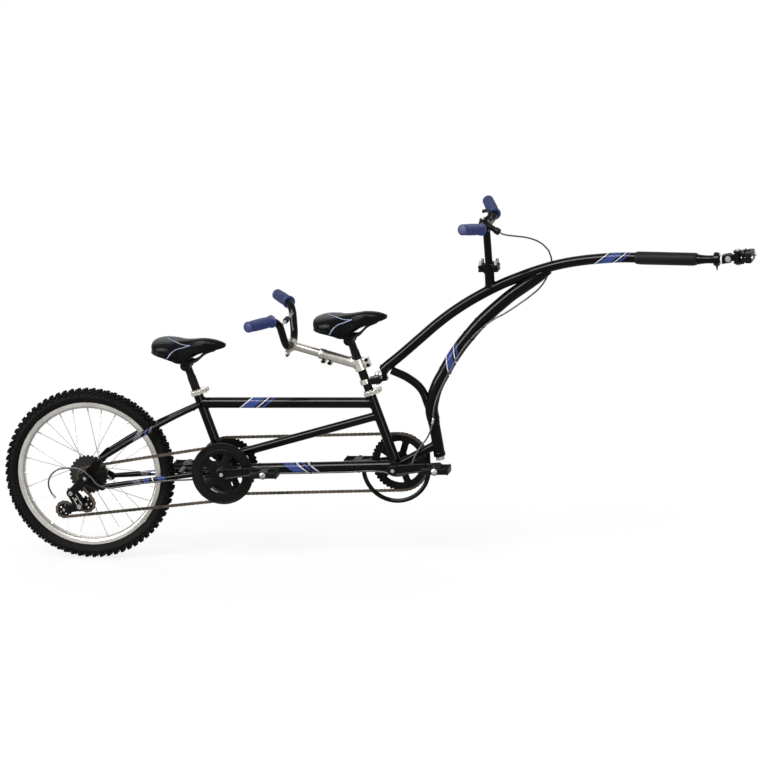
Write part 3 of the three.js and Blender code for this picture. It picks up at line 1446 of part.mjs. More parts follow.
// The hitch: a receiver that plugs into the boom's neck and is pinned there, a cross piece that lets
// it pitch and yaw, and a two-piece clamp for the towing bike's seat post.
const pitchReach = 37;
const pitchRise = 4;
const yawReach = 26;
const clampReach = 25;
const hitchStep = 3;
const pitchPlace = at(neckEnd.x + pitchReach, 0, neckEnd.z + pitchRise);
const yawPlace = at(pitchPlace.x + yawReach, 0, pitchPlace.z + hitchStep);
const clampPlace = at(yawPlace.x + clampReach, 0, yawPlace.z + hitchStep);
const collarStart = neckEnd.x + seatGap;
const collarLength = 9;
const hitchCrossHalf = 8.5;
const hitchForkWall = 6;
const hitchEyeRadius = 12.5;
const hitchBoltRadius = 5;
const yokeHalf = 13;
const yokeWall = 6;
const yokeRadius = 13;
const clampHalfWidth = 32;
const clampBoltY = 24;
const clampDepth = 20;
const clampSplit = 1;
const clampBoltRadius = 3;

function addHitchReceiver() {
  const forkInner = hitchCrossHalf + seatGap;
  const forkOuter = forkInner + hitchForkWall;
  const forkFace = collarStart + collarLength;
  const shankFrom = at(neckEnd.x - shankSink, 0, neckEnd.z);
  const shank = rod(shankFrom, at(forkFace + weldSink, 0, neckEnd.z), shankRadius, 12);
  const collar = rod(at(collarStart, 0, neckEnd.z), at(forkFace, 0, neckEnd.z), neckRadius + 2, 12);
  const base = block(
    at(forkFace - 1, -forkOuter, pitchPlace.z - hitchEyeRadius - 3),
    at(pitchPlace.x - hitchEyeRadius - 2, forkOuter, pitchPlace.z + hitchEyeRadius - 3),
  );
  const ears = [-1, 1].map((side) => {
    const low = side < 0 ? -forkOuter : forkInner;
    const arm = block(
      at(pitchPlace.x - hitchEyeRadius - 3, low, pitchPlace.z - hitchEyeRadius),
      at(pitchPlace.x, low + hitchForkWall, pitchPlace.z + hitchEyeRadius),
    );
    const eye = pin(pitchPlace.x, pitchPlace.z, hitchEyeRadius, low, low + hitchForkWall, 12);
    return fuse(arm, eye);
  });
  const bolt = pin(pitchPlace.x, pitchPlace.z, hitchBoltRadius, -forkOuter - 4, forkOuter + 4, 8);
  const heads = [-1, 1].map((side) =>
    pin(pitchPlace.x, pitchPlace.z, hitchBoltRadius + 4, side * forkOuter, side * (forkOuter + 5), 6),
  );
  const pinRoom = rod(
    hitchPinPlace.clone().add(at(0, 0, -neckRadius * 2)),
    hitchPinPlace.clone().add(at(0, 0, neckRadius * 2)),
    hitchPinRadius + seatGap,
    10,
  );
  add("hitch_receiver", "satinBlack", carve(fuse(shank, collar, base, ...ears, bolt, ...heads), pinRoom));
}

function addHitchCross() {
  const boltRoom = hitchBoltRadius + runningGap;
  const crossHeight = yokeHalf - seatGap;
  const eye = pin(pitchPlace.x, pitchPlace.z, hitchEyeRadius - 1, -hitchCrossHalf, hitchCrossHalf, 12);
  const bar = block(
    at(pitchPlace.x, -hitchCrossHalf, pitchPlace.z - hitchEyeRadius + 3),
    at(yawPlace.x, hitchCrossHalf, yawPlace.z + hitchEyeRadius - 3),
  );
  const knuckle = rod(
    yawPlace.clone().add(at(0, 0, -crossHeight)),
    yawPlace.clone().add(at(0, 0, crossHeight)),
    hitchCrossHalf + 1.5,
    12,
  );
  const pitchRoom = pin(pitchPlace.x, pitchPlace.z, boltRoom, -overrun * 2, overrun * 2, 8);
  const yawRoom = rod(
    yawPlace.clone().add(at(0, 0, -overrun * 2)),
    yawPlace.clone().add(at(0, 0, overrun * 2)),
    boltRoom,
    8,
  );
  add("hitch_cross", "steel", carve(fuse(eye, bar, knuckle), pitchRoom, yawRoom));
}

function addSeatPostClamp() {
  const half = hitchClampHeight / 2;
  const yokes = [-1, 1].map((side) => {
    const low = side < 0 ? -yokeHalf - yokeWall : yokeHalf;
    const eye = rod(
      yawPlace.clone().add(at(0, 0, low)),
      yawPlace.clone().add(at(0, 0, low + yokeWall)),
      yokeRadius,
      12,
    );
    const arm = block(
      at(yawPlace.x, -yokeRadius, yawPlace.z + low),
      at(clampPlace.x - 4, yokeRadius, yawPlace.z + low + yokeWall),
    );
    return fuse(eye, arm);
  });
  const bolt = rod(
    yawPlace.clone().add(at(0, 0, -yokeHalf - yokeWall - 4)),
    yawPlace.clone().add(at(0, 0, yokeHalf + yokeWall + 4)),
    hitchBoltRadius,
    8,
  );
  const back = block(
    at(yawPlace.x + yokeRadius - 1, -clampHalfWidth, clampPlace.z - half),
    at(clampPlace.x - clampSplit, clampHalfWidth, clampPlace.z + half),
  );
  const front = block(
    at(clampPlace.x + clampSplit, -clampHalfWidth, clampPlace.z - half),
    at(clampPlace.x + clampDepth, clampHalfWidth, clampPlace.z + half),
  );
  const postRoom = rod(
    clampPlace.clone().add(at(0, 0, -half - overrun)),
    clampPlace.clone().add(at(0, 0, half + overrun)),
    hitchClampBore,
    16,
  );
  const boltLine = (side, from, to, radius, sides = 8) =>
    rod(at(from, side * clampBoltY, clampPlace.z), at(to, side * clampBoltY, clampPlace.z), radius, sides);
  const boltRooms = [-1, 1].map((side) =>
    boltLine(side, yawPlace.x, clampPlace.x, clampBoltRadius + runningGap),
  );
  const corners = [-1, 1].map((side) =>
    block(
      at(yawPlace.x, side < 0 ? -clampHalfWidth - overrun : clampHalfWidth - 12, clampPlace.z - half - 1),
      at(clampPlace.x - 8, side < 0 ? -clampHalfWidth + 12 : clampHalfWidth + overrun, clampPlace.z + half + 1),
    ),
  );
  add("seat_post_clamp_back", "satinBlack", carve(fuse(carve(back, ...corners), ...yokes, bolt), postRoom, ...boltRooms));
  const bolts = [-1, 1].map((side) =>
    fuse(
      boltLine(side, clampPlace.x - 14, clampPlace.x + clampDepth, clampBoltRadius),
      boltLine(side, clampPlace.x + clampDepth - 1, clampPlace.x + clampDepth + 5, clampBoltRadius + 3, 6),
    ),
  );
  add("seat_post_clamp_front", "satinBlack", fuse(carve(front, postRoom), ...bolts));
}

function addHitchPin() {
  const top = neckRadius + 1;
  const stem = rod(
    hitchPinPlace.clone().add(at(0, 0, -neckRadius - 8)),
    hitchPinPlace.clone().add(at(0, 0, top)),
    hitchPinRadius,
    10,
  );
  const head = rod(
    hitchPinPlace.clone().add(at(0, 0, neckRadius + seatGap)),
    hitchPinPlace.clone().add(at(0, 0, neckRadius + 9)),
    hitchPinRadius + 4,
    12,
  );
  add("hitch_pin", "steel", fuse(stem, head));
}

function addHitch() {
  addHitchReceiver();
  addHitchCross();
  addSeatPostClamp();
  addHitchPin();
}

// The gear cable in its housing: one length from the shifter along the boom to the fold, and one
// from the fold along the frame to the derailleur.
const cableRadius = 2.5;
// Rows of a cable on the boom: a share of the boom's reach, a place to the left, and a share of its rise.
const boomCableRows = [
  [0.4149, -37, 1.1718], [0.4564, -22, 1.1437], [0.4871, -4, 1.0901], [0.505, 14, 1.0169],
  [0.5099, 24, 0.9239], [0.499, 22, 0.8169], [0.4792, 10, 0.7211], [0.4495, 0, 0.6479],
  [0.411, -2, 0.569], [0.372, -3, 0.486], [0.329, -3, 0.366], [0.281, -2, 0.243],
  [0.2446, 0, 0.1183], [0.2188, -3, 0], [0.197, -14, -0.107], [0.1782, -23, -0.2113],
];
const cableLeft = 22;
const cableExits = [[1.7, -0.4, -1], [13, -0.8, -5.5]];
const cableAtFold = [[15.2, -25, 31], [3.2, -cableLeft, 0.9]];
const besideBoom = ([reachShare, left, riseShare]) => onBoom([reachShare, riseShare]).setY(left);
const boomCableRoute = [
  ...cableExits.map(fromPlace(barrelEnd)),
  ...boomCableRows.map(besideBoom),
  ...cableAtFold.map(fromPlace(sleeveTop)),
];
const frameCableRoute = [
  at(1034.6, -21.9, 159.4),
  at(1026, -20.5, 132),
  at(1012, -18.5, 105),
  at(996, -16.5, 86),
  at(972, -16, 48),
  at(954, -16, 7),
  at(918, -15, -6.5),
  at(880, -13.5, 5),
  at(760, -13.5, 4.5),
  at(640, -13.5, 1.7),
  at(520, -13.5, -1),
  at(450, -14, -7),
  at(407, -16, -13.8),
  at(360, -24, -12),
  at(300, -38, -12),
  at(240, -44.5, -20),
  at(160, -55, -28),
  at(100, -64, -40),
  at(66, -76, -42),
  at(40, -87, -24),
  at(20, -91, 8),
  at(-10, -88, 30),
  at(-47, -84, 33),
  at(-80, -80, 27),
  at(-102, -78, 8),
  at(-110, -76, -16),
  at(-104, -74, -42),
  at(-92, -72, -60),
];

function addCables() {
  add("boom_cable", "rubber", pipe(smooth(boomCableRoute, 23), cableRadius, cableSides));
  add("frame_cable", "rubber", pipe(smooth(frameCableRoute, 30), cableRadius, cableSides));
}

addMainFrame();
addRearStays();
addGuardHoop();
addCollars();
addWheel();
addFreewheel();
addChains();
addCranks("rear", rearBottom, true);
addCranks("front", frontBottom, false);
addPedals();
addDerailleur();
addSeats();
addStokerStem();
addStokerBar();
addBoomJaw();
addBoom();
addBarCap();
addFrontHandlebar();
addShifter();
addHitch();
addCables();

bike.position.copy(clampPlace).negate();
const trailerBike = new THREE.Group();
trailerBike.add(bike);

export default trailerBike;
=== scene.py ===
import math
import bpy
from mathutils import Matrix, Vector
from mathutils.kdtree import KDTree


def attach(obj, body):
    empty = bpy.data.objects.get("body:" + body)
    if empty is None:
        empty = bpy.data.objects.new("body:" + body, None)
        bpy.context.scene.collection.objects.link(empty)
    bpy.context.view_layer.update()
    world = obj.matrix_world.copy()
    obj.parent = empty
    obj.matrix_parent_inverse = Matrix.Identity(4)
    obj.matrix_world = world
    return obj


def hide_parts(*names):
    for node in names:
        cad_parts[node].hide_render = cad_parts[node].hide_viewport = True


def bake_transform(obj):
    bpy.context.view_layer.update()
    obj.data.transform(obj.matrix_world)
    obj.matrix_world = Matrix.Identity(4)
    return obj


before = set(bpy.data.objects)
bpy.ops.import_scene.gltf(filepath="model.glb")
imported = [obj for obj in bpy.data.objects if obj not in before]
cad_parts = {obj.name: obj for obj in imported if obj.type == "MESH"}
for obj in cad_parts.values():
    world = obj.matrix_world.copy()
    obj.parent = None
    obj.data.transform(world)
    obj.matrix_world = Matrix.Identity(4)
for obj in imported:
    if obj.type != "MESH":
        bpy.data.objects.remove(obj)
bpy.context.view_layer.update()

# Camera. It stands far off on the bike's right, a little ahead of it and above, and is levelled so that the
# bike's length lies level in the picture. Every place in this file is measured in millimetres from the middle
# of the wheel's axle: ahead, to the left, and up.
AXLE_BEHIND, AXLE_BELOW = 1980, 646.94
AHEAD, ACROSS, UPRIGHT = (1, 0, 0), (0, 1, 0), (0, 0, 1)
PICTURE_SIDE, PIXELS_PER_METRE, SIGHT_END = 768, 343.1, 500
LENS, SENSOR = 900.0, 36.0
TURNED_AHEAD, LOOKING_DOWN = math.radians(11.94), math.radians(12.9)


def spot(ahead, left, up):
    """A place on the bike, as metres in the frame that starts at the hitch's clamp."""
    return Vector((ahead - AXLE_BEHIND, left, up - AXLE_BELOW)) / 1000


def deselect():
    bpy.ops.object.select_all(action="DESELECT")


PICTURE_MIDDLE = (889.7, 0, 265.8)
aimed_at = spot(*PICTURE_MIDDLE)
back = Vector((math.sin(TURNED_AHEAD) * math.cos(LOOKING_DOWN),
               -math.cos(TURNED_AHEAD) * math.cos(LOOKING_DOWN),
               math.sin(LOOKING_DOWN)))
across = (Vector(AHEAD) - Vector(AHEAD).dot(back) * back).normalized()
upward = back.cross(across)
away = LENS / SENSOR * PICTURE_SIDE / PIXELS_PER_METRE
deselect()
bpy.ops.object.camera_add(location=aimed_at + back * away)
camera = bpy.context.object
camera.matrix_world = (Matrix.Translation(aimed_at + back * away)
                       @ Matrix((across, upward, back)).transposed().to_4x4())
camera.data.lens = LENS
camera.data.sensor_width = SENSOR
camera.data.clip_end = SIGHT_END
bpy.context.scene.camera = camera

# Floor and light. A plain white studio floor under the tyre, wide enough to be all that is behind the bike,
# with a broad soft lamp above the front, weaker ones from the other sides and a white room all round. Four
# strips light only what is glossy, and draw the bright lines along the painted tubes.
FLOOR_SIDE = 400
FLOOR_MIDDLE = (900, 0, -254.1)
FLOOR_WHITENESS = 0.82


def worked(tree, operation, *values):
    """One step of arithmetic; each value is a plain number or comes from another node."""
    made = tree.nodes.new("ShaderNodeMath")
    made.operation = operation
    for socket, value in zip(made.inputs, values):
        if isinstance(value, (int, float)):
            socket.default_value = value
        else:
            tree.links.new(value, socket)
    return made.outputs[0]


def white_when_seen(tree):
    """1 where the floor or the room is seen, in the picture or in metal, and 0 where it only lights."""
    rays = tree.nodes.new("ShaderNodeLightPath")
    seen = rays.outputs["Is Camera Ray"]
    for other in ("Is Glossy Ray", "Is Transmission Ray"):
        seen = worked(tree, "MAXIMUM", seen, rays.outputs[other])
    return seen


deselect()
bpy.ops.mesh.primitive_plane_add(size=FLOOR_SIDE, location=spot(*FLOOR_MIDDLE))
floor = bpy.context.object
floor.name = "floor"
bpy.ops.object.transform_apply(location=True, rotation=True, scale=True)
floor_paint = bpy.data.materials.new("floor_white")
floor_paint.use_nodes = True
floor_tree = floor_paint.node_tree
floor_shader = floor_tree.nodes["Principled BSDF"]
floor_shader.inputs["Base Color"].default_value = (0.92, 0.92, 0.92, 1)
floor_shader.inputs["Roughness"].default_value = 0.9
floor_glow = floor_tree.nodes.new("ShaderNodeEmission")
floor_mix = floor_tree.nodes.new("ShaderNodeMixShader")
floor_part = worked(floor_tree, "MULTIPLY", white_when_seen(floor_tree), FLOOR_WHITENESS)
floor_tree.links.new(floor_part, floor_mix.inputs[0])
floor_tree.links.new(floor_shader.outputs[0], floor_mix.inputs[1])
floor_tree.links.new(floor_glow.outputs[0], floor_mix.inputs[2])
floor_tree.links.new(floor_mix.outputs[0], floor_tree.nodes["Material Output"].inputs["Surface"])
floor.data.materials.append(floor_paint)


def lamp(name, towards, strength, softness):
    """A sun lamp: light that comes from one side of the whole bike, softened as by a wide screen."""
    deselect()
    bpy.ops.object.light_add(type="SUN", location=(0, 0, 4))
    made = bpy.context.object
    made.name = name
    made.rotation_euler = Vector(towards).to_track_quat("-Z", "Y").to_euler()
    made.data.energy = strength
    made.data.angle = math.radians(softness)
    return made


lamp("key_lamp", (0.45, 0.75, -1.2), 1.35, 28)
lamp("fill_lamp", (-0.8, 0.9, -0.5), 0.55, 60)
lamp("rim_lamp", (0.2, -1.0, -0.9), 0.5, 40)
for name, towards, strength, softness in (("high_gloss_strip", (0.22, 0.62, -0.75), 5.6, 28),
                                          ("slant_gloss_strip", (0.53, 0.6, -0.58), 3.2, 24),
                                          ("back_gloss_strip", (0.76, 0.6, -0.28), 5.0, 26),
                                          ("low_gloss_strip", (-0.6, 0.8, 0.05), 1.4, 17)):
    lamp(name, towards, strength, softness).visible_diffuse = False
room = bpy.data.worlds.new("white_room")
bpy.context.scene.world = room
room.use_nodes = True
room_tree = room.node_tree
room_light = room_tree.nodes["Background"]
room_light.inputs["Color"].default_value = (1, 1, 1, 1)
room_strength = room_tree.nodes.new("ShaderNodeMapRange")
room_strength.inputs["To Min"].default_value = 0.55
room_strength.inputs["To Max"].default_value = 1.0
room_tree.links.new(white_when_seen(room_tree), room_strength.inputs["Value"])
room_tree.links.new(room_strength.outputs["Result"], room_light.inputs["Strength"])
bpy.context.scene.view_settings.view_transform = "Standard"

# Main frame. Two seat tubes and two crank shells, joined by a round top tube, a bottom tube and a diagonal,
# with a short brace to the upright sleeve of the fold. Steel tubes, mitred, welded with a row of small
# overlapping beads, and painted gloss black with plain slanted bands of blue and white.
REAR_SHELL, FRONT_SHELL = (407, 0, 10), (918, 0, 22)
SEAT_UP = (-0.30902, 0, 0.95106)
REAR_SEAT_TOP, FRONT_SEAT_TOP = (331.6, 0, 242.06), (846.93, 0, 240.74)
SEAT_TUBE, TOP_TUBE, DIAGONAL_TUBE, BRACE_TUBE = 14.3, 15.9, 12.7, 13.0
SHELL_RADIUS, SHELL_HALF = 20, 34
TOP_TUBE_BACK, TOP_TUBE_FRONT = (343, 0, 210.06), (855, 0, 210.06)
DIAGONAL_BACK, DIAGONAL_FRONT, BRACE_FRONT = (395.9, 0, 44.2), (869.2, 0, 172.3), (1041.2, 0, 87.1)
SLEEVE_FOOT, SLEEVE_TOP, SLEEVE_RADIUS = (1046, 0, 50), (1031.8, 0, 159.1), 16.5
BEAD_RADIUS, BEAD_LAPS = 1.9, 72
TUBE_SIDES = 32


def bar(points, radius, bend=0.0, widths=None, sides=TUBE_SIDES, smooth=False):
    """A round bar along points, straight with rounded bends, or as one smooth curve."""
    places = [spot(*p) for p in points]
    knots = []
    if bend and not smooth:
        cut = bend / 1000
        knots.append((places[0], None, None))
        for before, corner, after in zip(places, places[1:], places[2:]):
            into = (before - corner).normalized()
            out = (after - corner).normalized()
            near = min(cut, 0.45 * (before - corner).length, 0.45 * (after - corner).length)
            knots.append((corner + into * near, None, corner + into * near * 0.45))
            knots.append((corner + out * near, corner + out * near * 0.45, None))
        knots.append((places[-1], None, None))
    else:
        knots = [(place, None, None) for place in places]
    deselect()
    bpy.ops.curve.primitive_bezier_curve_add(location=(0, 0, 0))
    made = bpy.context.object
    line = made.data
    spline = line.splines[0]
    spline.bezier_points.add(len(knots) - len(spline.bezier_points))
    for point, (place, _, _) in zip(spline.bezier_points, knots):
        point.co = place
        point.handle_left_type = point.handle_right_type = "AUTO" if smooth else "VECTOR"
    if bend and not smooth:
        for number, (point, (place, left, right)) in enumerate(zip(spline.bezier_points, knots)):
            point.handle_left_type = point.handle_right_type = "FREE"
            before = knots[number - 1][0] if number else place
            after = knots[number + 1][0] if number + 1 < len(knots) else place
            point.handle_left = left or place.lerp(before, 0.33)
            point.handle_right = right or place.lerp(after, 0.33)
    if widths:
        for point, width in zip(spline.bezier_points, widths):
            point.radius = width / radius
    line.resolution_u = 8
    line.bevel_depth = radius / 1000
    line.bevel_resolution = (sides - 4) // 2
    line.use_fill_caps = True
    line.twist_mode = "MINIMUM"
    bpy.ops.object.convert(target="MESH")
    made = bpy.context.object
    rounded(made)
    return made


def only(piece):
    """Select one piece and make it the active one."""
    deselect()
    piece.select_set(True)
    bpy.context.view_layer.objects.active = piece


def rounded(piece, angle=35):
    """Shade smooth, but keep the edges that are sharper than the angle."""
    only(piece)
    bpy.ops.object.shade_smooth_by_angle(angle=math.radians(angle))


def turned(outline, at=(0, 0, 0), along=UPRIGHT, steps=36, angle=35):
    """A round piece, turned as on a lathe from an outline of (radius, reach), in millimetres."""
    deselect()
    bpy.ops.mesh.primitive_circle_add(vertices=len(outline), location=(0, 0, 0))
    made = bpy.context.object
    for corner, (radius, reach) in zip(made.data.vertices, outline):
        corner.co = (radius / 1000, 0, reach / 1000)
    bpy.ops.object.mode_set(mode="EDIT")
    bpy.ops.mesh.select_all(action="SELECT")
    bpy.ops.mesh.spin(steps=steps, angle=math.tau, center=(0, 0, 0), axis=(0, 0, 1))
    bpy.ops.mesh.select_all(action="SELECT")
    bpy.ops.mesh.remove_doubles(threshold=1e-5)
    bpy.ops.mesh.delete_loose()
    bpy.ops.mesh.select_all(action="SELECT")
    bpy.ops.mesh.normals_make_consistent(inside=False)
    bpy.ops.object.mode_set(mode="OBJECT")
    turned_to = Vector(along).to_track_quat("Z", "Y").to_matrix().to_4x4()
    made.matrix_world = Matrix.Translation(spot(*at)) @ turned_to
    bpy.ops.object.transform_apply(location=True, rotation=True, scale=True)
    rounded(made, angle)
    return made


def rod(radius, first, last, at, along, steps):
    """A plain round rod or pin, from one reach to another along its axis."""
    return turned([(0, first), (radius, first), (radius, last), (0, last)], at=at, along=along, steps=steps)


def eased_ring(inner, outer, half, ease, at, along, steps):
    """A plain ring or band, as far each way from its middle, with its outer edges eased."""
    return turned([(inner, -half), (outer - ease, -half), (outer, -half + ease), (outer, half - ease),
                   (outer - ease, half), (inner, half)], at=at, along=along, steps=steps)


def together(name, *pieces):
    """Join pieces that are welded, screwed or moulded to each other into one."""
    deselect()
    for piece in pieces:
        piece.select_set(True)
    bpy.context.view_layer.objects.active = pieces[0]
    if len(pieces) > 1:
        bpy.ops.object.join()
    made = bpy.context.object
    made.name = name
    made.data.name = name
    return made


def fitted(name, pieces, body, slot, material, *nodes):
    """Finish a piece: one mesh, its material, the body that it moves with, and the solids it stands for."""
    made = together(name, *pieces)
    made.data.materials.clear()
    made.data.materials.append(material)
    for face in made.data.polygons:
        face.material_index = 0
    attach(made, body)
    if nodes:
        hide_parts(*nodes)
    return made


def bead(start, toward, radius, trunk_at, trunk_along, trunk_radius):
    """A weld bead round a tube where it meets a rounder one: the curve of the two skins, laid in small laps."""
    root, line = spot(*start), (spot(*toward) - spot(*start)).normalized()
    side = line.orthogonal().normalized()
    other = line.cross(side)
    trunk, spine = spot(*trunk_at), Vector(trunk_along).normalized()
    ring = []
    for lap in range(BEAD_LAPS):
        turn = math.tau * lap / BEAD_LAPS
        edge = root + (side * math.cos(turn) + other * math.sin(turn)) * radius / 1000 - trunk
        flat, flat_line = edge - spine * edge.dot(spine), line - spine * line.dot(spine)
        a, b = flat_line.length_squared, flat.dot(flat_line)
        c = flat.length_squared - (trunk_radius / 1000) ** 2
        under = b * b - a * c
        if under <= 0:
            continue
        ring.append(edge + trunk + line * ((-b - math.sqrt(under)) / a))
    deselect()
    bpy.ops.curve.primitive_bezier_curve_add(location=(0, 0, 0))
    made = bpy.context.object
    weld_line = made.data
    weld_line.splines.clear()
    spline = weld_line.splines.new("POLY")
    spline.points.add(len(ring) - 1)
    for lap, (point, place) in enumerate(zip(spline.points, ring)):
        point.co = (*place, 1)
        point.radius = 1.15 if lap % 2 else 0.8
    spline.use_cyclic_u = True
    weld_line.bevel_depth = BEAD_RADIUS / 1000
    weld_line.bevel_resolution = 2
    bpy.ops.object.convert(target="MESH")
    made = bpy.context.object
    rounded(made, 60)
    return made


def node_group(name, takes, gives):
    """An empty group of nodes, with the names and kinds of what it takes in and gives out."""
    group = bpy.data.node_groups.new(name, "ShaderNodeTree")
    for way, sockets in (("INPUT", takes), ("OUTPUT", gives)):
        for label, kind in sockets.items():
            group.interface.new_socket(label, in_out=way, socket_type="NodeSocket" + kind)
    return group, group.nodes.new("NodeGroupInput"), group.nodes.new("NodeGroupOutput")


def uneven_group():
    """How a real surface varies: fine grain, broad blotches, dust that settles on top, and hairline scratches."""
    group, given, put_out = node_group(
        "uneven_surface", {"Place": "Vector", "Grain Scale": "Float", "Blotch Scale": "Float"},
        dict.fromkeys(("Grain", "Blotch", "Dust", "Scratch"), "Float"))
    nodes, links = group.nodes, group.links

    def noise(scale, detail):
        made = nodes.new("ShaderNodeTexNoise")
        made.inputs["Detail"].default_value = detail
        links.new(given.outputs["Place"], made.inputs["Vector"])
        if isinstance(scale, str):
            links.new(given.outputs[scale], made.inputs["Scale"])
        else:
            made.inputs["Scale"].default_value = scale
        return made.outputs["Fac"]

    def between(value, low, high):
        made = nodes.new("ShaderNodeMapRange")
        made.interpolation_type = "SMOOTHSTEP"
        made.inputs["From Min"].default_value = low
        made.inputs["From Max"].default_value = high
        links.new(value, made.inputs["Value"])
        return made.outputs["Result"]

    links.new(noise("Grain Scale", 3), put_out.inputs["Grain"])
    links.new(between(noise("Blotch Scale", 4), 0.35, 0.72), put_out.inputs["Blotch"])
    facing = nodes.new("ShaderNodeNewGeometry")
    parts = nodes.new("ShaderNodeSeparateXYZ")
    links.new(facing.outputs["Normal"], parts.inputs[0])
    settled = worked(group, "MULTIPLY", between(parts.outputs["Z"], 0.35, 1.0),
                     between(noise(60, 6), 0.4, 0.75))
    links.new(settled, put_out.inputs["Dust"])
    stretch = nodes.new("ShaderNodeMapping")
    stretch.inputs["Scale"].default_value = (60, 900, 900)
    links.new(given.outputs["Place"], stretch.inputs["Vector"])
    lines = nodes.new("ShaderNodeTexNoise")
    lines.inputs["Scale"].default_value = 1.0
    lines.inputs["Detail"].default_value = 2
    links.new(stretch.outputs["Vector"], lines.inputs["Vector"])
    links.new(between(lines.outputs["Fac"], 0.66, 0.74), put_out.inputs["Scratch"])
    return group


UNEVEN, BLOTCHES, DUST = uneven_group(), 9, (0.32, 0.30, 0.28)


def mixed(tree, mask, first, second, most=1.0):
    """A colour that goes from first to second with a mask; either may be a socket or a plain colour."""
    made = tree.nodes.new("ShaderNodeMix")
    made.data_type = "RGBA"
    if most < 1.0:
        mask = worked(tree, "MULTIPLY", mask, most)
    tree.links.new(mask, made.inputs["Factor"])
    for socket, colour in zip((made.inputs[6], made.inputs[7]), (first, second)):
        if isinstance(colour, tuple):
            socket.default_value = (*colour, 1)
        else:
            tree.links.new(colour, socket)
    return made.outputs[2]


def surface(name, colour, worn, rough, spread=0.12, metal=0.0, grain=900, bump=0.04, dust=0.08,
            scratch=0.15, coat=0.0, glint=0.5):
    """A finish that varies in colour, gloss and relief; gives the material, its tree, its shader and its colour."""
    made = bpy.data.materials.new(name)
    made.use_nodes = True
    tree = made.node_tree
    shader = tree.nodes["Principled BSDF"]
    shader.inputs["Metallic"].default_value = metal
    shader.inputs["Coat Weight"].default_value = coat
    shader.inputs["Coat Roughness"].default_value = 0.06
    shader.inputs["Specular IOR Level"].default_value = glint
    where = tree.nodes.new("ShaderNodeTexCoord")
    masks = tree.nodes.new("ShaderNodeGroup")
    masks.node_tree = UNEVEN
    masks.inputs["Grain Scale"].default_value = grain
    masks.inputs["Blotch Scale"].default_value = BLOTCHES
    tree.links.new(where.outputs["Object"], masks.inputs["Place"])
    base = mixed(tree, masks.outputs["Blotch"], colour, worn)
    base = mixed(tree, masks.outputs["Scratch"], base, tuple(min(1.0, 1.5 * c + 0.02) for c in colour), scratch)
    dusty = mixed(tree, masks.outputs["Dust"], base, DUST, dust)
    tree.links.new(dusty, shader.inputs["Base Color"])
    gloss = tree.nodes.new("ShaderNodeMapRange")
    gloss.inputs["From Min"].default_value = 0.25
    gloss.inputs["From Max"].default_value = 0.75
    gloss.inputs["To Min"].default_value = max(0.02, rough - spread / 2)
    gloss.inputs["To Max"].default_value = rough + spread / 2
    tree.links.new(masks.outputs["Grain"], gloss.inputs["Value"])
    tree.links.new(gloss.outputs["Result"], shader.inputs["Roughness"])
    relief = tree.nodes.new("ShaderNodeBump")
    relief.inputs["Distance"].default_value = 0.001
    relief.inputs["Strength"].default_value = bump
    tree.links.new(masks.outputs["Grain"], relief.inputs["Height"])
    tree.links.new(relief.outputs["Normal"], shader.inputs["Normal"])
    return made, tree, shader, dusty


def band_group():
    """A painted band round a straight tube: 1 between two places along a slanted direction, and 0 past them."""
    group, given, put_out = node_group("painted_band",
                                       {"Place": "Vector", "Direction": "Vector", "From": "Float",
                                        "To": "Float"}, {"Band": "Float"})
    along = group.nodes.new("ShaderNodeVectorMath")
    along.operation = "DOT_PRODUCT"
    group.links.new(given.outputs["Place"], along.inputs[0])
    group.links.new(given.outputs["Direction"], along.inputs[1])
    past = worked(group, "GREATER_THAN", along.outputs["Value"], given.outputs["From"])
    short = worked(group, "LESS_THAN", along.outputs["Value"], given.outputs["To"])
    group.links.new(worked(group, "MULTIPLY", past, short), put_out.inputs["Band"])
    return group


PAINTED_BAND = band_group()
# The grey band colour is a grey label on the seat stays, and a painted highlight on the chain stays.
BAND_BLUE, BAND_WHITE, BAND_GREY_LABEL_AND_HIGHLIGHT = (0.035, 0.06, 0.22), (0.56, 0.58, 0.66), (0.10, 0.105, 0.12)
PAINT_BLACK, PAINT_WORN = (0.0015, 0.0015, 0.0018), (0.003, 0.003, 0.0034)


def frame_paint(name, bands=()):
    """Gloss black paint; each band is its colour, its two places and the slanted direction that it is cut in."""
    made, tree, shader, colour = surface(name, PAINT_BLACK, PAINT_WORN, 0.13, spread=0.06, grain=420,
                                                bump=0.02, dust=0.006, scratch=0.04, glint=0.065)
    where = tree.nodes.new("ShaderNodeTexCoord")
    for paint, first, last, slant in bands:
        direction = Vector(slant).normalized()
        band = tree.nodes.new("ShaderNodeGroup")
        band.node_tree = PAINTED_BAND
        tree.links.new(where.outputs["Object"], band.inputs["Place"])
        band.inputs["Direction"].default_value = direction
        band.inputs["From"].default_value = spot(*first).dot(direction)
        band.inputs["To"].default_value = spot(*last).dot(direction)
        colour = mixed(tree, band.outputs["Band"], colour, paint)
    tree.links.new(colour, shader.inputs["Base Color"])
    return made


def stripes(start, along, slant, *runs):
    """A row of slanted bands along a tube: each run is a colour, where it starts and how long it is."""
    line = Vector(along).normalized()
    rows = []
    for paint, first, length in runs:
        ends = [Vector(start) + line * reach for reach in (first, first + length)]
        rows.append((paint, tuple(ends[0]), tuple(ends[1]), slant))
    return rows


PLAIN_PAINT = frame_paint("black_frame_paint")
top_tube_paint = frame_paint("top_tube_paint", stripes(
    (473, 0, 210), (1, 0, 0), (0.62, 0, -0.78),
    (BAND_WHITE, 0, 6), (BAND_BLUE, 8, 34), (BAND_WHITE, 50, 5), (BAND_BLUE, 64, 9)))
bottom_tube_paint = frame_paint("bottom_tube_paint", stripes(
    (598, 0, 14.5), (1, 0, 0.0235), (0.62, 0, 0.78),
    (BAND_BLUE, 0, 34), (BAND_WHITE, 38, 6), (BAND_BLUE, 54, 9), (BAND_WHITE, 72, 6)))


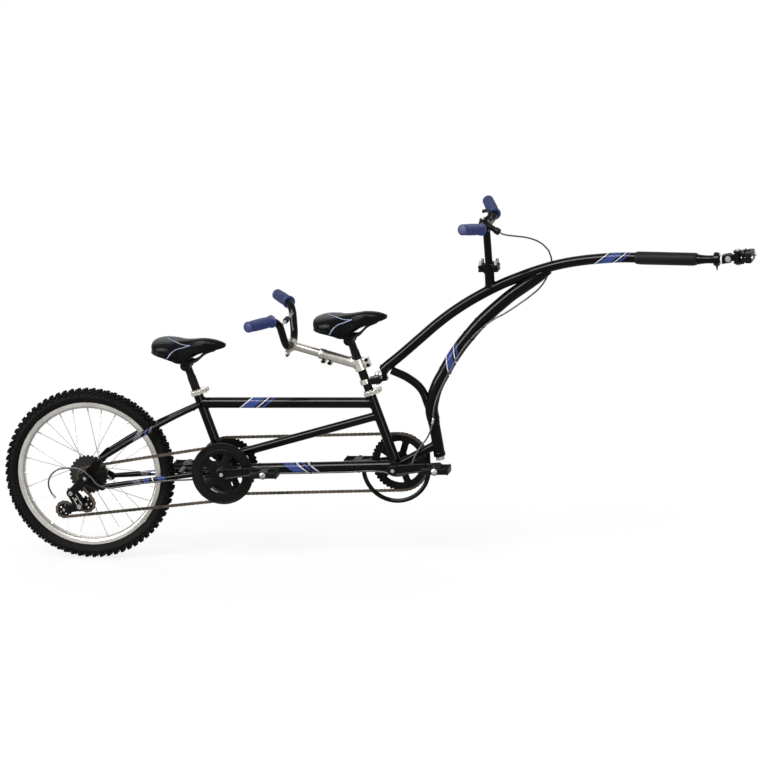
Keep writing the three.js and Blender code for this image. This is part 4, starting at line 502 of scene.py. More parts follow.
def between(first, last, share):
    """The place at a share of the way from first to last."""
    return tuple(Vector(first).lerp(Vector(last), share))


rear_seat_tube = bar([REAR_SHELL, REAR_SEAT_TOP], SEAT_TUBE)
front_seat_tube = bar([FRONT_SHELL, FRONT_SEAT_TOP], SEAT_TUBE)
shells = []
for centre in (REAR_SHELL, FRONT_SHELL):
    face = SHELL_RADIUS - 1.2
    shells.append(turned([(12, -SHELL_HALF), (face, -SHELL_HALF), (SHELL_RADIUS, -SHELL_HALF + 1.2),
                          (SHELL_RADIUS, SHELL_HALF - 1.2), (face, SHELL_HALF), (12, SHELL_HALF)],
                         at=centre, along=ACROSS, steps=40))
diagonal = bar([DIAGONAL_BACK, DIAGONAL_FRONT], DIAGONAL_TUBE)
brace = bar([FRONT_SHELL, BRACE_FRONT], BRACE_TUBE)
sleeve_up = (-0.1288, 0, 0.99167)
sleeve_outline = [(12.3, 0), (15, 0), (17.6, 1.5), (17.6, 11), (16.5, 12.5), (16.5, 97), (17.6, 98.5),
                  (17.6, 108.5), (15, 110), (12.3, 110)]
sleeve = turned(sleeve_outline, at=SLEEVE_FOOT, along=sleeve_up, steps=40)
fitted("frame_tubes", [rear_seat_tube, front_seat_tube, *shells, diagonal, brace, sleeve],
       "frame", "frame_paint", PLAIN_PAINT, "main_frame")
fitted("frame_top_tube", [bar([TOP_TUBE_BACK, TOP_TUBE_FRONT], TOP_TUBE)],
       "frame", "frame_paint", top_tube_paint, "main_frame")
fitted("frame_bottom_tube", [bar([REAR_SHELL, FRONT_SHELL], TOP_TUBE)],
       "frame", "frame_paint", bottom_tube_paint, "main_frame")
SEATS_BACK = between(REAR_SHELL, REAR_SEAT_TOP, 0.5)
SEATS_FRONT = between(FRONT_SHELL, FRONT_SEAT_TOP, 0.5)
welds = [
    bead((500, 0, 210.06), TOP_TUBE_BACK, TOP_TUBE, SEATS_BACK, SEAT_UP, SEAT_TUBE + 0.6),
    bead((700, 0, 210.06), TOP_TUBE_FRONT, TOP_TUBE, SEATS_FRONT, SEAT_UP, SEAT_TUBE + 0.6),
    bead(DIAGONAL_FRONT, DIAGONAL_BACK, DIAGONAL_TUBE, SEATS_BACK, SEAT_UP, SEAT_TUBE),
    bead(DIAGONAL_BACK, DIAGONAL_FRONT, DIAGONAL_TUBE, SEATS_FRONT, SEAT_UP, SEAT_TUBE),
    bead(FRONT_SHELL, REAR_SHELL, TOP_TUBE, REAR_SHELL, (0, 1, 0), SHELL_RADIUS),
    bead(REAR_SHELL, FRONT_SHELL, TOP_TUBE, FRONT_SHELL, (0, 1, 0), SHELL_RADIUS),
    bead(REAR_SEAT_TOP, REAR_SHELL, SEAT_TUBE, REAR_SHELL, (0, 1, 0), SHELL_RADIUS),
    bead(FRONT_SEAT_TOP, FRONT_SHELL, SEAT_TUBE, FRONT_SHELL, (0, 1, 0), SHELL_RADIUS),
    bead(BRACE_FRONT, FRONT_SHELL, BRACE_TUBE, FRONT_SHELL, (0, 1, 0), SHELL_RADIUS),
    bead(FRONT_SHELL, BRACE_FRONT, BRACE_TUBE, SLEEVE_FOOT, sleeve_up, SLEEVE_RADIUS),
]
fitted("frame_welds", welds, "frame", "frame_paint", PLAIN_PAINT)

# Rear stays. A pair of chain stays that sweep out from the rear shell and a pair of seat stays from high on
# the seat tube, thin steel tube bent and flattened at the ends, with plate dropouts that hold the axle, a
# bridge between the chain stays and a yoke between the seat stays. Painted with the frame.
CHAIN_STAY = [(46, 70, -26), (162.6, 53, -15), (294, 36, 0), (390, 24, 10)]
SEAT_STAY = [(40, 70, 50), (152.4, 56, 118), (276, 20.8, 178), (342.7, 18, 207.8)]
CHAIN_STAY_RADIUS, SEAT_STAY_RADIUS = 8, 7.5
DROPOUT_INNER, DROPOUT_OUTER = 63, 69


def mirrored(points, side):
    return [(ahead, side * left, up) for ahead, left, up in points]


def plate(outline, inner, outer, bevel=0.8, holes=()):
    """A flat plate upright along the bike: an outline of (ahead, up) drawn out from inner to outer, left of the
    middle, with its edges eased and its holes, each (ahead, up, radius), cut through."""
    deselect()
    bpy.ops.mesh.primitive_circle_add(vertices=len(outline), fill_type="NGON", location=(0, 0, 0))
    made = bpy.context.object
    for corner, (ahead, up) in zip(made.data.vertices, outline):
        corner.co = spot(ahead, inner, up)
    bpy.ops.object.mode_set(mode="EDIT")
    bpy.ops.mesh.select_all(action="SELECT")
    bpy.ops.mesh.extrude_region_move(TRANSFORM_OT_translate={"value": (0, (outer - inner) / 1000, 0)})
    bpy.ops.mesh.select_all(action="SELECT")
    bpy.ops.mesh.normals_make_consistent(inside=False)
    bpy.ops.object.mode_set(mode="OBJECT")
    for ahead, up, radius in holes:
        pierced(made, (ahead, (inner + outer) / 2, up), (0, 1, 0), radius, abs(outer - inner) + 4)
    eased(made, bevel)
    return made


def pierced(piece, at, along, radius, depth, sides=24):
    """Bore a round hole through a piece."""
    deselect()
    bpy.ops.mesh.primitive_cylinder_add(vertices=sides, radius=radius / 1000, depth=depth / 1000,
                                        location=spot(*at))
    drill = bpy.context.object
    drill.rotation_euler = Vector(along).to_track_quat("Z", "Y").to_euler()
    cut_by(piece, drill)


def cut_by(piece, cutter):
    only(piece)
    cut = piece.modifiers.new("cut", "BOOLEAN")
    cut.operation = "DIFFERENCE"
    cut.solver = "EXACT"
    cut.object = cutter
    bpy.context.view_layer.update()
    bpy.ops.object.modifier_apply(modifier=cut.name)
    bpy.data.objects.remove(cutter)


def eased(piece, width, angle=35, segments=2):
    """Round the sharp edges of a piece."""
    only(piece)
    if width:
        ease = piece.modifiers.new("ease", "BEVEL")
        ease.width = width / 1000
        ease.segments = segments
        ease.limit_method = "ANGLE"
        ease.angle_limit = math.radians(angle)
        ease.harden_normals = False
        bpy.ops.object.modifier_apply(modifier=ease.name)
    rounded(piece, angle)


def lobes(circles, steps=8):
    """An outline of (ahead, up) drawn tight round a row of circles, each (ahead, up, radius), as a band would."""
    points = []
    for ahead, up, radius in circles:
        for step in range(steps * 4):
            turn = math.tau * step / (steps * 4)
            points.append((ahead + radius * math.cos(turn), up + radius * math.sin(turn)))
    points = sorted(set((round(x, 4), round(z, 4)) for x, z in points))

    def half(run):
        kept = []
        for point in run:
            while len(kept) > 1 and ((kept[-1][0] - kept[-2][0]) * (point[1] - kept[-2][1])
                                     - (kept[-1][1] - kept[-2][1]) * (point[0] - kept[-2][0])) <= 0:
                kept.pop()
            kept.append(point)
        return kept[:-1]

    return half(points) + half(points[::-1])


stay_paint = frame_paint("seat_stay_paint", stripes(
    (146, 0, 110), (0.9, 0, 0.44), (0.9, 0, -0.25),
    (BAND_GREY_LABEL_AND_HIGHLIGHT, 0, 26), (BAND_BLUE, 36, 6), (BAND_GREY_LABEL_AND_HIGHLIGHT, 50, 9)))
# On the chain stays the grey band is a painted highlight that stands for the sheen of light along the stays; the
# blue and white bands are decals.
chain_stay_paint_with_highlight = frame_paint("chain_stay_paint_with_highlight", stripes(
    (141, 0, -17), (1, 0, 0.12), (1, 0, 0.55),
    (BAND_GREY_LABEL_AND_HIGHLIGHT, 0, 22), (BAND_BLUE, 30, 16), (BAND_WHITE, 56, 4), (BAND_BLUE, 72, 22)))
chain_stays, seat_stays, ends = [], [], []
for side in (-1, 1):
    chain_stays.append(bar(mirrored(CHAIN_STAY, side), CHAIN_STAY_RADIUS, bend=60, widths=[6.5, 8, 8, 8, 8, 8]))
    seat_stays.append(bar(mirrored(SEAT_STAY, side), SEAT_STAY_RADIUS, bend=60,
                          widths=[6.2, 7.5, 7.5, 7.5, 7.5, 7]))
    ends.append(plate(lobes([(48, -26, 12), (-4, 0, 15), (-2, -3, 15)]), side * DROPOUT_INNER,
                      side * DROPOUT_OUTER, holes=[(0, 0, 5.2), (26, -15, 4.5)]))
    ends.append(plate(lobes([(42, 50, 10), (0, 2, 14)]), side * DROPOUT_INNER, side * DROPOUT_OUTER,
                      holes=[(0, 0, 5.2), (21, 27, 3.2)]))
bridge = bar([(274, -33, 3), (274, 33, 3)], 8)
yoke = bar([(322.4, -21, 195.8), (322.4, 21, 195.8)], 6)
fitted("chain_stays", chain_stays, "frame", "frame_paint", chain_stay_paint_with_highlight, "rear_stays")
fitted("seat_stays", seat_stays, "frame", "frame_paint", stay_paint, "rear_stays")
fitted("stay_ends", [*ends, bridge, yoke], "frame", "frame_paint", PLAIN_PAINT, "rear_stays")

# Chain guard hoop. A half circle of thin round steel rod under the front cranks, painted black, that keeps the
# ground off the timing ring, and then runs up to the brace.
HOOP_CENTRE, HOOP_RADIUS, HOOP_ROD = (914, 0, 13), 97, 6.5
half_turn = [(HOOP_CENTRE[0] + HOOP_RADIUS * math.cos(math.radians(a)), 0,
              HOOP_CENTRE[2] + HOOP_RADIUS * math.sin(math.radians(a))) for a in range(180, 361, 12)]
hoop = bar(half_turn + [(1011, 0, 45), (1011, 0, 70)], HOOP_ROD, smooth=True, sides=20)
fitted("guard_rod", [hoop], "frame", "frame_paint", PLAIN_PAINT, "guard_hoop")

# Seat clamps. A split band of cast alloy round the top of each seat tube, pinched by a cross bolt whose cam
# lever lies back along the tube. Bright polished alloy, with a steel bolt and a nut on the left.
SEAT_LEAN = 18
CLAMP_RADIUS, CLAMP_HALF, CLAMP_BOLT_AHEAD = 18.3, 8, 27.8
CAM_SIDE, CAM_RADIUS, LEVER_LENGTH = 21.3, 6.5, 42
ALLOY_SILVER, ALLOY_DULL = (0.44, 0.42, 0.385), (0.25, 0.235, 0.21)
POLISHED_ALLOY = surface("polished_alloy", ALLOY_SILVER, ALLOY_DULL, 0.28, spread=0.16, metal=0.9, grain=700,
                         bump=0.05, dust=0.04, scratch=0.3)[0]
BOLT_STEEL = surface("zinc_plated_steel", (0.33, 0.325, 0.31), (0.18, 0.175, 0.165), 0.35, metal=0.9,
                     grain=1100, bump=0.06, dust=0.06)[0]


def beside(place, ahead, up, left=0.0, lean=SEAT_LEAN):
    """A place measured ahead of a leaning tube's axis, up along it and to its left."""
    slope = math.radians(lean)
    return (place[0] + ahead * math.cos(slope) - up * math.sin(slope), place[1] + left,
            place[2] + ahead * math.sin(slope) + up * math.cos(slope))


def block(size, at, lean=0.0, bevel=1.0):
    """A squared piece (ahead, left, up) about its middle, leaning back with the tube that carries it."""
    deselect()
    bpy.ops.mesh.primitive_cube_add(size=1, location=spot(*at), rotation=(0, -math.radians(lean), 0))
    made = bpy.context.object
    made.scale = [side / 1000 for side in size]
    bpy.ops.object.transform_apply(location=True, rotation=True, scale=True)
    eased(made, bevel)
    return made


def hexagon(at, along, radius, height):
    """A bolt head or a nut, with its corners turned off."""
    return turned([(0, 0), (radius, 0), (radius, height - 1), (radius * 0.86, height), (0, height)],
                  at=at, along=along, steps=6)


def socket_head(at, along, radius, height):
    """A round bolt head with a key socket."""
    return turned([(0, 0), (radius - 0.4, 0), (radius, 0.4), (radius, height - 0.6), (radius - 0.6, height),
                   (radius * 0.5, height), (radius * 0.45, height * 0.45), (0, height * 0.45)],
                  at=at, along=along, steps=20)


def cam_lever(name, centre, hinge, blade_way, body):
    """A cam lever: two round cheeks, a cross pin, and a blade that narrows and curls at its tip."""
    hinge, blade_way = Vector(hinge).normalized(), Vector(blade_way).normalized()
    out = blade_way.cross(hinge)
    deselect()
    bpy.ops.mesh.primitive_cube_add(size=1, location=(0, 0, 0))
    blade = bpy.context.object
    blade.scale = (LEVER_LENGTH / 1000, 0.0134, 0.004)
    blade.location = (LEVER_LENGTH / 2000, 0, 0)
    bpy.ops.object.transform_apply(location=True, rotation=True, scale=True)
    bpy.ops.object.mode_set(mode="EDIT")
    bpy.ops.mesh.select_all(action="SELECT")
    bpy.ops.mesh.subdivide(number_cuts=5)
    bpy.ops.object.mode_set(mode="OBJECT")
    for corner in blade.data.vertices:
        reach = corner.co.x / (LEVER_LENGTH / 1000)
        corner.co.y *= 1.0 - 0.28 * math.sin(math.pi * min(1.0, reach * 1.1))
        corner.co.z = corner.co.z * (1.0 - 0.35 * reach) + 0.0011 * math.sin(math.pi * reach)
    eased(blade, 0.8, angle=50)
    basis = Matrix((blade_way, hinge, out)).transposed().to_4x4()
    blade.matrix_world = Matrix.Translation(spot(*centre)) @ basis
    bpy.ops.object.transform_apply(location=True, rotation=True, scale=True)
    cheeks = []
    for side in (-1, 1):
        inner, outer = side * 3.3, side * 6.7
        cheeks.append(turned([(0, inner), (CAM_RADIUS - 0.6, inner), (CAM_RADIUS, inner + side * 0.6),
                              (CAM_RADIUS, outer - side * 0.6), (CAM_RADIUS - 0.6, outer), (2.2, outer),
                              (2.0, outer - side * 0.5), (0, outer - side * 0.5)],
                             at=centre, along=hinge, steps=24))
    pin = rod(1.8, -6.9, 6.9, at=centre, along=hinge, steps=12)
    return fitted(name, [blade, *cheeks, pin], body, "alloy", POLISHED_ALLOY, name)


for label, top in (("rear", REAR_SEAT_TOP), ("front", FRONT_SEAT_TOP)):
    band = turned([(14.5, -CLAMP_HALF), (CLAMP_RADIUS - 0.8, -CLAMP_HALF), (CLAMP_RADIUS, -CLAMP_HALF + 0.8),
                   (CLAMP_RADIUS, CLAMP_HALF - 3), (CLAMP_RADIUS - 1.2, CLAMP_HALF - 2),
                   (CLAMP_RADIUS - 1.2, CLAMP_HALF - 0.6), (CLAMP_RADIUS - 2, CLAMP_HALF), (13, CLAMP_HALF),
                   (13, 0.2), (14.5, 0)], at=top, along=SEAT_UP, steps=40)
    ears = [block((21.5, 7.2, 13.4), beside(top, 25.5, 0, left=side * 5.3), SEAT_LEAN, bevel=2.4)
            for side in (-1, 1)]
    bolt_at = beside(top, CLAMP_BOLT_AHEAD, 0)
    shank = rod(2.8, -CAM_SIDE, 13, at=bolt_at, along=ACROSS, steps=16)
    eye = rod(4.5, -3, 3, at=(bolt_at[0], -CAM_SIDE, bolt_at[2]), along=SEAT_UP, steps=18)
    nut = hexagon((bolt_at[0], 9, bolt_at[2]), (0, 1, 0), 5.6, 5)
    fitted(f"{label}_seat_clamp", [band, *ears], "frame", "alloy", POLISHED_ALLOY, f"{label}_seat_collar")
    fitted(f"{label}_seat_clamp_bolt", [shank, eye, nut], "frame", "steel", BOLT_STEEL, f"{label}_seat_collar")
    cam_lever(f"{label}_seat_lever", (bolt_at[0], -CAM_SIDE, bolt_at[2]), SEAT_UP, (-0.951, 0, -0.309),
              f"{label}_seat_cam")

# Tyre. A black rubber knobby tyre for a 20-inch wheel: a round carcass with a ribbed sidewall, and six rows of
# moulded blocks, square at the crown and slanted at the shoulders. Matt rubber, dusty where it has rolled.
TYRE_BEAD, TYRE_CROWN = 214.2, 244.4
TREAD_PITCHES = 72
WHEEL_MIDDLE = (0, 0, 0)
tyre_half = [(TYRE_BEAD, 13.6), (216, 15.2), (218.6, 17.2), (219.2, 18.0), (220.2, 18.4), (224, 20.6),
             (229, 22.4), (230, 23.0), (231, 22.9), (234.5, 22.4), (238, 20.4), (241, 16.6), (243.2, 11.6),
             (244.2, 6)]
tyre_outline = [(r, -y) for r, y in tyre_half] + [(TYRE_CROWN, 0)] + [(r, y) for r, y in reversed(tyre_half)]
carcass = turned(tyre_outline, at=WHEEL_MIDDLE, along=ACROSS, steps=96, angle=50)


def tread_block(radius, left, size, tilt, around=0.0):
    """One moulded block of the tread, its outer face smaller than its root."""
    deselect()
    bpy.ops.mesh.primitive_cube_add(size=1, location=(0, 0, 0))
    made = bpy.context.object
    for corner in made.data.vertices:
        if corner.co.x > 0:
            corner.co.y *= 0.80
            corner.co.z *= 0.80
    made.scale = [side / 1000 for side in size]
    bpy.ops.object.transform_apply(scale=True)
    eased(made, 0.7, segments=1)
    made.matrix_world = (Matrix.Translation(spot(*WHEEL_MIDDLE)) @ Matrix.Rotation(around, 4, "Y")
                         @ Matrix.Translation((radius / 1000, left / 1000, 0)) @ Matrix.Rotation(tilt, 4, "Z"))
    bpy.ops.object.transform_apply(location=True, rotation=True, scale=True)
    return made


half_pitch = math.pi / TREAD_PITCHES
knobs = []
for side in (-1, 1):
    knobs.append(tread_block(248.3, side * 5.4, (10.6, 8.6, 11.5), side * 0.12))
    knobs.append(tread_block(243.8, side * 14.6, (9.0, 7.4, 11.0), side * 0.55, around=half_pitch))
    knobs.append(tread_block(239.6, side * 20.6, (9.0, 6.0, 11.0), side * 1.05))
tread = together("tread", *knobs)


def spun(piece, copies, axis=ACROSS, middle=WHEEL_MIDDLE):
    """Repeat what is modelled once, evenly round a circle."""
    only(piece)
    bpy.ops.object.mode_set(mode="EDIT")
    bpy.ops.mesh.select_all(action="SELECT")
    bpy.ops.mesh.spin(steps=copies - 1, dupli=True, angle=math.tau * (copies - 1) / copies,
                      center=spot(*middle), axis=axis)
    bpy.ops.object.mode_set(mode="OBJECT")
    return piece


spun(tread, TREAD_PITCHES)
tyre_rubber = surface(
    "tyre_rubber", (0.003, 0.003, 0.003), (0.006, 0.0058, 0.0056), 0.72, spread=0.2, grain=600, bump=0.18,
    dust=0.012, scratch=0.02, glint=0.045)[0]
fitted("tyre_with_tread", [carcass, tread], "wheel", "tyre_rubber", tyre_rubber, "tyre")

# Rim, hub and spokes. An extruded alloy rim with a machined brake track, a steel hub shell with two flanges,
# and 28 steel spokes laced in crossing pairs, each screwed into a nipple at the rim.
RIM_OUTER, RIM_INNER, RIM_HALF = 213.7, 194.7, 15.5
SPOKE_COUNT, SPOKE_RADIUS, SPOKE_ROOT, SPOKE_END = 28, 1.05, 26.3, 194.6
HUB_RIGHT_FLANGE, HUB_LEFT_FLANGE = -16, 37


def ringed_group():
    """Fine rings left by a lathe round an axle that lies across the bike."""
    group, given, put_out = node_group(
        "lathe_rings", {"Place": "Vector", "Middle": "Vector", "Rings Per Metre": "Float"}, {"Rings": "Float"})
    apart, flat, far = (group.nodes.new("ShaderNodeVectorMath") for _ in range(3))
    apart.operation, flat.operation, far.operation = "SUBTRACT", "MULTIPLY", "LENGTH"
    flat.inputs[1].default_value = (1, 0, 1)
    group.links.new(given.outputs["Place"], apart.inputs[0])
    group.links.new(given.outputs["Middle"], apart.inputs[1])
    group.links.new(apart.outputs["Vector"], flat.inputs[0])
    group.links.new(flat.outputs["Vector"], far.inputs[0])
    turns = worked(group, "MULTIPLY", far.outputs["Value"], given.outputs["Rings Per Metre"])
    group.links.new(worked(group, "SINE", turns), put_out.inputs["Rings"])
    return group


LATHE_RINGS = ringed_group()


def machined(name, colour, worn, rough, middle, rings=9000, depth=0.05, **more):
    """A metal finish with fine lathe rings round the given middle."""
    made, tree, shader, _ = surface(name, colour, worn, rough, **more)
    where, lines, relief = (tree.nodes.new(kind) for kind in
                            ("ShaderNodeTexCoord", "ShaderNodeGroup", "ShaderNodeBump"))
    lines.node_tree = LATHE_RINGS
    lines.inputs["Middle"].default_value = spot(*middle)
    lines.inputs["Rings Per Metre"].default_value = rings
    tree.links.new(where.outputs["Object"], lines.inputs["Place"])
    relief.inputs["Distance"].default_value = 0.0005
    relief.inputs["Strength"].default_value = depth
    tree.links.new(lines.outputs["Rings"], relief.inputs["Height"])
    earlier = shader.inputs["Normal"].links[0].from_socket
    tree.links.new(earlier, relief.inputs["Normal"])
    tree.links.new(relief.outputs["Normal"], shader.inputs["Normal"])
    return made


rim_outline = [(RIM_OUTER - 0.2, -13.4), (RIM_OUTER - 0.2, -14.8), (RIM_OUTER - 0.8, -RIM_HALF),
               (203.0, -RIM_HALF), (202.2, -14.9), (201.4, -14.9), (199.2, -14.0), (196.0, -9.5),
               (RIM_INNER, -6), (RIM_INNER, 6), (196.0, 9.5), (199.2, 14.0), (201.4, 14.9), (202.2, 14.9),
               (203.0, RIM_HALF), (RIM_OUTER - 0.8, RIM_HALF), (RIM_OUTER - 0.2, 14.8), (RIM_OUTER - 0.2, 13.4),
               (206, 11.5), (205, 0), (206, -11.5)]
rim_metal = machined("rim_alloy", (0.40, 0.385, 0.36), (0.29, 0.28, 0.26), 0.36, WHEEL_MIDDLE, metal=0.75,
                     grain=500, bump=0.04, dust=0.05, scratch=0.2)
fitted("wheel_rim", [turned(rim_outline, at=WHEEL_MIDDLE, along=ACROSS, steps=96)],
       "wheel", "alloy", rim_metal, "rim")
hub_outline = [(5.6, -59), (13.4, -59), (14.4, -58), (14.4, -22), (17, -20), (26.6, -19), (28, -18), (28, -14),
               (26.6, -13), (20, -12.4), (15.4, -8), (13.6, -2), (13.0, 8), (13.6, 24), (15.6, 31), (20, 33.6),
               (26.6, 34), (28, 35), (28, 39), (26.6, 40), (18, 40.6), (15, 42), (14.4, 46), (14.4, 53.4),
               (13.4, 54.6), (5.6, 54.6)]
hub_shell = turned(hub_outline, at=WHEEL_MIDDLE, along=ACROSS, steps=48)
spoke_group = []
for number in range(4):
    side = 1 if number % 2 else -1
    pair = number // 2
    lean = -1.4 if pair % 2 else 1.4
    flange = HUB_LEFT_FLANGE if side > 0 else HUB_RIGHT_FLANGE
    rim_turn = math.tau * number / SPOKE_COUNT
    hub_turn = math.tau * (pair + (-2 if pair % 2 else 2)) / (SPOKE_COUNT / 2)
    root = (SPOKE_ROOT * math.cos(hub_turn), flange + lean, SPOKE_ROOT * math.sin(hub_turn))
    tip = (SPOKE_END * math.cos(rim_turn), side * 3 + lean, SPOKE_END * math.sin(rim_turn))
    run = Vector(tip) - Vector(root)
    spoke_group.append(bar([root, tip], SPOKE_RADIUS, sides=8))
    spoke_group.append(turned([(0, -12), (1.7, -12), (2.0, -11), (2.0, -4), (2.6, -3), (2.6, 0), (0, 0)],
                              at=tip, along=run, steps=8))
    spoke_group.append(turned([(0, -1.2), (2.1, -1.2), (2.1, 0), (1.2, 1.2), (0, 1.2)],
                              at=(root[0], root[1] + (2.6 if lean > 0 else -2.6), root[2]),
                              along=(0, 1 if lean > 0 else -1, 0), steps=8))
laced = spun(together("laced_spokes", *spoke_group), SPOKE_COUNT // 4)
hub_steel = machined("hub_steel", (0.48, 0.48, 0.47), (0.30, 0.30, 0.29), 0.34, WHEEL_MIDDLE, rings=5000,
                     metal=0.85, grain=800, bump=0.05, dust=0.1)
fitted("hub_shell", [hub_shell], "wheel", "alloy", hub_steel, "hub_and_spokes")
spoke_steel = surface("stainless_spokes", (0.42, 0.41, 0.40), (0.28, 0.275, 0.265), 0.3, metal=0.8, grain=900,
                      bump=0.03, dust=0.04)[0]
fitted("spokes_and_nipples", [laced], "wheel", "alloy", spoke_steel, "hub_and_spokes")
axle = turned([(0, -83.3), (4, -83.3), (5, -82.3)]
              + [(5 - 0.35 * (i % 2), -82.3 + 0.7 * i) for i in range(1, 20)] + [(5, -69), (5, 69)]
              + [(5 - 0.35 * (i % 2), 69 + 0.7 * i) for i in range(1, 20)] + [(5, 82.3), (4, 83.3), (0, 83.3)],
              at=WHEEL_MIDDLE, along=ACROSS, steps=16)
axle_parts = [axle]
for side in (-1, 1):
    axle_parts.append(hexagon((0, side * 71, 0), (0, side, 0), 9.0, 7.4))
    axle_parts.append(turned([(5, 0), (10, 0), (10, 1.6), (5, 1.6)], at=(0, side * 69.3, 0), along=(0, side, 0),
                             steps=28))
    axle_parts.append(hexagon((0, side * 56 if side > 0 else -60, 0), (0, side, 0), 8.2, 5))
fitted("axle_and_nuts", axle_parts, "frame", "steel", BOLT_STEEL, "wheel_axle")

# Freewheel. Seven stamped steel cogs from 14 to 28 teeth, stacked on a screwed-on driver with the smallest
# outside, oiled dark brown between the teeth.
COG_TEETH = (14, 16, 18, 21, 23, 25, 28)
COG_SPACING, COG_WALL, CHAIN_LINE = 4.8, 2.0, -50
CHAIN_PITCH = 12.7


def pitch_radius(teeth):
    return CHAIN_PITCH / (2 * math.sin(math.pi / teeth))


def toothed(teeth, middle, tip, root):
    """The outline of a sprocket: a flat-topped tooth and a rounded root for each pitch."""
    outline = []
    for tooth in range(teeth):
        for share, radius in ((-0.15, tip), (0.15, tip), (0.30, (tip + root) / 2), (0.42, root), (0.58, root),
                              (0.70, (tip + root) / 2)):
            turn = math.tau * (tooth + share) / teeth
            outline.append((middle[0] + radius * math.cos(turn), middle[2] + radius * math.sin(turn)))
    return outline


cogs = []
for number, teeth in enumerate(COG_TEETH):
    line = CHAIN_LINE + COG_SPACING * number
    reach = pitch_radius(teeth)
    cogs.append(plate(toothed(teeth, WHEEL_MIDDLE, reach + 1.2, reach - 3.0), line - COG_WALL / 2,
                      line + COG_WALL / 2, bevel=0.0, holes=[(0, 0, 15.4)]))
driver = turned([(15.3, -51.5), (19, -51.5), (21, -50.5), (21, -22), (15.3, -22)], at=WHEEL_MIDDLE,
                along=ACROSS, steps=36)
cog_steel = machined("oiled_cog_steel", (0.022, 0.020, 0.018), (0.010, 0.0095, 0.009), 0.42, WHEEL_MIDDLE,
                     rings=4000, metal=0.7, grain=500, bump=0.1, dust=0.0, scratch=0.35)
fitted("freewheel_stack", [*cogs, driver], "freewheel", "steel", cog_steel, "freewheel_cogs")

# Cranks. Forged arms with a fluted outer face, joined by a spindle that runs in cups screwed into each crank
# shell. Satin black, with black cup rings, a steel cap bolt and a steel pedal axle screwed into each eye.
CRANK_LENGTH, CRANK_RISE = 138, math.radians(5.5)
CRANK_INSIDE, CRANK_WALL, CRANK_HUB, CRANK_EYE = 61, 12, 15, 11
SATIN_BLACK = surface("satin_black_enamel", (0.003, 0.003, 0.0033), (0.007, 0.007, 0.0075), 0.34, spread=0.18,
                      grain=650, bump=0.07, dust=0.012, scratch=0.08, glint=0.05)[0]


def pedal_eye(shell, side):
    """The middle of the pedal's thread: ahead of the shell on the right (-1), behind it on the left (1)."""
    return (shell[0] - side * CRANK_LENGTH * math.cos(CRANK_RISE), 0,
            shell[2] - side * CRANK_LENGTH * math.sin(CRANK_RISE))


def fluted(piece, side, rim, depth):
    """Sink a flute into the flat outer face of a plate."""
    only(piece)
    widest = max(piece.data.polygons, key=lambda face: face.area * (face.normal.y * side > 0.9)).index
    bpy.ops.object.mode_set(mode="EDIT")
    bpy.ops.mesh.select_mode(type="FACE")
    bpy.ops.mesh.select_all(action="DESELECT")
    bpy.ops.object.mode_set(mode="OBJECT")
    piece.data.polygons[widest].select = True
    bpy.ops.object.mode_set(mode="EDIT")
    bpy.ops.mesh.inset(thickness=rim / 1000)
    bpy.ops.transform.translate(value=(0, -side * depth / 1000, 0))
    bpy.ops.mesh.select_mode(type="VERT")
    bpy.ops.object.mode_set(mode="OBJECT")


for label, shell in (("rear", REAR_SHELL), ("front", FRONT_SHELL)):
    for name, side in (("right", -1), ("left", 1)):
        eye = pedal_eye(shell, side)
        inside, outside = side * CRANK_INSIDE, side * (CRANK_INSIDE + CRANK_WALL)
        arm = plate(lobes([(shell[0], shell[2], CRANK_HUB), (eye[0], eye[2], CRANK_EYE)]), inside, outside,
                    bevel=0.0)
        fluted(arm, side, 4.6, 2.2)
        eased(arm, 1.8, angle=40, segments=3)
        hub = turned([(0, 0), (13, 0), (13.6, 0.6), (13.6, 2.2), (12.6, 3.2), (9.6, 3.2), (9.2, 1.6), (0, 1.6)],
                     at=(shell[0], outside - side * 2.2, shell[2]), along=(0, side, 0), steps=32)
        fitted(f"{label}_crank_arm_{name}", [arm, hub], f"{label}_crankset", "satin_black_metal", SATIN_BLACK,
               f"{label}_crank_{name}")
        cap = hexagon((shell[0], outside - side * 1.0, shell[2]), (0, side, 0), 6.4, 3.2)
        thread = turned([(0, 0), (7.2, 0), (7.2, 0.8), (4.0, 0.8), (3.6, 0.2), (0, 0.2)],
                        at=(eye[0], outside - side * 2.0, eye[2]), along=(0, side, 0), steps=24)
        pedal_axle = turned([(0, 60), (6.4, 60), (6.4, 72.6), (8.4, 73.0), (8.4, 76.0), (5.2, 76.6), (4.4, 78),
                             (4.4, 128), (0, 128)], at=(eye[0], 0, eye[2]), along=(0, side, 0), steps=20)
        fitted(f"{label}_crank_fittings_{name}", [cap, thread, pedal_axle], f"{label}_crankset", "steel",
               BOLT_STEEL, f"{label}_crank_{name}")
    spindle = rod(8, -66, 62, at=shell, along=ACROSS, steps=20)
    fitted(f"{label}_spindle", [spindle], f"{label}_crankset", "steel", BOLT_STEEL)
    cups = []
    for side in (-1, 1):
        cups.append(turned([(8.6, 33), (17.4, 33), (17.4, 34.4), (18.8, 34.6), (18.8, 37.0), (17.6, 38.0),
                            (12, 38.4), (8.6, 37.6)], at=(shell[0], 0, shell[2]), along=(0, side, 0), steps=18,
                           angle=20))
    fitted(f"{label}_bearing_cups", cups, "frame", "satin_black_metal", SATIN_BLACK)

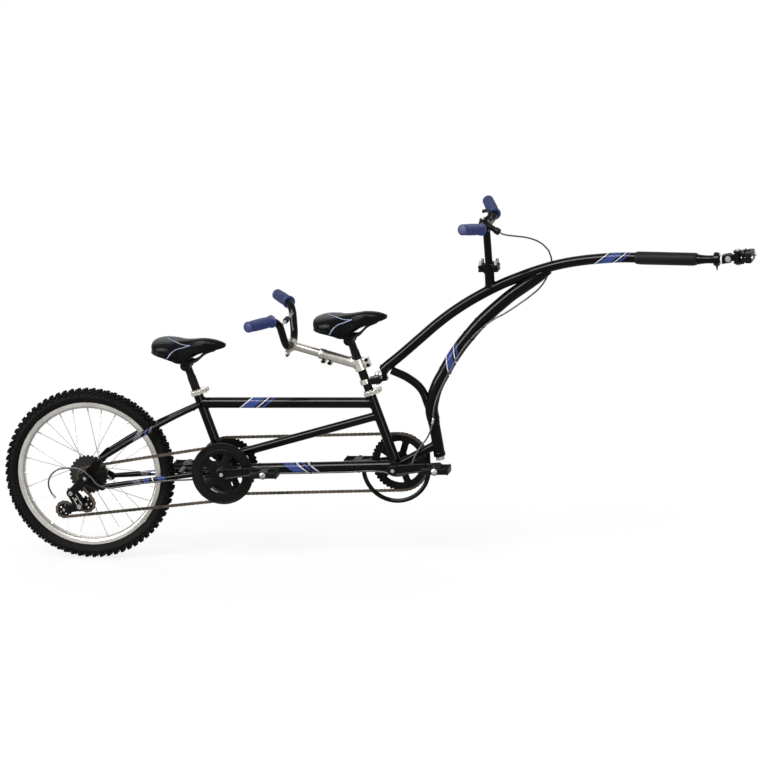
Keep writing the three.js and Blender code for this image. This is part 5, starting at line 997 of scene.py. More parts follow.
# Timing rings and drive ring. The two timing rings on the left, of 42 teeth, tie the cranks together; the drive
# ring on the right, of 40 teeth, carries a broad round guard. Glass-filled plastic and black steel, five arms
# with rounded windows between them, bolted to the rings.
TIMING_LINE, TIMING_TEETH, DRIVE_TEETH = 45, 42, 40
GUARD_OUTER, GUARD_INNER = 92.0, 66.5
BLACK_PLASTIC = surface("moulded_black_plastic", (0.003, 0.003, 0.0033), (0.007, 0.007, 0.0075), 0.40,
                        spread=0.16, grain=1400, bump=0.10, dust=0.02, scratch=0.06, glint=0.05)[0]


def windows(middle, inner, outer, arm_half, corner, line, turned_by=0.0):
    """The five rounded windows between a ring's arms, as one cutter."""
    cutters = []
    for arm in range(5):
        centre = math.tau * (arm + 0.5) / 5 + turned_by
        wide = math.pi / 5 - math.asin((arm_half + corner) / (outer - corner))
        tight = math.pi / 5 - math.asin(min(0.95, (arm_half + corner) / (inner + corner)))
        circles = [(outer - corner, centre + wide * share) for share in (-1, -0.5, 0, 0.5, 1)]
        circles += [(inner + corner, centre + max(0.0, tight) * share) for share in (-1, 1)]
        places = [(middle[0] + r * math.cos(t), middle[2] + r * math.sin(t), corner) for r, t in circles]
        cutters.append(plate(lobes(places, steps=5), line - 15, line + 15, bevel=0.0))
    return together("window_cutter", *cutters)


def spider_ring(shell, teeth, line, side, inner_window, outer_window, arm_half):
    """A toothed ring and its five-armed spider, with the boss on its hub and its bolts."""
    reach = pitch_radius(teeth)
    ring = plate(toothed(teeth, shell, reach + 1.0, reach - 2.6), line - 1.3, line + 1.3, bevel=0.0)
    cut_by(ring, windows(shell, inner_window, outer_window, arm_half, 5, line))
    eased(ring, 0.35, segments=1)
    web = plate(lobes([(shell[0], shell[2], outer_window + 6)], steps=16), line + side * 1.2, line + side * 4.0,
                bevel=0.0)
    cut_by(web, windows(shell, inner_window + 1, outer_window - 2, arm_half - 1.5, 5, line))
    eased(web, 0.7)
    boss = turned([(9, 0), (22, 0), (22, 3), (17, 5), (17, 15), (16, 15.6), (9, 15.6)],
                  at=(shell[0], line, shell[2]), along=(0, side, 0), steps=36)
    bolts = []
    for arm in range(5):
        turn = math.tau * arm / 5
        at = (shell[0] + (outer_window + 0.5) * math.cos(turn), line + side * 3.8,
              shell[2] + (outer_window + 0.5) * math.sin(turn))
        bolts.append(socket_head(at, (0, side, 0), 4.2, 1.8))
    return [ring, web, boss], bolts


for label, shell in (("rear", REAR_SHELL), ("front", FRONT_SHELL)):
    solid, bolts = spider_ring(shell, TIMING_TEETH, TIMING_LINE, 1, 30, 64, 10)
    fitted(f"{label}_timing_sprocket", solid, f"{label}_crankset", "black_plastic", BLACK_PLASTIC,
           f"{label}_timing_ring")
    fitted(f"{label}_timing_bolts", bolts, f"{label}_crankset", "steel", BOLT_STEEL)
solid, bolts = spider_ring(REAR_SHELL, DRIVE_TEETH, CHAIN_LINE, -1, 36, 62, 13)
fitted("drive_sprocket", solid, "rear_crankset", "black_plastic", BLACK_PLASTIC, "drive_ring")
guard_outline = [(GUARD_INNER, -53.9), (GUARD_INNER, -56.0), (GUARD_INNER + 0.8, -56.8),
                 (GUARD_INNER + 4, -56.8), (GUARD_INNER + 5, -56.0), (GUARD_OUTER - 6, -56.0),
                 (GUARD_OUTER - 5, -56.8), (GUARD_OUTER - 1, -56.8), (GUARD_OUTER, -56.0), (GUARD_OUTER, -54.4),
                 (GUARD_OUTER - 1, -53.9)]
guard_band = turned(guard_outline, at=(REAR_SHELL[0], 0, REAR_SHELL[2]), along=ACROSS, steps=72)
guard_posts = [rod(5, 0, 4, steps=16, along=(0, -1, 0),
                   at=(REAR_SHELL[0] + 70 * math.cos(math.tau * arm / 5), CHAIN_LINE - 1,
                       REAR_SHELL[2] + 70 * math.sin(math.tau * arm / 5))) for arm in range(5)]
fitted("chain_guard_band", [guard_band, *guard_posts], "rear_crankset", "black_plastic", BLACK_PLASTIC,
       "drive_ring")
fitted("drive_ring_bolts", bolts, "rear_crankset", "satin_black_metal", SATIN_BLACK)

# Chains. Two half-inch roller chains of riveted steel links: the long one from the drive ring over the smallest
# cog and back through the derailleur, and the timing chain between the two cranks. Oiled, worn brown.
GUIDE_PULLEY, TENSION_PULLEY, PULLEY_TEETH = (-4, 0, -82), (-72, 0, -99), 11


def belt(wheels, step=1.0):
    """Even places along a belt round wheels (ahead, up, radius, way round), seen from the right."""
    heads = []
    for number, (x, z, reach, way) in enumerate(wheels):
        nx, nz, next_reach, next_way = wheels[(number + 1) % len(wheels)]
        lean = math.asin((way * reach - next_way * next_reach) / math.hypot(nx - x, nz - z))
        heads.append(math.atan2(nz - z, nx - x) + lean - math.pi / 2)
    points = []
    for number, (x, z, reach, way) in enumerate(wheels):
        sweep = (heads[number] - heads[number - 1]) * way % math.tau
        steps = max(4, int(sweep * reach / step))
        for k in range(steps + 1):
            turn = heads[number - 1] + way * sweep * k / steps
            points.append(Vector((x + way * reach * math.cos(turn), z + way * reach * math.sin(turn))))
    return points


def link_plate(half, inner, outer):
    """One side plate of a link, a pair of round lobes with a waist, from inner to outer across."""
    outline = []
    for step in range(5):
        turn = -math.pi / 2 + math.pi * step / 4
        outline.append((AXLE_BEHIND + half + 4.4 * math.cos(turn), AXLE_BELOW + 4.4 * math.sin(turn)))
    outline.append((AXLE_BEHIND, AXLE_BELOW + 3.5))
    for step in range(5):
        turn = math.pi / 2 + math.pi * step / 4
        outline.append((AXLE_BEHIND - half + 4.4 * math.cos(turn), AXLE_BELOW + 4.4 * math.sin(turn)))
    outline.append((AXLE_BEHIND, AXLE_BELOW - 3.5))
    return plate(outline, inner, outer, bevel=0.0)


def chain(name, wheels, line, node):
    points = belt(wheels)
    points.append(points[0])
    reached = [0.0]
    for first, last in zip(points, points[1:]):
        reached.append(reached[-1] + (last - first).length)
    count = 2 * round(reached[-1] / CHAIN_PITCH / 2)
    pitch = reached[-1] / count

    def along(distance):
        distance %= reached[-1]
        low, high = 0, len(reached) - 1
        while high - low > 1:
            middle = (low + high) // 2
            low, high = (middle, high) if reached[middle] <= distance else (low, middle)
        return points[low].lerp(points[high], (distance - reached[low])
                                / max(1e-9, reached[high] - reached[low]))

    half = pitch / 2
    outer_link = together("outer_link", link_plate(half, -3.5, -2.6), link_plate(half, 2.6, 3.5),
                          *(rod(1.5, -4.0, 4.0, at=(AXLE_BEHIND + way * half, 0, AXLE_BELOW), along=ACROSS,
                                steps=6) for way in (-1, 1)))
    inner_link = together("inner_link", link_plate(half, -2.5, -1.7), link_plate(half, 1.7, 2.5),
                          *(rod(3.6, -1.7, 1.7, at=(AXLE_BEHIND + way * half, 0, AXLE_BELOW), along=ACROSS,
                                steps=8) for way in (-1, 1)))
    links = []
    for number in range(count):
        pattern = outer_link if number % 2 else inner_link
        first, last = along(number * pitch), along((number + 1) * pitch)
        middle, run = (first + last) / 2, last - first
        copy = pattern.copy()
        copy.data = pattern.data.copy()
        bpy.context.collection.objects.link(copy)
        copy.matrix_world = (Matrix.Translation(spot(middle[0], line, middle[1]))
                             @ Matrix.Rotation(-math.atan2(run[1], run[0]), 4, "Y"))
        links.append(copy)
    for pattern in (outer_link, inner_link):
        bpy.data.objects.remove(pattern)
    deselect()
    for link in links:
        link.select_set(True)
    bpy.context.view_layer.objects.active = links[0]
    bpy.ops.object.transform_apply(location=True, rotation=True, scale=True)
    fitted(name, links, "frame", "chain_steel", CHAIN_STEEL, node)


CHAIN_STEEL = surface("oiled_chain_steel", (0.085, 0.066, 0.048), (0.025, 0.02, 0.016), 0.38, metal=0.75,
                      grain=350, bump=0.08, dust=0.0, scratch=0.3)[0]
chain("drive_chain_links",
      [(REAR_SHELL[0], REAR_SHELL[2], pitch_radius(DRIVE_TEETH), 1), (0, 0, pitch_radius(14), 1),
       (GUIDE_PULLEY[0], GUIDE_PULLEY[2], pitch_radius(PULLEY_TEETH), -1),
       (TENSION_PULLEY[0], TENSION_PULLEY[2], pitch_radius(PULLEY_TEETH), 1)], CHAIN_LINE, "drive_chain")
chain("timing_chain_links",
      [(FRONT_SHELL[0], FRONT_SHELL[2], pitch_radius(TIMING_TEETH), 1),
       (REAR_SHELL[0], REAR_SHELL[2], pitch_radius(TIMING_TEETH), 1)], TIMING_LINE, "timing_chain")

# Pedals. One moulded black cage for each crank: a barrel round the axle, two toothed rails before and behind
# it, and two end plates, with the cage open between them and a pressed dust cap outside.
PEDAL_MIDDLE, PEDAL_WIDE, PEDAL_LONG, PEDAL_HIGH = 108, 62, 80, 24


def pedal(name, body, eye, side):
    """A cage pedal about its axle; side is -1 on the right of the bike."""
    middle = (eye[0], side * PEDAL_MIDDLE, eye[2])
    cage = block((PEDAL_LONG, PEDAL_WIDE, PEDAL_HIGH - 5), middle, bevel=3.4)
    for way in (-1, 1):
        window = block((PEDAL_LONG / 2 - 17, PEDAL_WIDE - 11, PEDAL_HIGH * 2),
                       (eye[0] + way * 23, middle[1], eye[2]), bevel=0.0)
        cut_by(cage, window)
    eased(cage, 0.9)
    barrel = turned([(5.6, -30), (11, -30), (11.6, -29), (11.0, -20), (9.6, -12), (9.6, 12), (11.0, 20),
                     (11.6, 29), (11, 30), (5.6, 30)], at=middle, along=(0, side, 0), steps=28)
    ribs = [block((PEDAL_LONG - 6, 3, 9), (eye[0], middle[1] + reach, eye[2]), bevel=0.6) for reach in (-9, 9)]
    teeth = []
    for way in (-1, 1):
        for number in range(7):
            across_by = -24 + 8 * number
            for up in (-1, 1):
                teeth.append(turned([(0, -1), (3.0, -1), (1.2, 3.0), (0, 3.0)], steps=4, along=(0, 0, up),
                                    angle=20, at=(eye[0] + way * (PEDAL_LONG / 2 - 3), middle[1] + across_by,
                                                  eye[2] + up * (PEDAL_HIGH / 2 - 3))))
    fitted(name + "_cage", [cage, barrel, *ribs, *teeth], body, "black_plastic", BLACK_PLASTIC, name)
    cap = turned([(0, 0), (8.6, 0), (8.6, 1.0), (7.4, 1.8), (0, 2.2)],
                 at=(eye[0], side * (PEDAL_MIDDLE + 30), eye[2]), along=(0, side, 0), steps=24)
    fitted(name + "_dust_cap", [cap], body, "steel", BOLT_STEEL)


for label, shell in (("rear", REAR_SHELL), ("front", FRONT_SHELL)):
    for name, side in (("right", -1), ("left", 1)):
        pedal(f"{label}_pedal_{name}", f"{label}_{name}_pedal", pedal_eye(shell, side), side)

# Derailleur. A claw bracket under the right axle nut, a sprung link body that swings on it, and a cage of two
# steel plates with two plastic pulleys. Black enamel with bright pivots, screws and cable clamp.
KNUCKLE, CAGE_PIVOT = (-44, 0, -44), (-22, 0, -86)
bracket = plate(lobes([(0, 0, 14), (-20, -22, 13), (KNUCKLE[0], KNUCKLE[2], 11)]), -78.6, -82.6, bevel=1.0,
                holes=[(0, 0, 5.4)])
fitted("derailleur_claw", [bracket], "frame", "satin_black_metal", SATIN_BLACK, "derailleur_bracket")
link_body = plate(lobes([(KNUCKLE[0], KNUCKLE[2], 13.5), (-26, -62, 13), (CAGE_PIVOT[0], CAGE_PIVOT[2], 13)]),
                  -76, -59.6, bevel=0.0)
fluted(link_body, -1, 3.2, 1.6)
eased(link_body, 1.4, segments=3)
knuckle = turned([(0, -59.6), (13, -59.6), (14, -60.6), (14, -76.6), (13, -78.2), (0, -78.2)],
                 at=(KNUCKLE[0], 0, KNUCKLE[2]), along=ACROSS, steps=32)
outer_knuckle = turned([(0, -60), (14.0, -60), (15, -61), (15, -71), (13.6, -73), (0, -74)],
                       at=(CAGE_PIVOT[0], 0, CAGE_PIVOT[2]), along=ACROSS, steps=32)
fitted("derailleur_body", [link_body, knuckle, outer_knuckle], "derailleur_arm", "satin_black_metal",
       SATIN_BLACK, "derailleur_link")
pivot_bolts = [socket_head((KNUCKLE[0], -82.4, KNUCKLE[2]), (0, -1, 0), 6.4, 3.4),
               socket_head((CAGE_PIVOT[0], -73.6, CAGE_PIVOT[2]), (0, -1, 0), 7, 3)]
clamp_screw = hexagon((-30, -75.6, -62), (0, -1, 0), 5.2, 5)
link_ribs = [bar([(KNUCKLE[0] + shift, -77, KNUCKLE[2] + 5), (CAGE_PIVOT[0] + shift, -75, CAGE_PIVOT[2] + 6)],
                 1.6, sides=10) for shift in (-6, 9)]
limit_screws = [rod(2.2, 0, 6, at=(-52 + 6 * n, -70, -36), along=(-0.4, 0, 0.9), steps=10) for n in (0, 1)]
fitted("derailleur_screws", [pivot_bolts[1], clamp_screw, *link_ribs, *limit_screws], "derailleur_arm", "steel",
       BOLT_STEEL)
fitted("derailleur_pivot", [pivot_bolts[0]], "frame", "steel", BOLT_STEEL)
cage_plates = []
for inner, outer in ((-57.0, -58.8), (-43.0, -41.2)):
    cage_plates.append(plate(lobes([(GUIDE_PULLEY[0], GUIDE_PULLEY[2], 10), (-36, -95, 9),
                                    (TENSION_PULLEY[0], TENSION_PULLEY[2], 10)]), inner, outer, bevel=0.5,
                             holes=[(-38, -91, 4.5)]))
cage_plates.append(plate(lobes([(GUIDE_PULLEY[0], GUIDE_PULLEY[2], 8), (CAGE_PIVOT[0], CAGE_PIVOT[2], 8)]),
                         -57.0, -59.0, bevel=0.5))
fitted("derailleur_cage_plates", cage_plates, "pulley_cage", "satin_black_metal", SATIN_BLACK,
       "derailleur_cage")
cage_bolts = [socket_head((place[0], -58.6, place[2]), (0, -1, 0), 4.0, 2.0)
              for place in (GUIDE_PULLEY, TENSION_PULLEY)]
cage_bolts += [rod(2.4, -58, -41, at=place, along=ACROSS, steps=12) for place in (GUIDE_PULLEY, TENSION_PULLEY)]
fitted("derailleur_cage_bolts", cage_bolts, "pulley_cage", "steel", BOLT_STEEL)
for name, place, body in (("guide_pulley", GUIDE_PULLEY, "upper_pulley"),
                          ("tension_pulley", TENSION_PULLEY, "lower_pulley")):
    reach = pitch_radius(PULLEY_TEETH)
    holes = [(place[0] + 11.5 * math.cos(math.tau * n / 5), place[2] + 11.5 * math.sin(math.tau * n / 5), 3.0)
             for n in range(5)]
    wheel = plate(toothed(PULLEY_TEETH, place, reach + 1.2, reach - 3.4), -52.0, -48.0, bevel=0.4,
                  holes=[(place[0], place[2], 3.0)] + holes)
    fitted(name + "_wheel", [wheel], body, "black_plastic", BLACK_PLASTIC, name)

# Seat posts. Each is a steel tube, satin black, that slides in its seat tube and is drawn in near the top, where
# a short cross piece carries the saddle's clamp.
REAR_CLAMP, FRONT_CLAMP = (304.7, 0, 324.8), (795.0, 0, 400.5)
POST_RADIUS, POST_INSIDE = 12.7, 95
for label, top, place in (("rear", REAR_SEAT_TOP, REAR_CLAMP), ("front", FRONT_SEAT_TOP, FRONT_CLAMP)):
    length = POST_INSIDE + (Vector(place) - Vector(top)).length
    tube = turned([(11, 0), (POST_RADIUS - 0.5, 0), (POST_RADIUS, 0.5), (POST_RADIUS, length - 40),
                   (11.4, length - 33), (11.4, length + 4), (11, length + 5), (0, length + 5), (0, 4), (11, 4)],
                  at=beside(top, 0, -POST_INSIDE), along=SEAT_UP, steps=40)
    head = eased_ring(0, 12.7, 12.7, 1.1, at=place, along=ACROSS, steps=36)
    fitted(f"{label}_post_tube", [tube, head], f"{label}_seat_pillar", "satin_black_metal", SATIN_BLACK,
           f"{label}_seat_post")

# Saddle clamps and rails. Pressed steel cups each side of the post's head squeeze two bent wire rails between
# them with one cross bolt; the rails spring up to the shell at the back and close in a loop under the nose.
RAIL_RADIUS, RAIL_ACROSS, RAIL_RISE = 3.5, 21, 9
SADDLE_TILTS = {"rear": 0, "front": 5}


def saddle_spot(label, x, y, z):
    """A place measured from a saddle's clamp: ahead, left and up, tipped nose up with the saddle."""
    place = REAR_CLAMP if label == "rear" else FRONT_CLAMP
    return beside(place, x, z, left=y, lean=SADDLE_TILTS[label])


for label, place in (("rear", REAR_CLAMP), ("front", FRONT_CLAMP)):
    cups = []
    for side in (-1, 1):
        cup = [(0, 13.2), (12.6, 13.2), (13.8, 14.2), (13.8, 16.8), (15, 18), (15, 26), (13.4, 28.6), (9, 29.4),
               (0, 29.4)]
        cups.append(turned(cup, at=place, along=(0, side, 0), steps=36))
        cups.append(block((34, 8.6, 9), saddle_spot(label, 2, side * RAIL_ACROSS, RAIL_RISE + 1),
                          SADDLE_TILTS[label], bevel=2.4))
    fitted(f"{label}_clamp_cups", cups, f"{label}_saddle_unit", "satin_black_metal", SATIN_BLACK,
           f"{label}_saddle_clamp")
    bolt = rod(4, -34, 34, at=place, along=ACROSS, steps=16)
    nuts = [hexagon((place[0], side * 29, place[2]), (0, side, 0), 7, 4.6) for side in (-1, 1)]
    fitted(f"{label}_clamp_bolt", [bolt, *nuts], f"{label}_saddle_unit", "satin_black_metal", SATIN_BLACK,
           f"{label}_saddle_clamp")
    corners = [(-58, 33, 37), (-30, 23, RAIL_RISE), (27, RAIL_ACROSS, RAIL_RISE), (60, 16, 38), (86, 9, 44)]
    loop = [saddle_spot(label, *c) for c in corners] + [saddle_spot(label, x, -y, z) for x, y,
                                                        z in reversed(corners)]
    fitted(f"{label}_rail_wire", [bar(loop, RAIL_RADIUS, bend=14, sides=16)], f"{label}_saddle_unit",
           "satin_black_metal", SATIN_BLACK, f"{label}_saddle_rails")

# Saddles. A plastic shell with drooping sides carries a foam pad under a stitched black vinyl cover. A blue-grey
# piping runs from low on each side up over the back, and a seam goes on from where it turns to the nose.
SADDLE_ROWS = (  # ahead, half width, top, bottom
    (-99, 30, 68, 50), (-96, 46, 72, 44), (-88, 58, 74.5, 41), (-74, 68, 76, 37), (-56, 72, 76, 32),
    (-40, 72, 75, 26), (-26, 66, 74, 19), (-12, 55, 73, 15), (4, 44, 72.5, 17), (20, 35, 73, 27),
    (38, 29, 74.5, 36), (58, 25, 76, 42), (78, 22, 76, 46), (96, 19, 74, 49), (109, 14.5, 70, 52),
    (118, 9, 66, 55), (123, 4, 63, 59))
SADDLE_RING = (  # share of the half width, share of the depth
    (0, 0), (0.25, 0.01), (0.5, 0.05), (0.72, 0.13), (0.88, 0.26), (0.97, 0.43), (1, 0.6), (0.99, 0.78),
    (0.95, 0.93), (0.88, 1.0), (0.8, 0.97), (0.72, 0.86), (0.4, 0.82), (0, 0.8))
COVER_SWELL, VOXEL = 3.2, 4.2


def lofted(rings, angle=50):
    """A closed skin through rings of places; both ends are drawn together to the middle of their ring."""
    ends = []
    for ring in (rings[0], rings[-1]):
        middle = sum((Vector(place) for place in ring), Vector()) / len(ring)
        ends.append([tuple(middle)] * len(ring))
    rows = [ends[0], *rings, ends[1]]
    around = len(rings[0])
    deselect()
    bpy.ops.mesh.primitive_grid_add(x_subdivisions=around, y_subdivisions=len(rows) - 1, size=0.1)
    made = bpy.context.object
    for number, corner in enumerate(made.data.vertices):
        row, column = divmod(number, around + 1)
        corner.co = spot(*rows[row][column % around])
    bpy.ops.object.mode_set(mode="EDIT")
    bpy.ops.mesh.select_all(action="SELECT")
    bpy.ops.mesh.remove_doubles(threshold=1e-5)
    bpy.ops.mesh.select_all(action="SELECT")
    bpy.ops.mesh.normals_make_consistent(inside=False)
    bpy.ops.object.mode_set(mode="OBJECT")
    rounded(made, angle)
    return made


def puffed(piece, most, voxel=VOXEL, pressure=4.0, frames=20):
    """Let a cover swell over its foam as sewn cloth does, by no more than so many millimetres."""
    only(piece)
    even = piece.modifiers.new("even_mesh", "REMESH")
    even.mode = "VOXEL"
    even.voxel_size = voxel / 1000
    bpy.ops.object.modifier_apply(modifier=even.name)
    before = [corner.co.copy() for corner in piece.data.vertices]
    cloth = piece.modifiers.new("cover", "CLOTH")
    cloth.settings.use_pressure = True
    cloth.settings.uniform_pressure_force = pressure
    cloth.settings.effector_weights.gravity = 0
    for number in range(1, frames + 1):
        bpy.context.scene.frame_set(number)
    bpy.ops.object.modifier_apply(modifier=cloth.name)
    bpy.context.scene.frame_set(1)
    for corner, was in zip(piece.data.vertices, before):
        moved = corner.co - was
        if moved.length > most / 1000:
            corner.co = was + moved.normalized() * (most / 1000)
    relax = piece.modifiers.new("soft_skin", "SMOOTH")
    relax.iterations = 3
    bpy.ops.object.modifier_apply(modifier=relax.name)
    finer = piece.modifiers.new("finer", "SUBSURF")
    finer.levels = 1
    bpy.ops.object.modifier_apply(modifier=finer.name)
    bpy.ops.object.shade_smooth()
    return piece


def sewn(cover, path, radius, lift):
    """A round piping laid on a cover: each place of the path is moved onto the nearest skin."""
    places = []
    for place in path:
        _, near, normal, _ = cover.closest_point_on_mesh(spot(*place))
        on_skin = (near + normal * lift / 1000) * 1000
        places.append((on_skin.x + AXLE_BEHIND, on_skin.y, on_skin.z + AXLE_BELOW))
    return bar(places, radius, smooth=True, sides=12)


def pinched(cover, path, depth=1.4, width=7.0):
    """Draw a cover in along a seam."""
    line = [spot(*place) for place in path]
    steps = []
    for first, last in zip(line, line[1:]):
        parts = max(1, int((last - first).length * 1000 / 2))
        steps += [first.lerp(last, part / parts) for part in range(parts)]
    tree = KDTree(len(steps))
    for number, place in enumerate(steps):
        tree.insert(place, number)
    tree.balance()
    normals = [corner.normal.copy() for corner in cover.data.vertices]
    for corner, normal in zip(cover.data.vertices, normals):
        apart = tree.find(corner.co)[2] * 1000
        if apart < width:
            corner.co -= normal * (depth / 1000) * (1 - apart / width) ** 2


VINYL, vinyl_tree, vinyl_shader, _ = surface(
    "black_vinyl", (0.003, 0.003, 0.0035), (0.006, 0.006, 0.007), 0.24, spread=0.14, grain=1500, bump=0.16,
    dust=0.008, scratch=0.03, glint=0.04)
leather_grain = vinyl_tree.nodes.new("ShaderNodeTexVoronoi")
leather_grain.inputs["Scale"].default_value = 900
leather_place = vinyl_tree.nodes.new("ShaderNodeTexCoord")
leather_relief = vinyl_tree.nodes.new("ShaderNodeBump")
leather_relief.inputs["Distance"].default_value = 0.0006
leather_relief.inputs["Strength"].default_value = 0.12
vinyl_tree.links.new(leather_place.outputs["Object"], leather_grain.inputs["Vector"])
vinyl_tree.links.new(leather_grain.outputs["Distance"], leather_relief.inputs["Height"])
vinyl_tree.links.new(vinyl_shader.inputs["Normal"].links[0].from_socket, leather_relief.inputs["Normal"])
vinyl_tree.links.new(leather_relief.outputs["Normal"], vinyl_shader.inputs["Normal"])
PIPING = surface("blue_grey_piping", (0.26, 0.32, 0.46), (0.19, 0.24, 0.35), 0.45, grain=1600, bump=0.1,
                 dust=0.04)[0]
PIPING_SIDE = [(-47, 72, 26), (-42, 73, 33), (-35, 72, 43), (-25, 68, 53), (-11, 60, 61), (5, 50, 66.5),
               (22, 38, 70)]
PIPING_OVER = [(22, 38, 70), (8, 38, 71.5), (-8, 35, 73), (-24, 28, 74), (-38, 19, 75), (-49, 9, 75.5),
               (-54, 0, 75.8)]
SEAM_TO_NOSE = [(22, 38, 70), (32, 32, 71), (44, 27.5, 72), (60, 24, 73), (80, 20, 72), (98, 15.5, 69),
                (112, 8, 66), (119, 0, 64)]
SEAM_AT_BACK = [(-93, 26, 72), (-92, 45, 68), (-88, 56, 62), (-80, 63, 53), (-70, 69, 46), (-56, 73, 42),
                (-44, 73, 36)]
SHELL_RIM = ((1, 0), (0.99, -3.2), (0.9, -4.4), (0.78, -3.4), (0.66, 3), (0, 4.5))
for label in ("rear", "front"):
    rings, shell_rings = [], []
    for x, half, top, bottom in SADDLE_ROWS:
        right = [saddle_spot(label, x, -half * w, top - (top - bottom) * d) for w, d in SADDLE_RING]
        left = [saddle_spot(label, x, half * w, top - (top - bottom) * d) for w,
                d in reversed(SADDLE_RING[1:-1])]
        rings.append(right + left)
        edge, low = half * 0.86, bottom + 2.0
        right = [saddle_spot(label, x, -edge * w, low + z) for w, z in SHELL_RIM]
        left = [saddle_spot(label, x, edge * w, low + z) for w, z in reversed(SHELL_RIM[:-1])]
        inside = [saddle_spot(label, x, side * half * 0.5, low + 7) for side in (1, -1)]
        shell_rings.append(right + left + inside)
    cover = puffed(lofted(rings), COVER_SWELL)
    strips, seams = [], []
    for side in (-1, 1):
        paths = [[saddle_spot(label, x, side * y, z) for x, y, z in path]
                 for path in (PIPING_SIDE, PIPING_OVER, SEAM_TO_NOSE, SEAM_AT_BACK)]
        for path in paths:
            pinched(cover, path)
        strips += [sewn(cover, paths[0], 1.5, 0.6), sewn(cover, paths[1], 1.3, 0.5)]
        seams += [sewn(cover, paths[2], 0.9, 0.2), sewn(cover, paths[3], 1.1, 0.2)]
    soft = fitted(f"{label}_saddle_cover", [cover, *seams], f"{label}_saddle_unit", "saddle_vinyl", VINYL,
                  f"{label}_saddle")
    fitted(f"{label}_saddle_piping", strips, f"{label}_saddle_unit", "saddle_vinyl", PIPING)
    sockets = [block((14, 74, 8), saddle_spot(label, -56, 0, 38), SADDLE_TILTS[label], bevel=3),
               block((22, 18, 8), saddle_spot(label, 80, 0, 48), SADDLE_TILTS[label], bevel=3)]
    fitted(f"{label}_saddle_shell", [lofted(shell_rings[1:-1]), *sockets], f"{label}_saddle_unit",
           "saddle_vinyl", BLACK_PLASTIC)

# Rear rider's stem. A bright alloy sleeve is clamped round the front seat post, and a thinner tube slides in it,
# pinched by two bolts under its split end. The tube's own clamp at the back holds the rear rider's bar.
STEM_ROOT, STEM_BACK = (819.73, 0, 324.45), (-0.9604, 0, 0.279)
STEM_LENGTH, SLEEVE_REACH, SLIDER_START = 210.0, 122, 58
BAR_FOOT = (618.03, 0, 383.05)


def on_stem(reach, up=0.0, left=0.0):
    """A place along the stem from the seat post, square up from its axis and to the left."""
    return (STEM_ROOT[0] + reach * STEM_BACK[0] + up * STEM_BACK[2], left,
            STEM_ROOT[2] + reach * STEM_BACK[2] - up * STEM_BACK[0])


STEM_LEAN = -16.2
post_band = eased_ring(12.9, 17.7, 17, 0.8, at=STEM_ROOT, along=SEAT_UP, steps=40)
post_ears = [block((18, 8.2, 30), beside(STEM_ROOT, 23.5, 0, left=side * 5.7), SEAT_LEAN, bevel=2.6)
             for side in (-1, 1)]
sleeve_tube = turned([(12.5, 13), (15, 13), (15, 104), (16.2, 106), (16.2, 120.5), (15.4, 122), (12.5, 122)],
                     at=STEM_ROOT, along=STEM_BACK, steps=40)
groove = block((92, 2.4, 8), on_stem(74, up=-14), STEM_LEAN, bevel=0)
cut_by(sleeve_tube, groove)
rounded(sleeve_tube)
pinch_places = (SLEEVE_REACH * 0.86, SLEEVE_REACH * 0.70)
pinch_ears = [block((15, 7, 15), on_stem(reach, up=-17.5, left=side * 5.2), STEM_LEAN, bevel=2.4)
              for reach in pinch_places for side in (-1, 1)]
stem_weld = bead(on_stem(60), STEM_ROOT, 15, STEM_ROOT, SEAT_UP, 17.7)
fitted("stem_sleeve", [post_band, *post_ears, sleeve_tube, *pinch_ears, stem_weld], "front_seat_pillar",
       "alloy", POLISHED_ALLOY, "stoker_stem")
stem_bolts = []
for rise in (-8.5, 8.5):
    stem_bolts.append(rod(3.4, -14, 14, at=beside(STEM_ROOT, 26.2, rise), along=ACROSS, steps=16))
    stem_bolts.append(socket_head(beside(STEM_ROOT, 26.2, rise, left=-9.4), (0, -1, 0), 5.4, 5.6))
for reach in pinch_places:
    stem_bolts.append(rod(3.2, -14, 14, at=on_stem(reach, up=-18), along=ACROSS, steps=16))
    stem_bolts.append(socket_head(on_stem(reach, up=-18, left=-8.4), (0, -1, 0), 5.6, 6.0))
fitted("stem_sleeve_bolts", stem_bolts, "front_seat_pillar", "steel", SATIN_BLACK)
slider_tube = turned([(0, SLIDER_START), (11.6, SLIDER_START), (12.3, SLIDER_START + 0.8),
                      (12.3, STEM_LENGTH - 13), (0, STEM_LENGTH - 13)], at=STEM_ROOT, along=STEM_BACK, steps=36)
bar_band = eased_ring(11.3, 17.1, 17, 0.8, at=BAR_FOOT, along=ACROSS, steps=40)
bar_ears = [block((14, 32, 8), (608.5, 0, 370.5 - drop), 18, bevel=2) for drop in (0, 10.5)]
slider_weld = bead(on_stem(170), BAR_FOOT, 12.3, BAR_FOOT, (0, 1, 0), 17.1)
fitted("stem_slider", [slider_tube, bar_band, *bar_ears, slider_weld], "stoker_stem_inner", "alloy",
       POLISHED_ALLOY, "stoker_stem_slider")
bar_bolts = [socket_head((607, left, 354), (0.2, 0, -1), 4.2, 4.4) for left in (-9, 9)]
fitted("stem_slider_bolts", bar_bolts, "stoker_stem_inner", "steel", SATIN_BLACK)

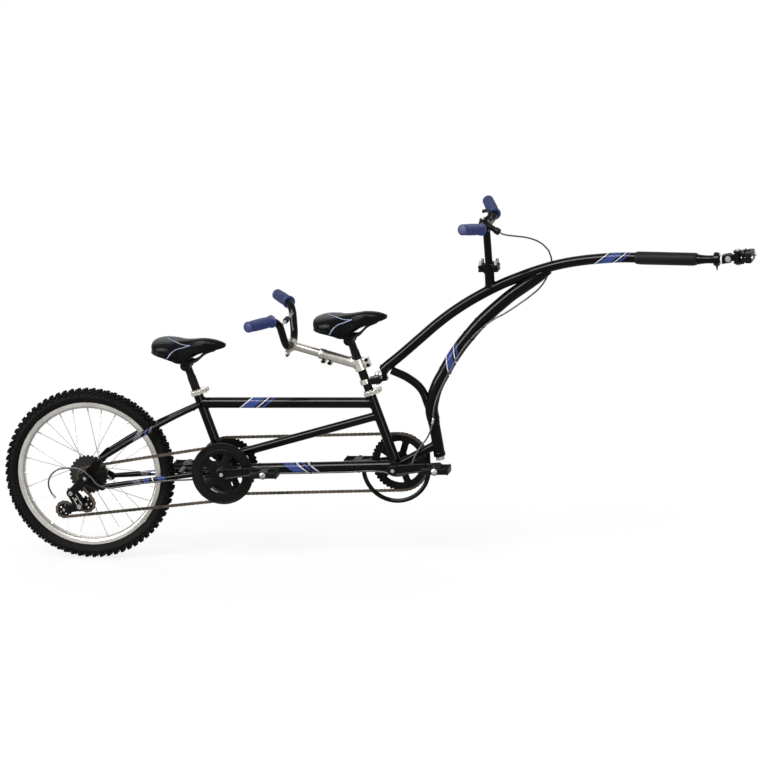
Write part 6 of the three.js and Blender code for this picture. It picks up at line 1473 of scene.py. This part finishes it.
# Rear rider's bar. A black steel tube bent up on each side of the stem and back to the grips, with a thin bright
# brace across it, and ribbed blue rubber grips with a flange inside.
STOKER_BAR_RADIUS, BRACE_RADIUS, BRACE_MIDDLE = 11.1, 4.5, (608.4, 0, 457.7)
STOKER_GRIP = [(592, 125, 482), (538, 215, 485)]
half_bar = [(618, 58, 383), (605.4, 102.7, 481.3), between(*STOKER_GRIP, 0.9)]
stoker_tube = bar(mirrored(half_bar[::-1], -1) + half_bar, STOKER_BAR_RADIUS, bend=34)
fitted("stoker_bar_tube", [stoker_tube], "stoker_bar_unit", "frame_paint", PLAIN_PAINT, "stoker_bar")
brace_rod = bar([(608.4, -94, 457.7), (608.4, 94, 457.7)], BRACE_RADIUS, sides=20)
brace_welds = [bead(BRACE_MIDDLE, (608.4, side * 95, 457.7), BRACE_RADIUS, (608.6, side * 91.4, 457.7),
                    (-0.126, side * 0.447, 0.983), STOKER_BAR_RADIUS) for side in (-1, 1)]
fitted("stoker_bar_brace", [brace_rod, *brace_welds], "stoker_bar_unit", "steel", BOLT_STEEL, "stoker_bar")
knob = turned([(0, -15), (6.5, -15), (8.4, -13), (8.4, -5), (7.4, -4), (7.4, 4), (8.4, 5), (8.4, 13), (6.5, 15),
               (0, 15)], at=BRACE_MIDDLE, along=ACROSS, steps=28)
fitted("stoker_brace_sleeve", [knob], "stoker_bar_unit", "black_plastic", BLACK_PLASTIC)
GRIP_LENGTH, GRIP_RIBS = 108, 15
BLUE_RUBBER = surface("blue_rubber", (0.019, 0.031, 0.125), (0.025, 0.039, 0.135), 0.55, spread=0.2, grain=900,
                      bump=0.12, dust=0.03, scratch=0.04, glint=0.2)[0]


def grip(name, start, tip, body, node):
    """A rubber grip: a thumb flange, ribs all the way, and a rounded end."""
    outline = [(11.2, 0), (17.6, 0), (19, 1.2), (19, 3.8), (17.8, 5), (16, 6.2)]
    pitch = (GRIP_LENGTH - 16) / GRIP_RIBS
    for rib in range(GRIP_RIBS):
        foot = 7.2 + rib * pitch
        swell = 16.0 + 1.1 * math.sin(math.pi * rib / (GRIP_RIBS - 1))
        outline += [(swell - 1.5, foot), (swell, foot + 0.5), (swell, foot + pitch * 0.5),
                    (swell - 1.5, foot + pitch * 0.62)]
    outline += [(16.4, GRIP_LENGTH - 8), (16.2, GRIP_LENGTH - 4.4), (14.2, GRIP_LENGTH - 1.4),
                (10.5, GRIP_LENGTH), (0, GRIP_LENGTH), (0, GRIP_LENGTH - 4), (11.2, GRIP_LENGTH - 4)]
    made = turned(outline, at=start, along=(Vector(tip) - Vector(start)).normalized(), steps=40, angle=28)
    return fitted(name, [made], body, "blue_grip", BLUE_RUBBER, node)


for side, label in ((-1, "right"), (1, "left")):
    grip(f"stoker_rubber_{label}", *mirrored(STOKER_GRIP, side), "stoker_bar_unit", f"stoker_grip_{label}")

# Boom. An arched steel tube runs from the front seat post over the towing bike's wheel; a stout lower tube carries
# it down to the fold pin, a thin strut crosses behind, and a short post holds the front rider's bar. All are
# welded together and painted with the frame, with plain bands on the lower tube and ahead of the bar.
UPPER_BOOM = [(902.2, 0, 319.5), (944.6, 0, 352.9), (1003.2, 0, 401.9), (1064.8, 0, 452.7), (1126.4, 0, 496),
              (1188, 0, 531.9), (1248.6, 0, 562), (1309.2, 0, 586.5), (1369.8, 0, 607.5), (1430.4, 0, 623.5),
              (1490, 0, 633.7), (1549.6, 0, 639.8), (1610.2, 0, 643), (1668.8, 0, 641.9), (1752.6, 0, 639),
              (1842.5, 0, 637)]
LOWER_BOOM = [(1396, 0, 606), (1362, 0, 585.5), (1336, 0, 569), (1311.2, 0, 552.5), (1280, 0, 531.2),
              (1249, 0, 506.5), (1217, 0, 479.5), (1184, 0, 449), (1152, 0, 414), (1121, 0, 377),
              (1090, 0, 333), (1069, 0, 298), (1048.6, 0, 262.7), (1034, 0, 222), (1028, 0, 188.8),
              (1031.7, 0, 160)]
STRUT = [(914.3, 0, 307), (965, 0, 282), (1000, 0, 250), (1022, 0, 193.5), (1035.5, 0, 168.7)]
UPPER_RADIUS, LOWER_RADIUS, STRUT_RADIUS, FOLD_LEAN = 15, 19, 12, 7.4
BAR_POST_FOOT, CRADLE = (1218.3, 0, 544.6), (1218.3, 0, 613.06)
NECK_START, NECK_END = (1822.5, 0, 637), (1904, 0, 636.94)
LATCH = (836.1, 0, 274.05)
upper_paint = frame_paint("upper_boom_paint", stripes(
    (1548, 0, 639), (1, 0, 0.04), (0.6, 0, -0.8),
    (BAND_WHITE, 0, 5), (BAND_BLUE, 12, 34), (BAND_WHITE, 54, 5), (BAND_BLUE, 66, 8)))
lower_paint = frame_paint("lower_boom_paint", stripes(
    (1082, 0, 322), (0.57, 0, 0.82), (0.99, 0, 0.12),
    (BAND_WHITE, 0, 5), (BAND_BLUE, 7, 26), (BAND_WHITE, 40, 5), (BAND_BLUE, 52, 8)))
fitted("boom_upper_tube", [bar(UPPER_BOOM, UPPER_RADIUS, smooth=True)], "boom", "frame_paint", upper_paint,
       "boom_frame")
fitted("boom_lower_tube", [bar(LOWER_BOOM, LOWER_RADIUS, smooth=True, widths=[12, 17.5] + [19] * 14)], "boom",
       "frame_paint", lower_paint, "boom_frame")
strut_tube = bar(STRUT, STRUT_RADIUS, smooth=True)
bar_post = rod(14.3, 0, 58, at=BAR_POST_FOOT, along=UPRIGHT, steps=40)
neck = turned([(0, 0), (14.9, 0), (14.9, 6), (13.4, 26), (12, 40), (12, 78), (11, 81.5), (9, 81.5), (0, 81.5)],
              at=NECK_START, along=Vector(NECK_END) - Vector(NECK_START), steps=40)
neck_collar = turned([(12, 0), (18, 0), (19.3, 1.3), (19.3, 15), (18, 16.5), (12, 16.5)], at=(1884.5, 0, 637),
                     along=AHEAD, steps=40)
tongue = [block((49, 28, 8), beside(LATCH, 41.5, 0, lean=FOLD_LEAN), FOLD_LEAN, bevel=1.4)]
notch = block((11.6, 22, 12), beside(LATCH, 35, 0, left=5, lean=FOLD_LEAN), FOLD_LEAN, bevel=0)
cut_by(tongue[0], notch)
tongue.append(bar([(914, 0, 329.2), (902.2, 0, 319.5), (891, 0, 310.3), (887, 0, 307)], UPPER_RADIUS,
                  widths=[15, 15, 15, 13.4]))
tongue.append(block((15, 12, 44), beside(LATCH, 58.5, 22, lean=FOLD_LEAN), FOLD_LEAN, bevel=2))
foot_cap = turned([(0, -3), (15, -3), (18.2, -1.5), (19, 0.5), (19, 4), (0, 4)], at=(1031.6, 0, 163.2),
                  along=sleeve_up, steps=40)
boom_welds = [
    bead((1218.3, 0, 605), BAR_POST_FOOT, 14.3, (1218.3, 0, 547.4), (0.9, 0, 0.43), UPPER_RADIUS),
    bead((965, 0, 282), (914.3, 0, 307), STRUT_RADIUS, (905, 0, 322), (0.77, 0, 0.64), UPPER_RADIUS),
    bead((1000, 0, 205), (1035.5, 0, 168.7), STRUT_RADIUS, (1031, 0, 175), (-0.1, 0, 0.99), LOWER_RADIUS),
]
weld_side = [(1290, 556), (1312, 569), (1334, 580), (1356, 591), (1380, 601)]
for side in (-1, 1):
    boom_welds.append(bar([(x, side * 15.4, z) for x, z in weld_side], 2, smooth=True, sides=10))
fitted("boom_fittings", [strut_tube, bar_post, neck, neck_collar, *tongue, foot_cap, *boom_welds], "boom",
       "frame_paint", PLAIN_PAINT, "boom_frame")
fold_pin = turned([(0, -7), (8, -7), (8, -2.5), (11.9, -2), (11.9, 112), (0, 112)], at=SLEEVE_FOOT,
                  along=sleeve_up, steps=32)
fold_nut = hexagon(between(SLEEVE_FOOT, SLEEVE_TOP, -0.02), tuple(-c for c in sleeve_up), 13.5, 9)
fitted("fold_pin", [fold_pin, fold_nut], "boom", "steel", BOLT_STEEL, "boom_frame")

# Boom latch. A black jaw on a bright band round the front seat post takes the boom's flat tongue in a slot that
# is open to the left; a bright cam lever draws the jaw shut on the bolt.


def at_latch(ahead, up, left=0.0):
    return beside(LATCH, ahead, up, left=left, lean=FOLD_LEAN)


jaw_band = eased_ring(12.9, 17.7, 7, 0.7, at=LATCH, along=SEAT_UP, steps=40)
jaw_plates = [block((31, 34.6, 4.6), at_latch(31.5, side * 7, left=1.5), FOLD_LEAN, bevel=1.2)
              for side in (-1, 1)]
jaw_back = block((39, 2.6, 18.6), at_latch(27.5, 0, left=-15), FOLD_LEAN, bevel=1)
jaw_root = block((10, 34, 18.6), at_latch(15.2, 0, left=1.5), FOLD_LEAN, bevel=2)
fitted("latch_band", [jaw_band], "frame", "alloy", POLISHED_ALLOY, "boom_jaw")
fitted("latch_jaw", [jaw_root, *jaw_plates, jaw_back], "frame", "satin_black_metal", SATIN_BLACK, "boom_jaw")
latch_bolt = rod(4, -10, 14, at=at_latch(35, 0), along=sleeve_up, steps=16)
latch_head = hexagon(at_latch(35, -9.3), tuple(-c for c in sleeve_up), 7, 5)
latch_spring = turned([(4.1, 9.4), (7.5, 9.4), (7.5, 10.8), (4.1, 10.8)], at=at_latch(35, 0), along=sleeve_up,
                      steps=20)
fitted("latch_bolt", [latch_bolt, latch_head, latch_spring], "frame", "steel", BOLT_STEEL, "boom_jaw")
cam_lever("boom_latch_lever", (868.66, 0, 295.2), (0.99167, 0, 0.1288), (0, 1, 0), "boom_cam")

# Boom pad. A sleeve of foam in a smooth black cover, wrapped round the boom where it passes the towing rider's
# back wheel, and closed along the underside by a sewn edge.
PAD_START, PAD_END = (1651.6, 0, 642.3), (1836.6, 0, 637.6)
PAD_COVER = surface("pad_cover", (0.006, 0.006, 0.007), (0.011, 0.011, 0.012), 0.5, spread=0.2, grain=1200,
                    bump=0.14, dust=0.01, scratch=0.03, glint=0.05)[0]
pad_way = (Vector(PAD_END) - Vector(PAD_START)).normalized()
pad_long = (Vector(PAD_END) - Vector(PAD_START)).length
pad_outline = [(15.2, 0.5), (17.4, 0.2), (18.6, 1.5), (19, 4), (19, pad_long - 4), (18.6, pad_long - 1.5),
               (17.4, pad_long - 0.2), (15.2, pad_long - 0.5)]
pad_cover = puffed(turned([(0, 0.5), *pad_outline[1:-1], (0, pad_long - 0.5)], at=PAD_START, along=pad_way,
                          steps=48), 0.8, voxel=4.0)
for share in (0.03, 0.97):
    middle = between(PAD_START, PAD_END, share)
    pinched(pad_cover, [(middle[0], 20 * math.cos(math.radians(turn)),
                         middle[2] + 20 * math.sin(math.radians(turn))) for turn in range(0, 361, 15)],
            depth=0.9, width=5)
underside = [between(PAD_START, PAD_END, step / 12) for step in range(13)]
pad_seam = sewn(pad_cover, [(x, -4, z - 19.6) for x, _, z in underside], 0.9, 0.1)
soft_pad = fitted("boom_pad_cover", [pad_cover, pad_seam], "boom", "pad_foam", PAD_COVER, "boom_pad")

# Bar cradle. The foot of the front rider's bar lies across the bike in a half bearing on the boom's post, under
# a black cap with raised ears that four bright bolts hold down.
CRADLE_RADIUS, CRADLE_HALF = 17.1, 22
CAP_BOLT_AHEAD, CAP_BOLT_LEFT = 22.2, 15.4
half_shell = [(11.3, -CRADLE_HALF), (16.3, -CRADLE_HALF), (CRADLE_RADIUS, -CRADLE_HALF + 0.8),
              (CRADLE_RADIUS, CRADLE_HALF - 0.8), (16.3, CRADLE_HALF), (11.3, CRADLE_HALF)]
lower_half = turned(half_shell, at=CRADLE, along=ACROSS, steps=48)
cut_by(lower_half, block((50, 60, 30), (CRADLE[0], 0, CRADLE[2] + 15.1), bevel=0))
lower_ears = [block((14.6, 44, 8), (CRADLE[0] + side * 21.8, 0, 608), bevel=1.6) for side in (-1, 1)]
cradle_weld = bead((CRADLE[0], 0, 560), CRADLE, 14.3, CRADLE, (0, 1, 0), CRADLE_RADIUS)
fitted("bar_cradle", [lower_half, *lower_ears, cradle_weld], "boom", "satin_black_metal", SATIN_BLACK,
       "boom_frame")
upper_half = turned(half_shell, at=CRADLE, along=ACROSS, steps=48)
cut_by(upper_half, block((50, 60, 30), (CRADLE[0], 0, CRADLE[2] - 14.1), bevel=0))
cut_by(upper_half, block((40, 26, 30), (CRADLE[0], 0, CRADLE[2] + 16), bevel=0))
upper_ears = [block((14.6, 44, 8), (CRADLE[0] + side * 21.8, 0, 618), bevel=1.6) for side in (-1, 1)]
bosses = [turned([(0, 4), (6.6, 4), (6.6, 10), (5.8, 11), (0, 11)],
                 at=(CRADLE[0] + ahead * CAP_BOLT_AHEAD, left * CAP_BOLT_LEFT, CRADLE[2]), along=UPRIGHT,
                 steps=24) for ahead in (-1, 1) for left in (-1, 1)]
fitted("bar_cap", [upper_half, *upper_ears, *bosses], "boom", "satin_black_metal", SATIN_BLACK, "front_bar_cap")
cap_bolts = [socket_head((CRADLE[0] + ahead * CAP_BOLT_AHEAD, left * CAP_BOLT_LEFT, 624), (0, 0, 1), 4.8, 13)
             for ahead in (-1, 1) for left in (-1, 1)]
fitted("bar_cap_bolts", cap_bolts, "boom", "steel", BOLT_STEEL)

# Front rider's bar. A black steel tee: an upright tube with a cross foot in the cradle, and a bar across its top
# bent out, back and up into ribbed blue grips.
BAR_TOP = (1215, 0, 737)
FRONT_GRIP = [(1221, 100, 750), (1180, 205, 772)]
upright = bar([CRADLE, BAR_TOP], STOKER_BAR_RADIUS)
foot_pin = turned([(0, -26), (10.4, -26), (11.1, -25.2), (11.1, 25.2), (10.4, 26), (0, 26)], at=CRADLE,
                  along=ACROSS, steps=32)
half_front = [(1215, 66, 737), FRONT_GRIP[0], between(*FRONT_GRIP, 0.9)]
cross_bar = bar(mirrored(half_front[::-1], -1) + half_front, STOKER_BAR_RADIUS, bend=12)
bar_weld = bead(CRADLE, BAR_TOP, STOKER_BAR_RADIUS, BAR_TOP, (0, 1, 0), STOKER_BAR_RADIUS + 0.4)
fitted("front_bar_tube", [upright, foot_pin, cross_bar, bar_weld], "front_bar_unit", "frame_paint", PLAIN_PAINT,
       "front_handlebar")
for side, label in ((-1, "right"), (1, "left")):
    grip(f"front_rubber_{label}", *mirrored(FRONT_GRIP, side), "front_bar_unit", f"front_grip_{label}")

# Shifter. A thumb shifter on the right of the bar: a clamp band, a round deck, a lever that turns on a pivot
# screw, and a barrel that the gear cable's housing sits in. Black enamel with a black moulded lever.
SHIFTER, BARREL_START, BARREL_END = (1215, -36, 748.1), (1219, -34, 751.1), (1264, -44, 727)
shifter_band = eased_ring(11.3, 15.1, 8, 0.7, at=(BAR_TOP[0], SHIFTER[1], BAR_TOP[2]), along=ACROSS, steps=36)
deck = turned([(0, -2), (12.6, -2), (14, -0.6), (14, 9), (13.2, 11), (12, 12), (0, 12)], at=SHIFTER,
              along=UPRIGHT, steps=36)
barrel_way = Vector(BARREL_END) - Vector(BARREL_START)
barrel_long = barrel_way.length
barrel = turned([(0, 0), (9.4, 0), (9.2, 14), (8.2, 28), (8.0, barrel_long - 18), (9.8, barrel_long - 16),
                 (10.2, barrel_long - 12), (10.2, barrel_long - 4), (8.4, barrel_long - 1.5), (4, barrel_long),
                 (0, barrel_long)], at=BARREL_START, along=barrel_way, steps=28)
fitted("shifter_housing", [shifter_band, deck, barrel], "front_bar_unit", "satin_black_metal", SATIN_BLACK,
       "shifter_body")
pivot_screw = turned([(0, 10), (4, 10), (4, 22.2), (3.2, 23.9), (0, 23.9)], at=SHIFTER, along=UPRIGHT, steps=20)
fitted("shifter_screw", [pivot_screw], "front_bar_unit", "steel", BOLT_STEEL, "shifter_body")
lever_disc = turned([(4.2, 12.3), (11, 12.3), (12, 13.2), (12, 18.2), (11, 19.3), (4.2, 19.3)], at=SHIFTER,
                    along=UPRIGHT, steps=36)
hook = bar([(SHIFTER[0] + x, SHIFTER[1] + y, SHIFTER[2] + z) for x, y, z in
            ((2, 4, 16.3), (14, 12, 24), (12, 20, 37), (-6, 22, 36))], 5.2, smooth=True, sides=20)
fitted("shifter_thumb_lever", [lever_disc, hook], "shift_thumb", "black_plastic", BLACK_PLASTIC, "shift_lever")

# Hitch. The boom's neck ends in a steel fork behind a white nylon washer, held by a pull-out pin. A forged cross
# pitches in the fork and yaws in the yokes of a two-piece clamp that is bolted round the towing seat post.
WHITE_NYLON = surface("white_nylon", (0.72, 0.72, 0.69), (0.62, 0.61, 0.57), 0.5, grain=900, bump=0.05,
                      dust=0.1)[0]
PITCH, YAW, PULL_PIN = (1929, 0, 640.94), (1955, 0, 643.94), (1892, 0, 0)
washer = turned([(8.4, 0), (13.4, 0), (14, 0.7), (14, 5), (13.4, 5.6), (8.4, 5.6)], at=(1904.2, 0, 636.94),
                along=AHEAD, steps=36)
fitted("hitch_washer", [washer], "boom", "steel", WHITE_NYLON)
shank = rod(8.2, 0, 50, at=(1856.5, 0, 636.94), along=AHEAD, steps=28)
fork_base = block((8, 29.6, 25), (1913.9, 0, 638.4), bevel=2)
fork_ears = [plate(lobes([(1921.6, 639.8, 12), (1929, 640.94, 12.5)]), side * 8.8, side * 14.8, bevel=1.2)
             for side in (-1, 1)]
fitted("hitch_fork", [shank, fork_base, *fork_ears], "boom", "satin_black_metal", SATIN_BLACK, "hitch_receiver")
pitch_bolt = rod(5, -18.4, 18.4, at=PITCH, along=ACROSS, steps=20)
pitch_heads = [turned([(0, 0), (9, 0), (9, 3.2), (7.4, 5), (0, 5)], at=(PITCH[0], side * 14.8, PITCH[2]),
                      along=(0, side, 0), steps=28) for side in (-1, 1)]
fitted("hitch_pitch_bolt", [pitch_bolt, *pitch_heads], "boom", "steel", BOLT_STEEL, "hitch_receiver")
pull_pin = turned([(0, 604), (1.2, 604.6), (3.5, 616), (3.5, 650), (0, 650)], at=PULL_PIN, along=UPRIGHT,
                  steps=20)
pull_head = turned([(3, 649.6), (6.4, 649.6), (7.5, 650.8), (7.5, 655.4), (6.2, 657.4), (3, 657.9), (0, 657.9),
                    (0, 649.6)], at=PULL_PIN, along=UPRIGHT, steps=28)
fitted("hitch_pull_pin", [pull_pin, pull_head], "hitch_lock", "steel", SATIN_BLACK, "hitch_pin")
cross_eye = eased_ring(5.1, 11.5, 8.4, 0.9, at=PITCH, along=ACROSS, steps=32)
cross_bar_piece = block((20, 14, 20), (1943, 0, 642.4), bevel=3)
cross_knuckle = eased_ring(5.1, 10, 12.6, 0.8, at=YAW, along=UPRIGHT, steps=32)
fitted("hitch_cross_forging", [cross_eye, cross_bar_piece, cross_knuckle], "hitch_knuckle", "steel",
       SATIN_BLACK, "hitch_cross")
CLAMP_MIDDLE, CLAMP_BORE = (1980, 0, 646.94), 13.6
yokes = []
for side in (-1, 1):
    yoke_ring = turned([(5.1, 13), (12, 13), (13, 14), (13, 18.2), (12.2, 19), (5.1, 19)], at=YAW,
                       along=(0, 0, side), steps=32)
    yokes += [yoke_ring, block((24, 25, 6), (1962, 0, YAW[2] + side * 16), bevel=1.4)]
back_half = block((12, 64, 31), (1973, 0, 646.94), bevel=2)
front_half = block((19, 64, 31), (1990.5, 0, 646.94), bevel=3)
for piece in (back_half, front_half):
    pierced(piece, CLAMP_MIDDLE, (0, 0, 1), CLAMP_BORE, 40, sides=64)
    rounded(piece)
for side in (-1, 1):
    cut_by(back_half, block((10, 24, 40), (1967, side * 32, 646.94), bevel=0))
rounded(back_half)
fitted("clamp_back", [back_half, *yokes], "seat_post_clamp_unit", "satin_black_metal", SATIN_BLACK,
       "seat_post_clamp_back")
fitted("clamp_front", [front_half], "seat_post_clamp_unit", "satin_black_metal", SATIN_BLACK,
       "seat_post_clamp_front")
yaw_bolt = rod(5, -22, 22, at=YAW, along=UPRIGHT, steps=20)
yaw_heads = [hexagon((YAW[0], 0, YAW[2] + side * 19), (0, 0, side), 8, 4.6) for side in (-1, 1)]
side_bolts = []
for side in (-1, 1):
    side_bolts.append(rod(3, 1969, 2001, at=(0, side * 24, 646.94), along=AHEAD, steps=16))
    side_bolts.append(socket_head((1999.4, side * 24, 646.94), (1, 0, 0), 6, 5))
fitted("clamp_bolts", [yaw_bolt, *yaw_heads, *side_bolts], "seat_post_clamp_unit", "steel", BOLT_STEEL,
       "seat_post_clamp_back", "seat_post_clamp_front")

# Gear cable. One length of dark grey housing hangs from the shifter to the boom and goes down to the fold, and
# the next goes under the bottom tube and round in a loop to the derailleur. Metal ferrules and black ties hold it.
HOUSING_RADIUS = 2.5
HOUSING = surface("grey_cable_housing", (0.055, 0.055, 0.054), (0.035, 0.035, 0.034), 0.4, grain=1300,
                  bump=0.08, dust=0.06, glint=0.3)[0]
HANGING = [(1265.7, -44.4, 726), (1278, -44.8, 721.5), (1303, -37, 716), (1345, -22, 706), (1376, -4, 687),
           (1394, 14, 661)]
DOWN_BOOM = [(1394, 14, 661), (1399, 24, 628), (1388, 22, 590), (1368, 10, 556), (1338, 0, 530),
             (1299, -4, 503), (1262, -12, 480), (1230, -18, 464), (1195, -18.5, 439), (1157, -18.5, 404),
             (1113, -19, 347), (1086, -20, 301), (1062, -22, 257), (1047, -24, 222), (1038, -24, 190),
             (1035, -22, 160)]
ALONG_FRAME = [(1034.6, -21.9, 159.4), (1026, -20.5, 132), (1012, -18.5, 105), (996, -16.5, 86), (972, -16, 48),
               (954, -16, 7), (918, -15, -6.5), (880, -13.5, 5), (760, -13.5, 4.5), (640, -13.5, 1.7),
               (520, -13.5, -1), (450, -14, -7), (407, -16, -13.8), (360, -24, -12), (300, -46, -11),
               (240, -53.5, -12), (160, -64, -19), (100, -72, -26)]
REAR_LOOP = [(100, -72, -26), (66, -80, -27), (40, -88, -16), (20, -91, 8), (-10, -88, 30), (-47, -84, 33),
             (-80, -80, 27), (-102, -78, 8), (-110, -76, -16), (-104, -74, -42), (-92, -72, -60)]


def housing(name, run, node, *bodies):
    """A length of housing that rides on one body; given two bodies, it rides on neither and stays where it is
    drawn.
    """
    made = together(name, bar(run, HOUSING_RADIUS, smooth=True, sides=14))
    made.data.materials.clear()
    made.data.materials.append(HOUSING)
    if len(bodies) == 2:
        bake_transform(made)
    else:
        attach(made, *bodies)
    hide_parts(node)


housing("boom_housing_hanging", HANGING, "boom_cable", "front_bar_unit", "boom")
housing("boom_housing", DOWN_BOOM, "boom_cable", "boom")
housing("frame_housing", ALONG_FRAME, "frame_cable", "frame")
housing("rear_housing_loop", REAR_LOOP, "frame_cable", "frame", "derailleur_arm")


def ferrule(start, toward, long=9):
    return turned([(0, 0), (3.3, 0), (3.3, long - 1), (2.9, long), (0, long)], at=start,
                  along=Vector(toward) - Vector(start), steps=18)


fitted("fold_ferrule_above", [ferrule(DOWN_BOOM[-1], DOWN_BOOM[-2])], "boom", "steel", BOLT_STEEL)
fitted("fold_ferrule_below", [ferrule(ALONG_FRAME[0], ALONG_FRAME[1])], "frame", "steel", BOLT_STEEL)
fitted("rear_ferrule", [ferrule(REAR_LOOP[-1], REAR_LOOP[-2], 12)], "derailleur_arm", "steel", BOLT_STEEL)


def tie(tube_at, tube_along, tube_radius, cable_at):
    """A thin tie round a tube, and round the cable beside it."""
    round_tube = turned([(tube_radius, -1.5), (tube_radius + 0.9, -1.5), (tube_radius + 0.9, 1.5),
                         (tube_radius, 1.5)], at=tube_at, along=tube_along, steps=36)
    round_cable = turned([(2.6, -1.5), (3.6, -1.5), (3.6, 1.5), (2.6, 1.5)], at=cable_at, along=tube_along,
                         steps=20)
    return [round_tube, round_cable]


frame_ties = []
for share in (0.2, 0.5, 0.78):
    middle = between(REAR_SHELL, FRONT_SHELL, share)
    frame_ties += tie(middle, Vector(FRONT_SHELL) - Vector(REAR_SHELL), TOP_TUBE,
                      (middle[0], -13.5, middle[2] - 13.5))
fitted("frame_cable_ties", frame_ties, "frame", "black_plastic", BLACK_PLASTIC)
boom_ties = []
for place, way, cable in (((1184, 0, 449), (0.7, 0, 0.71), (1195, -18.5, 439)),
                          ((1149.2, 0, 410.8), (0.66, 0, 0.75), (1157, -18.5, 404)),
                          ((1074.7, 0, 307.7), (0.51, 0, 0.86), (1086, -20, 301))):
    boom_ties += tie(place, way, LOWER_RADIUS, cable)
fitted("boom_cable_ties", boom_ties, "boom", "black_plastic", BLACK_PLASTIC)
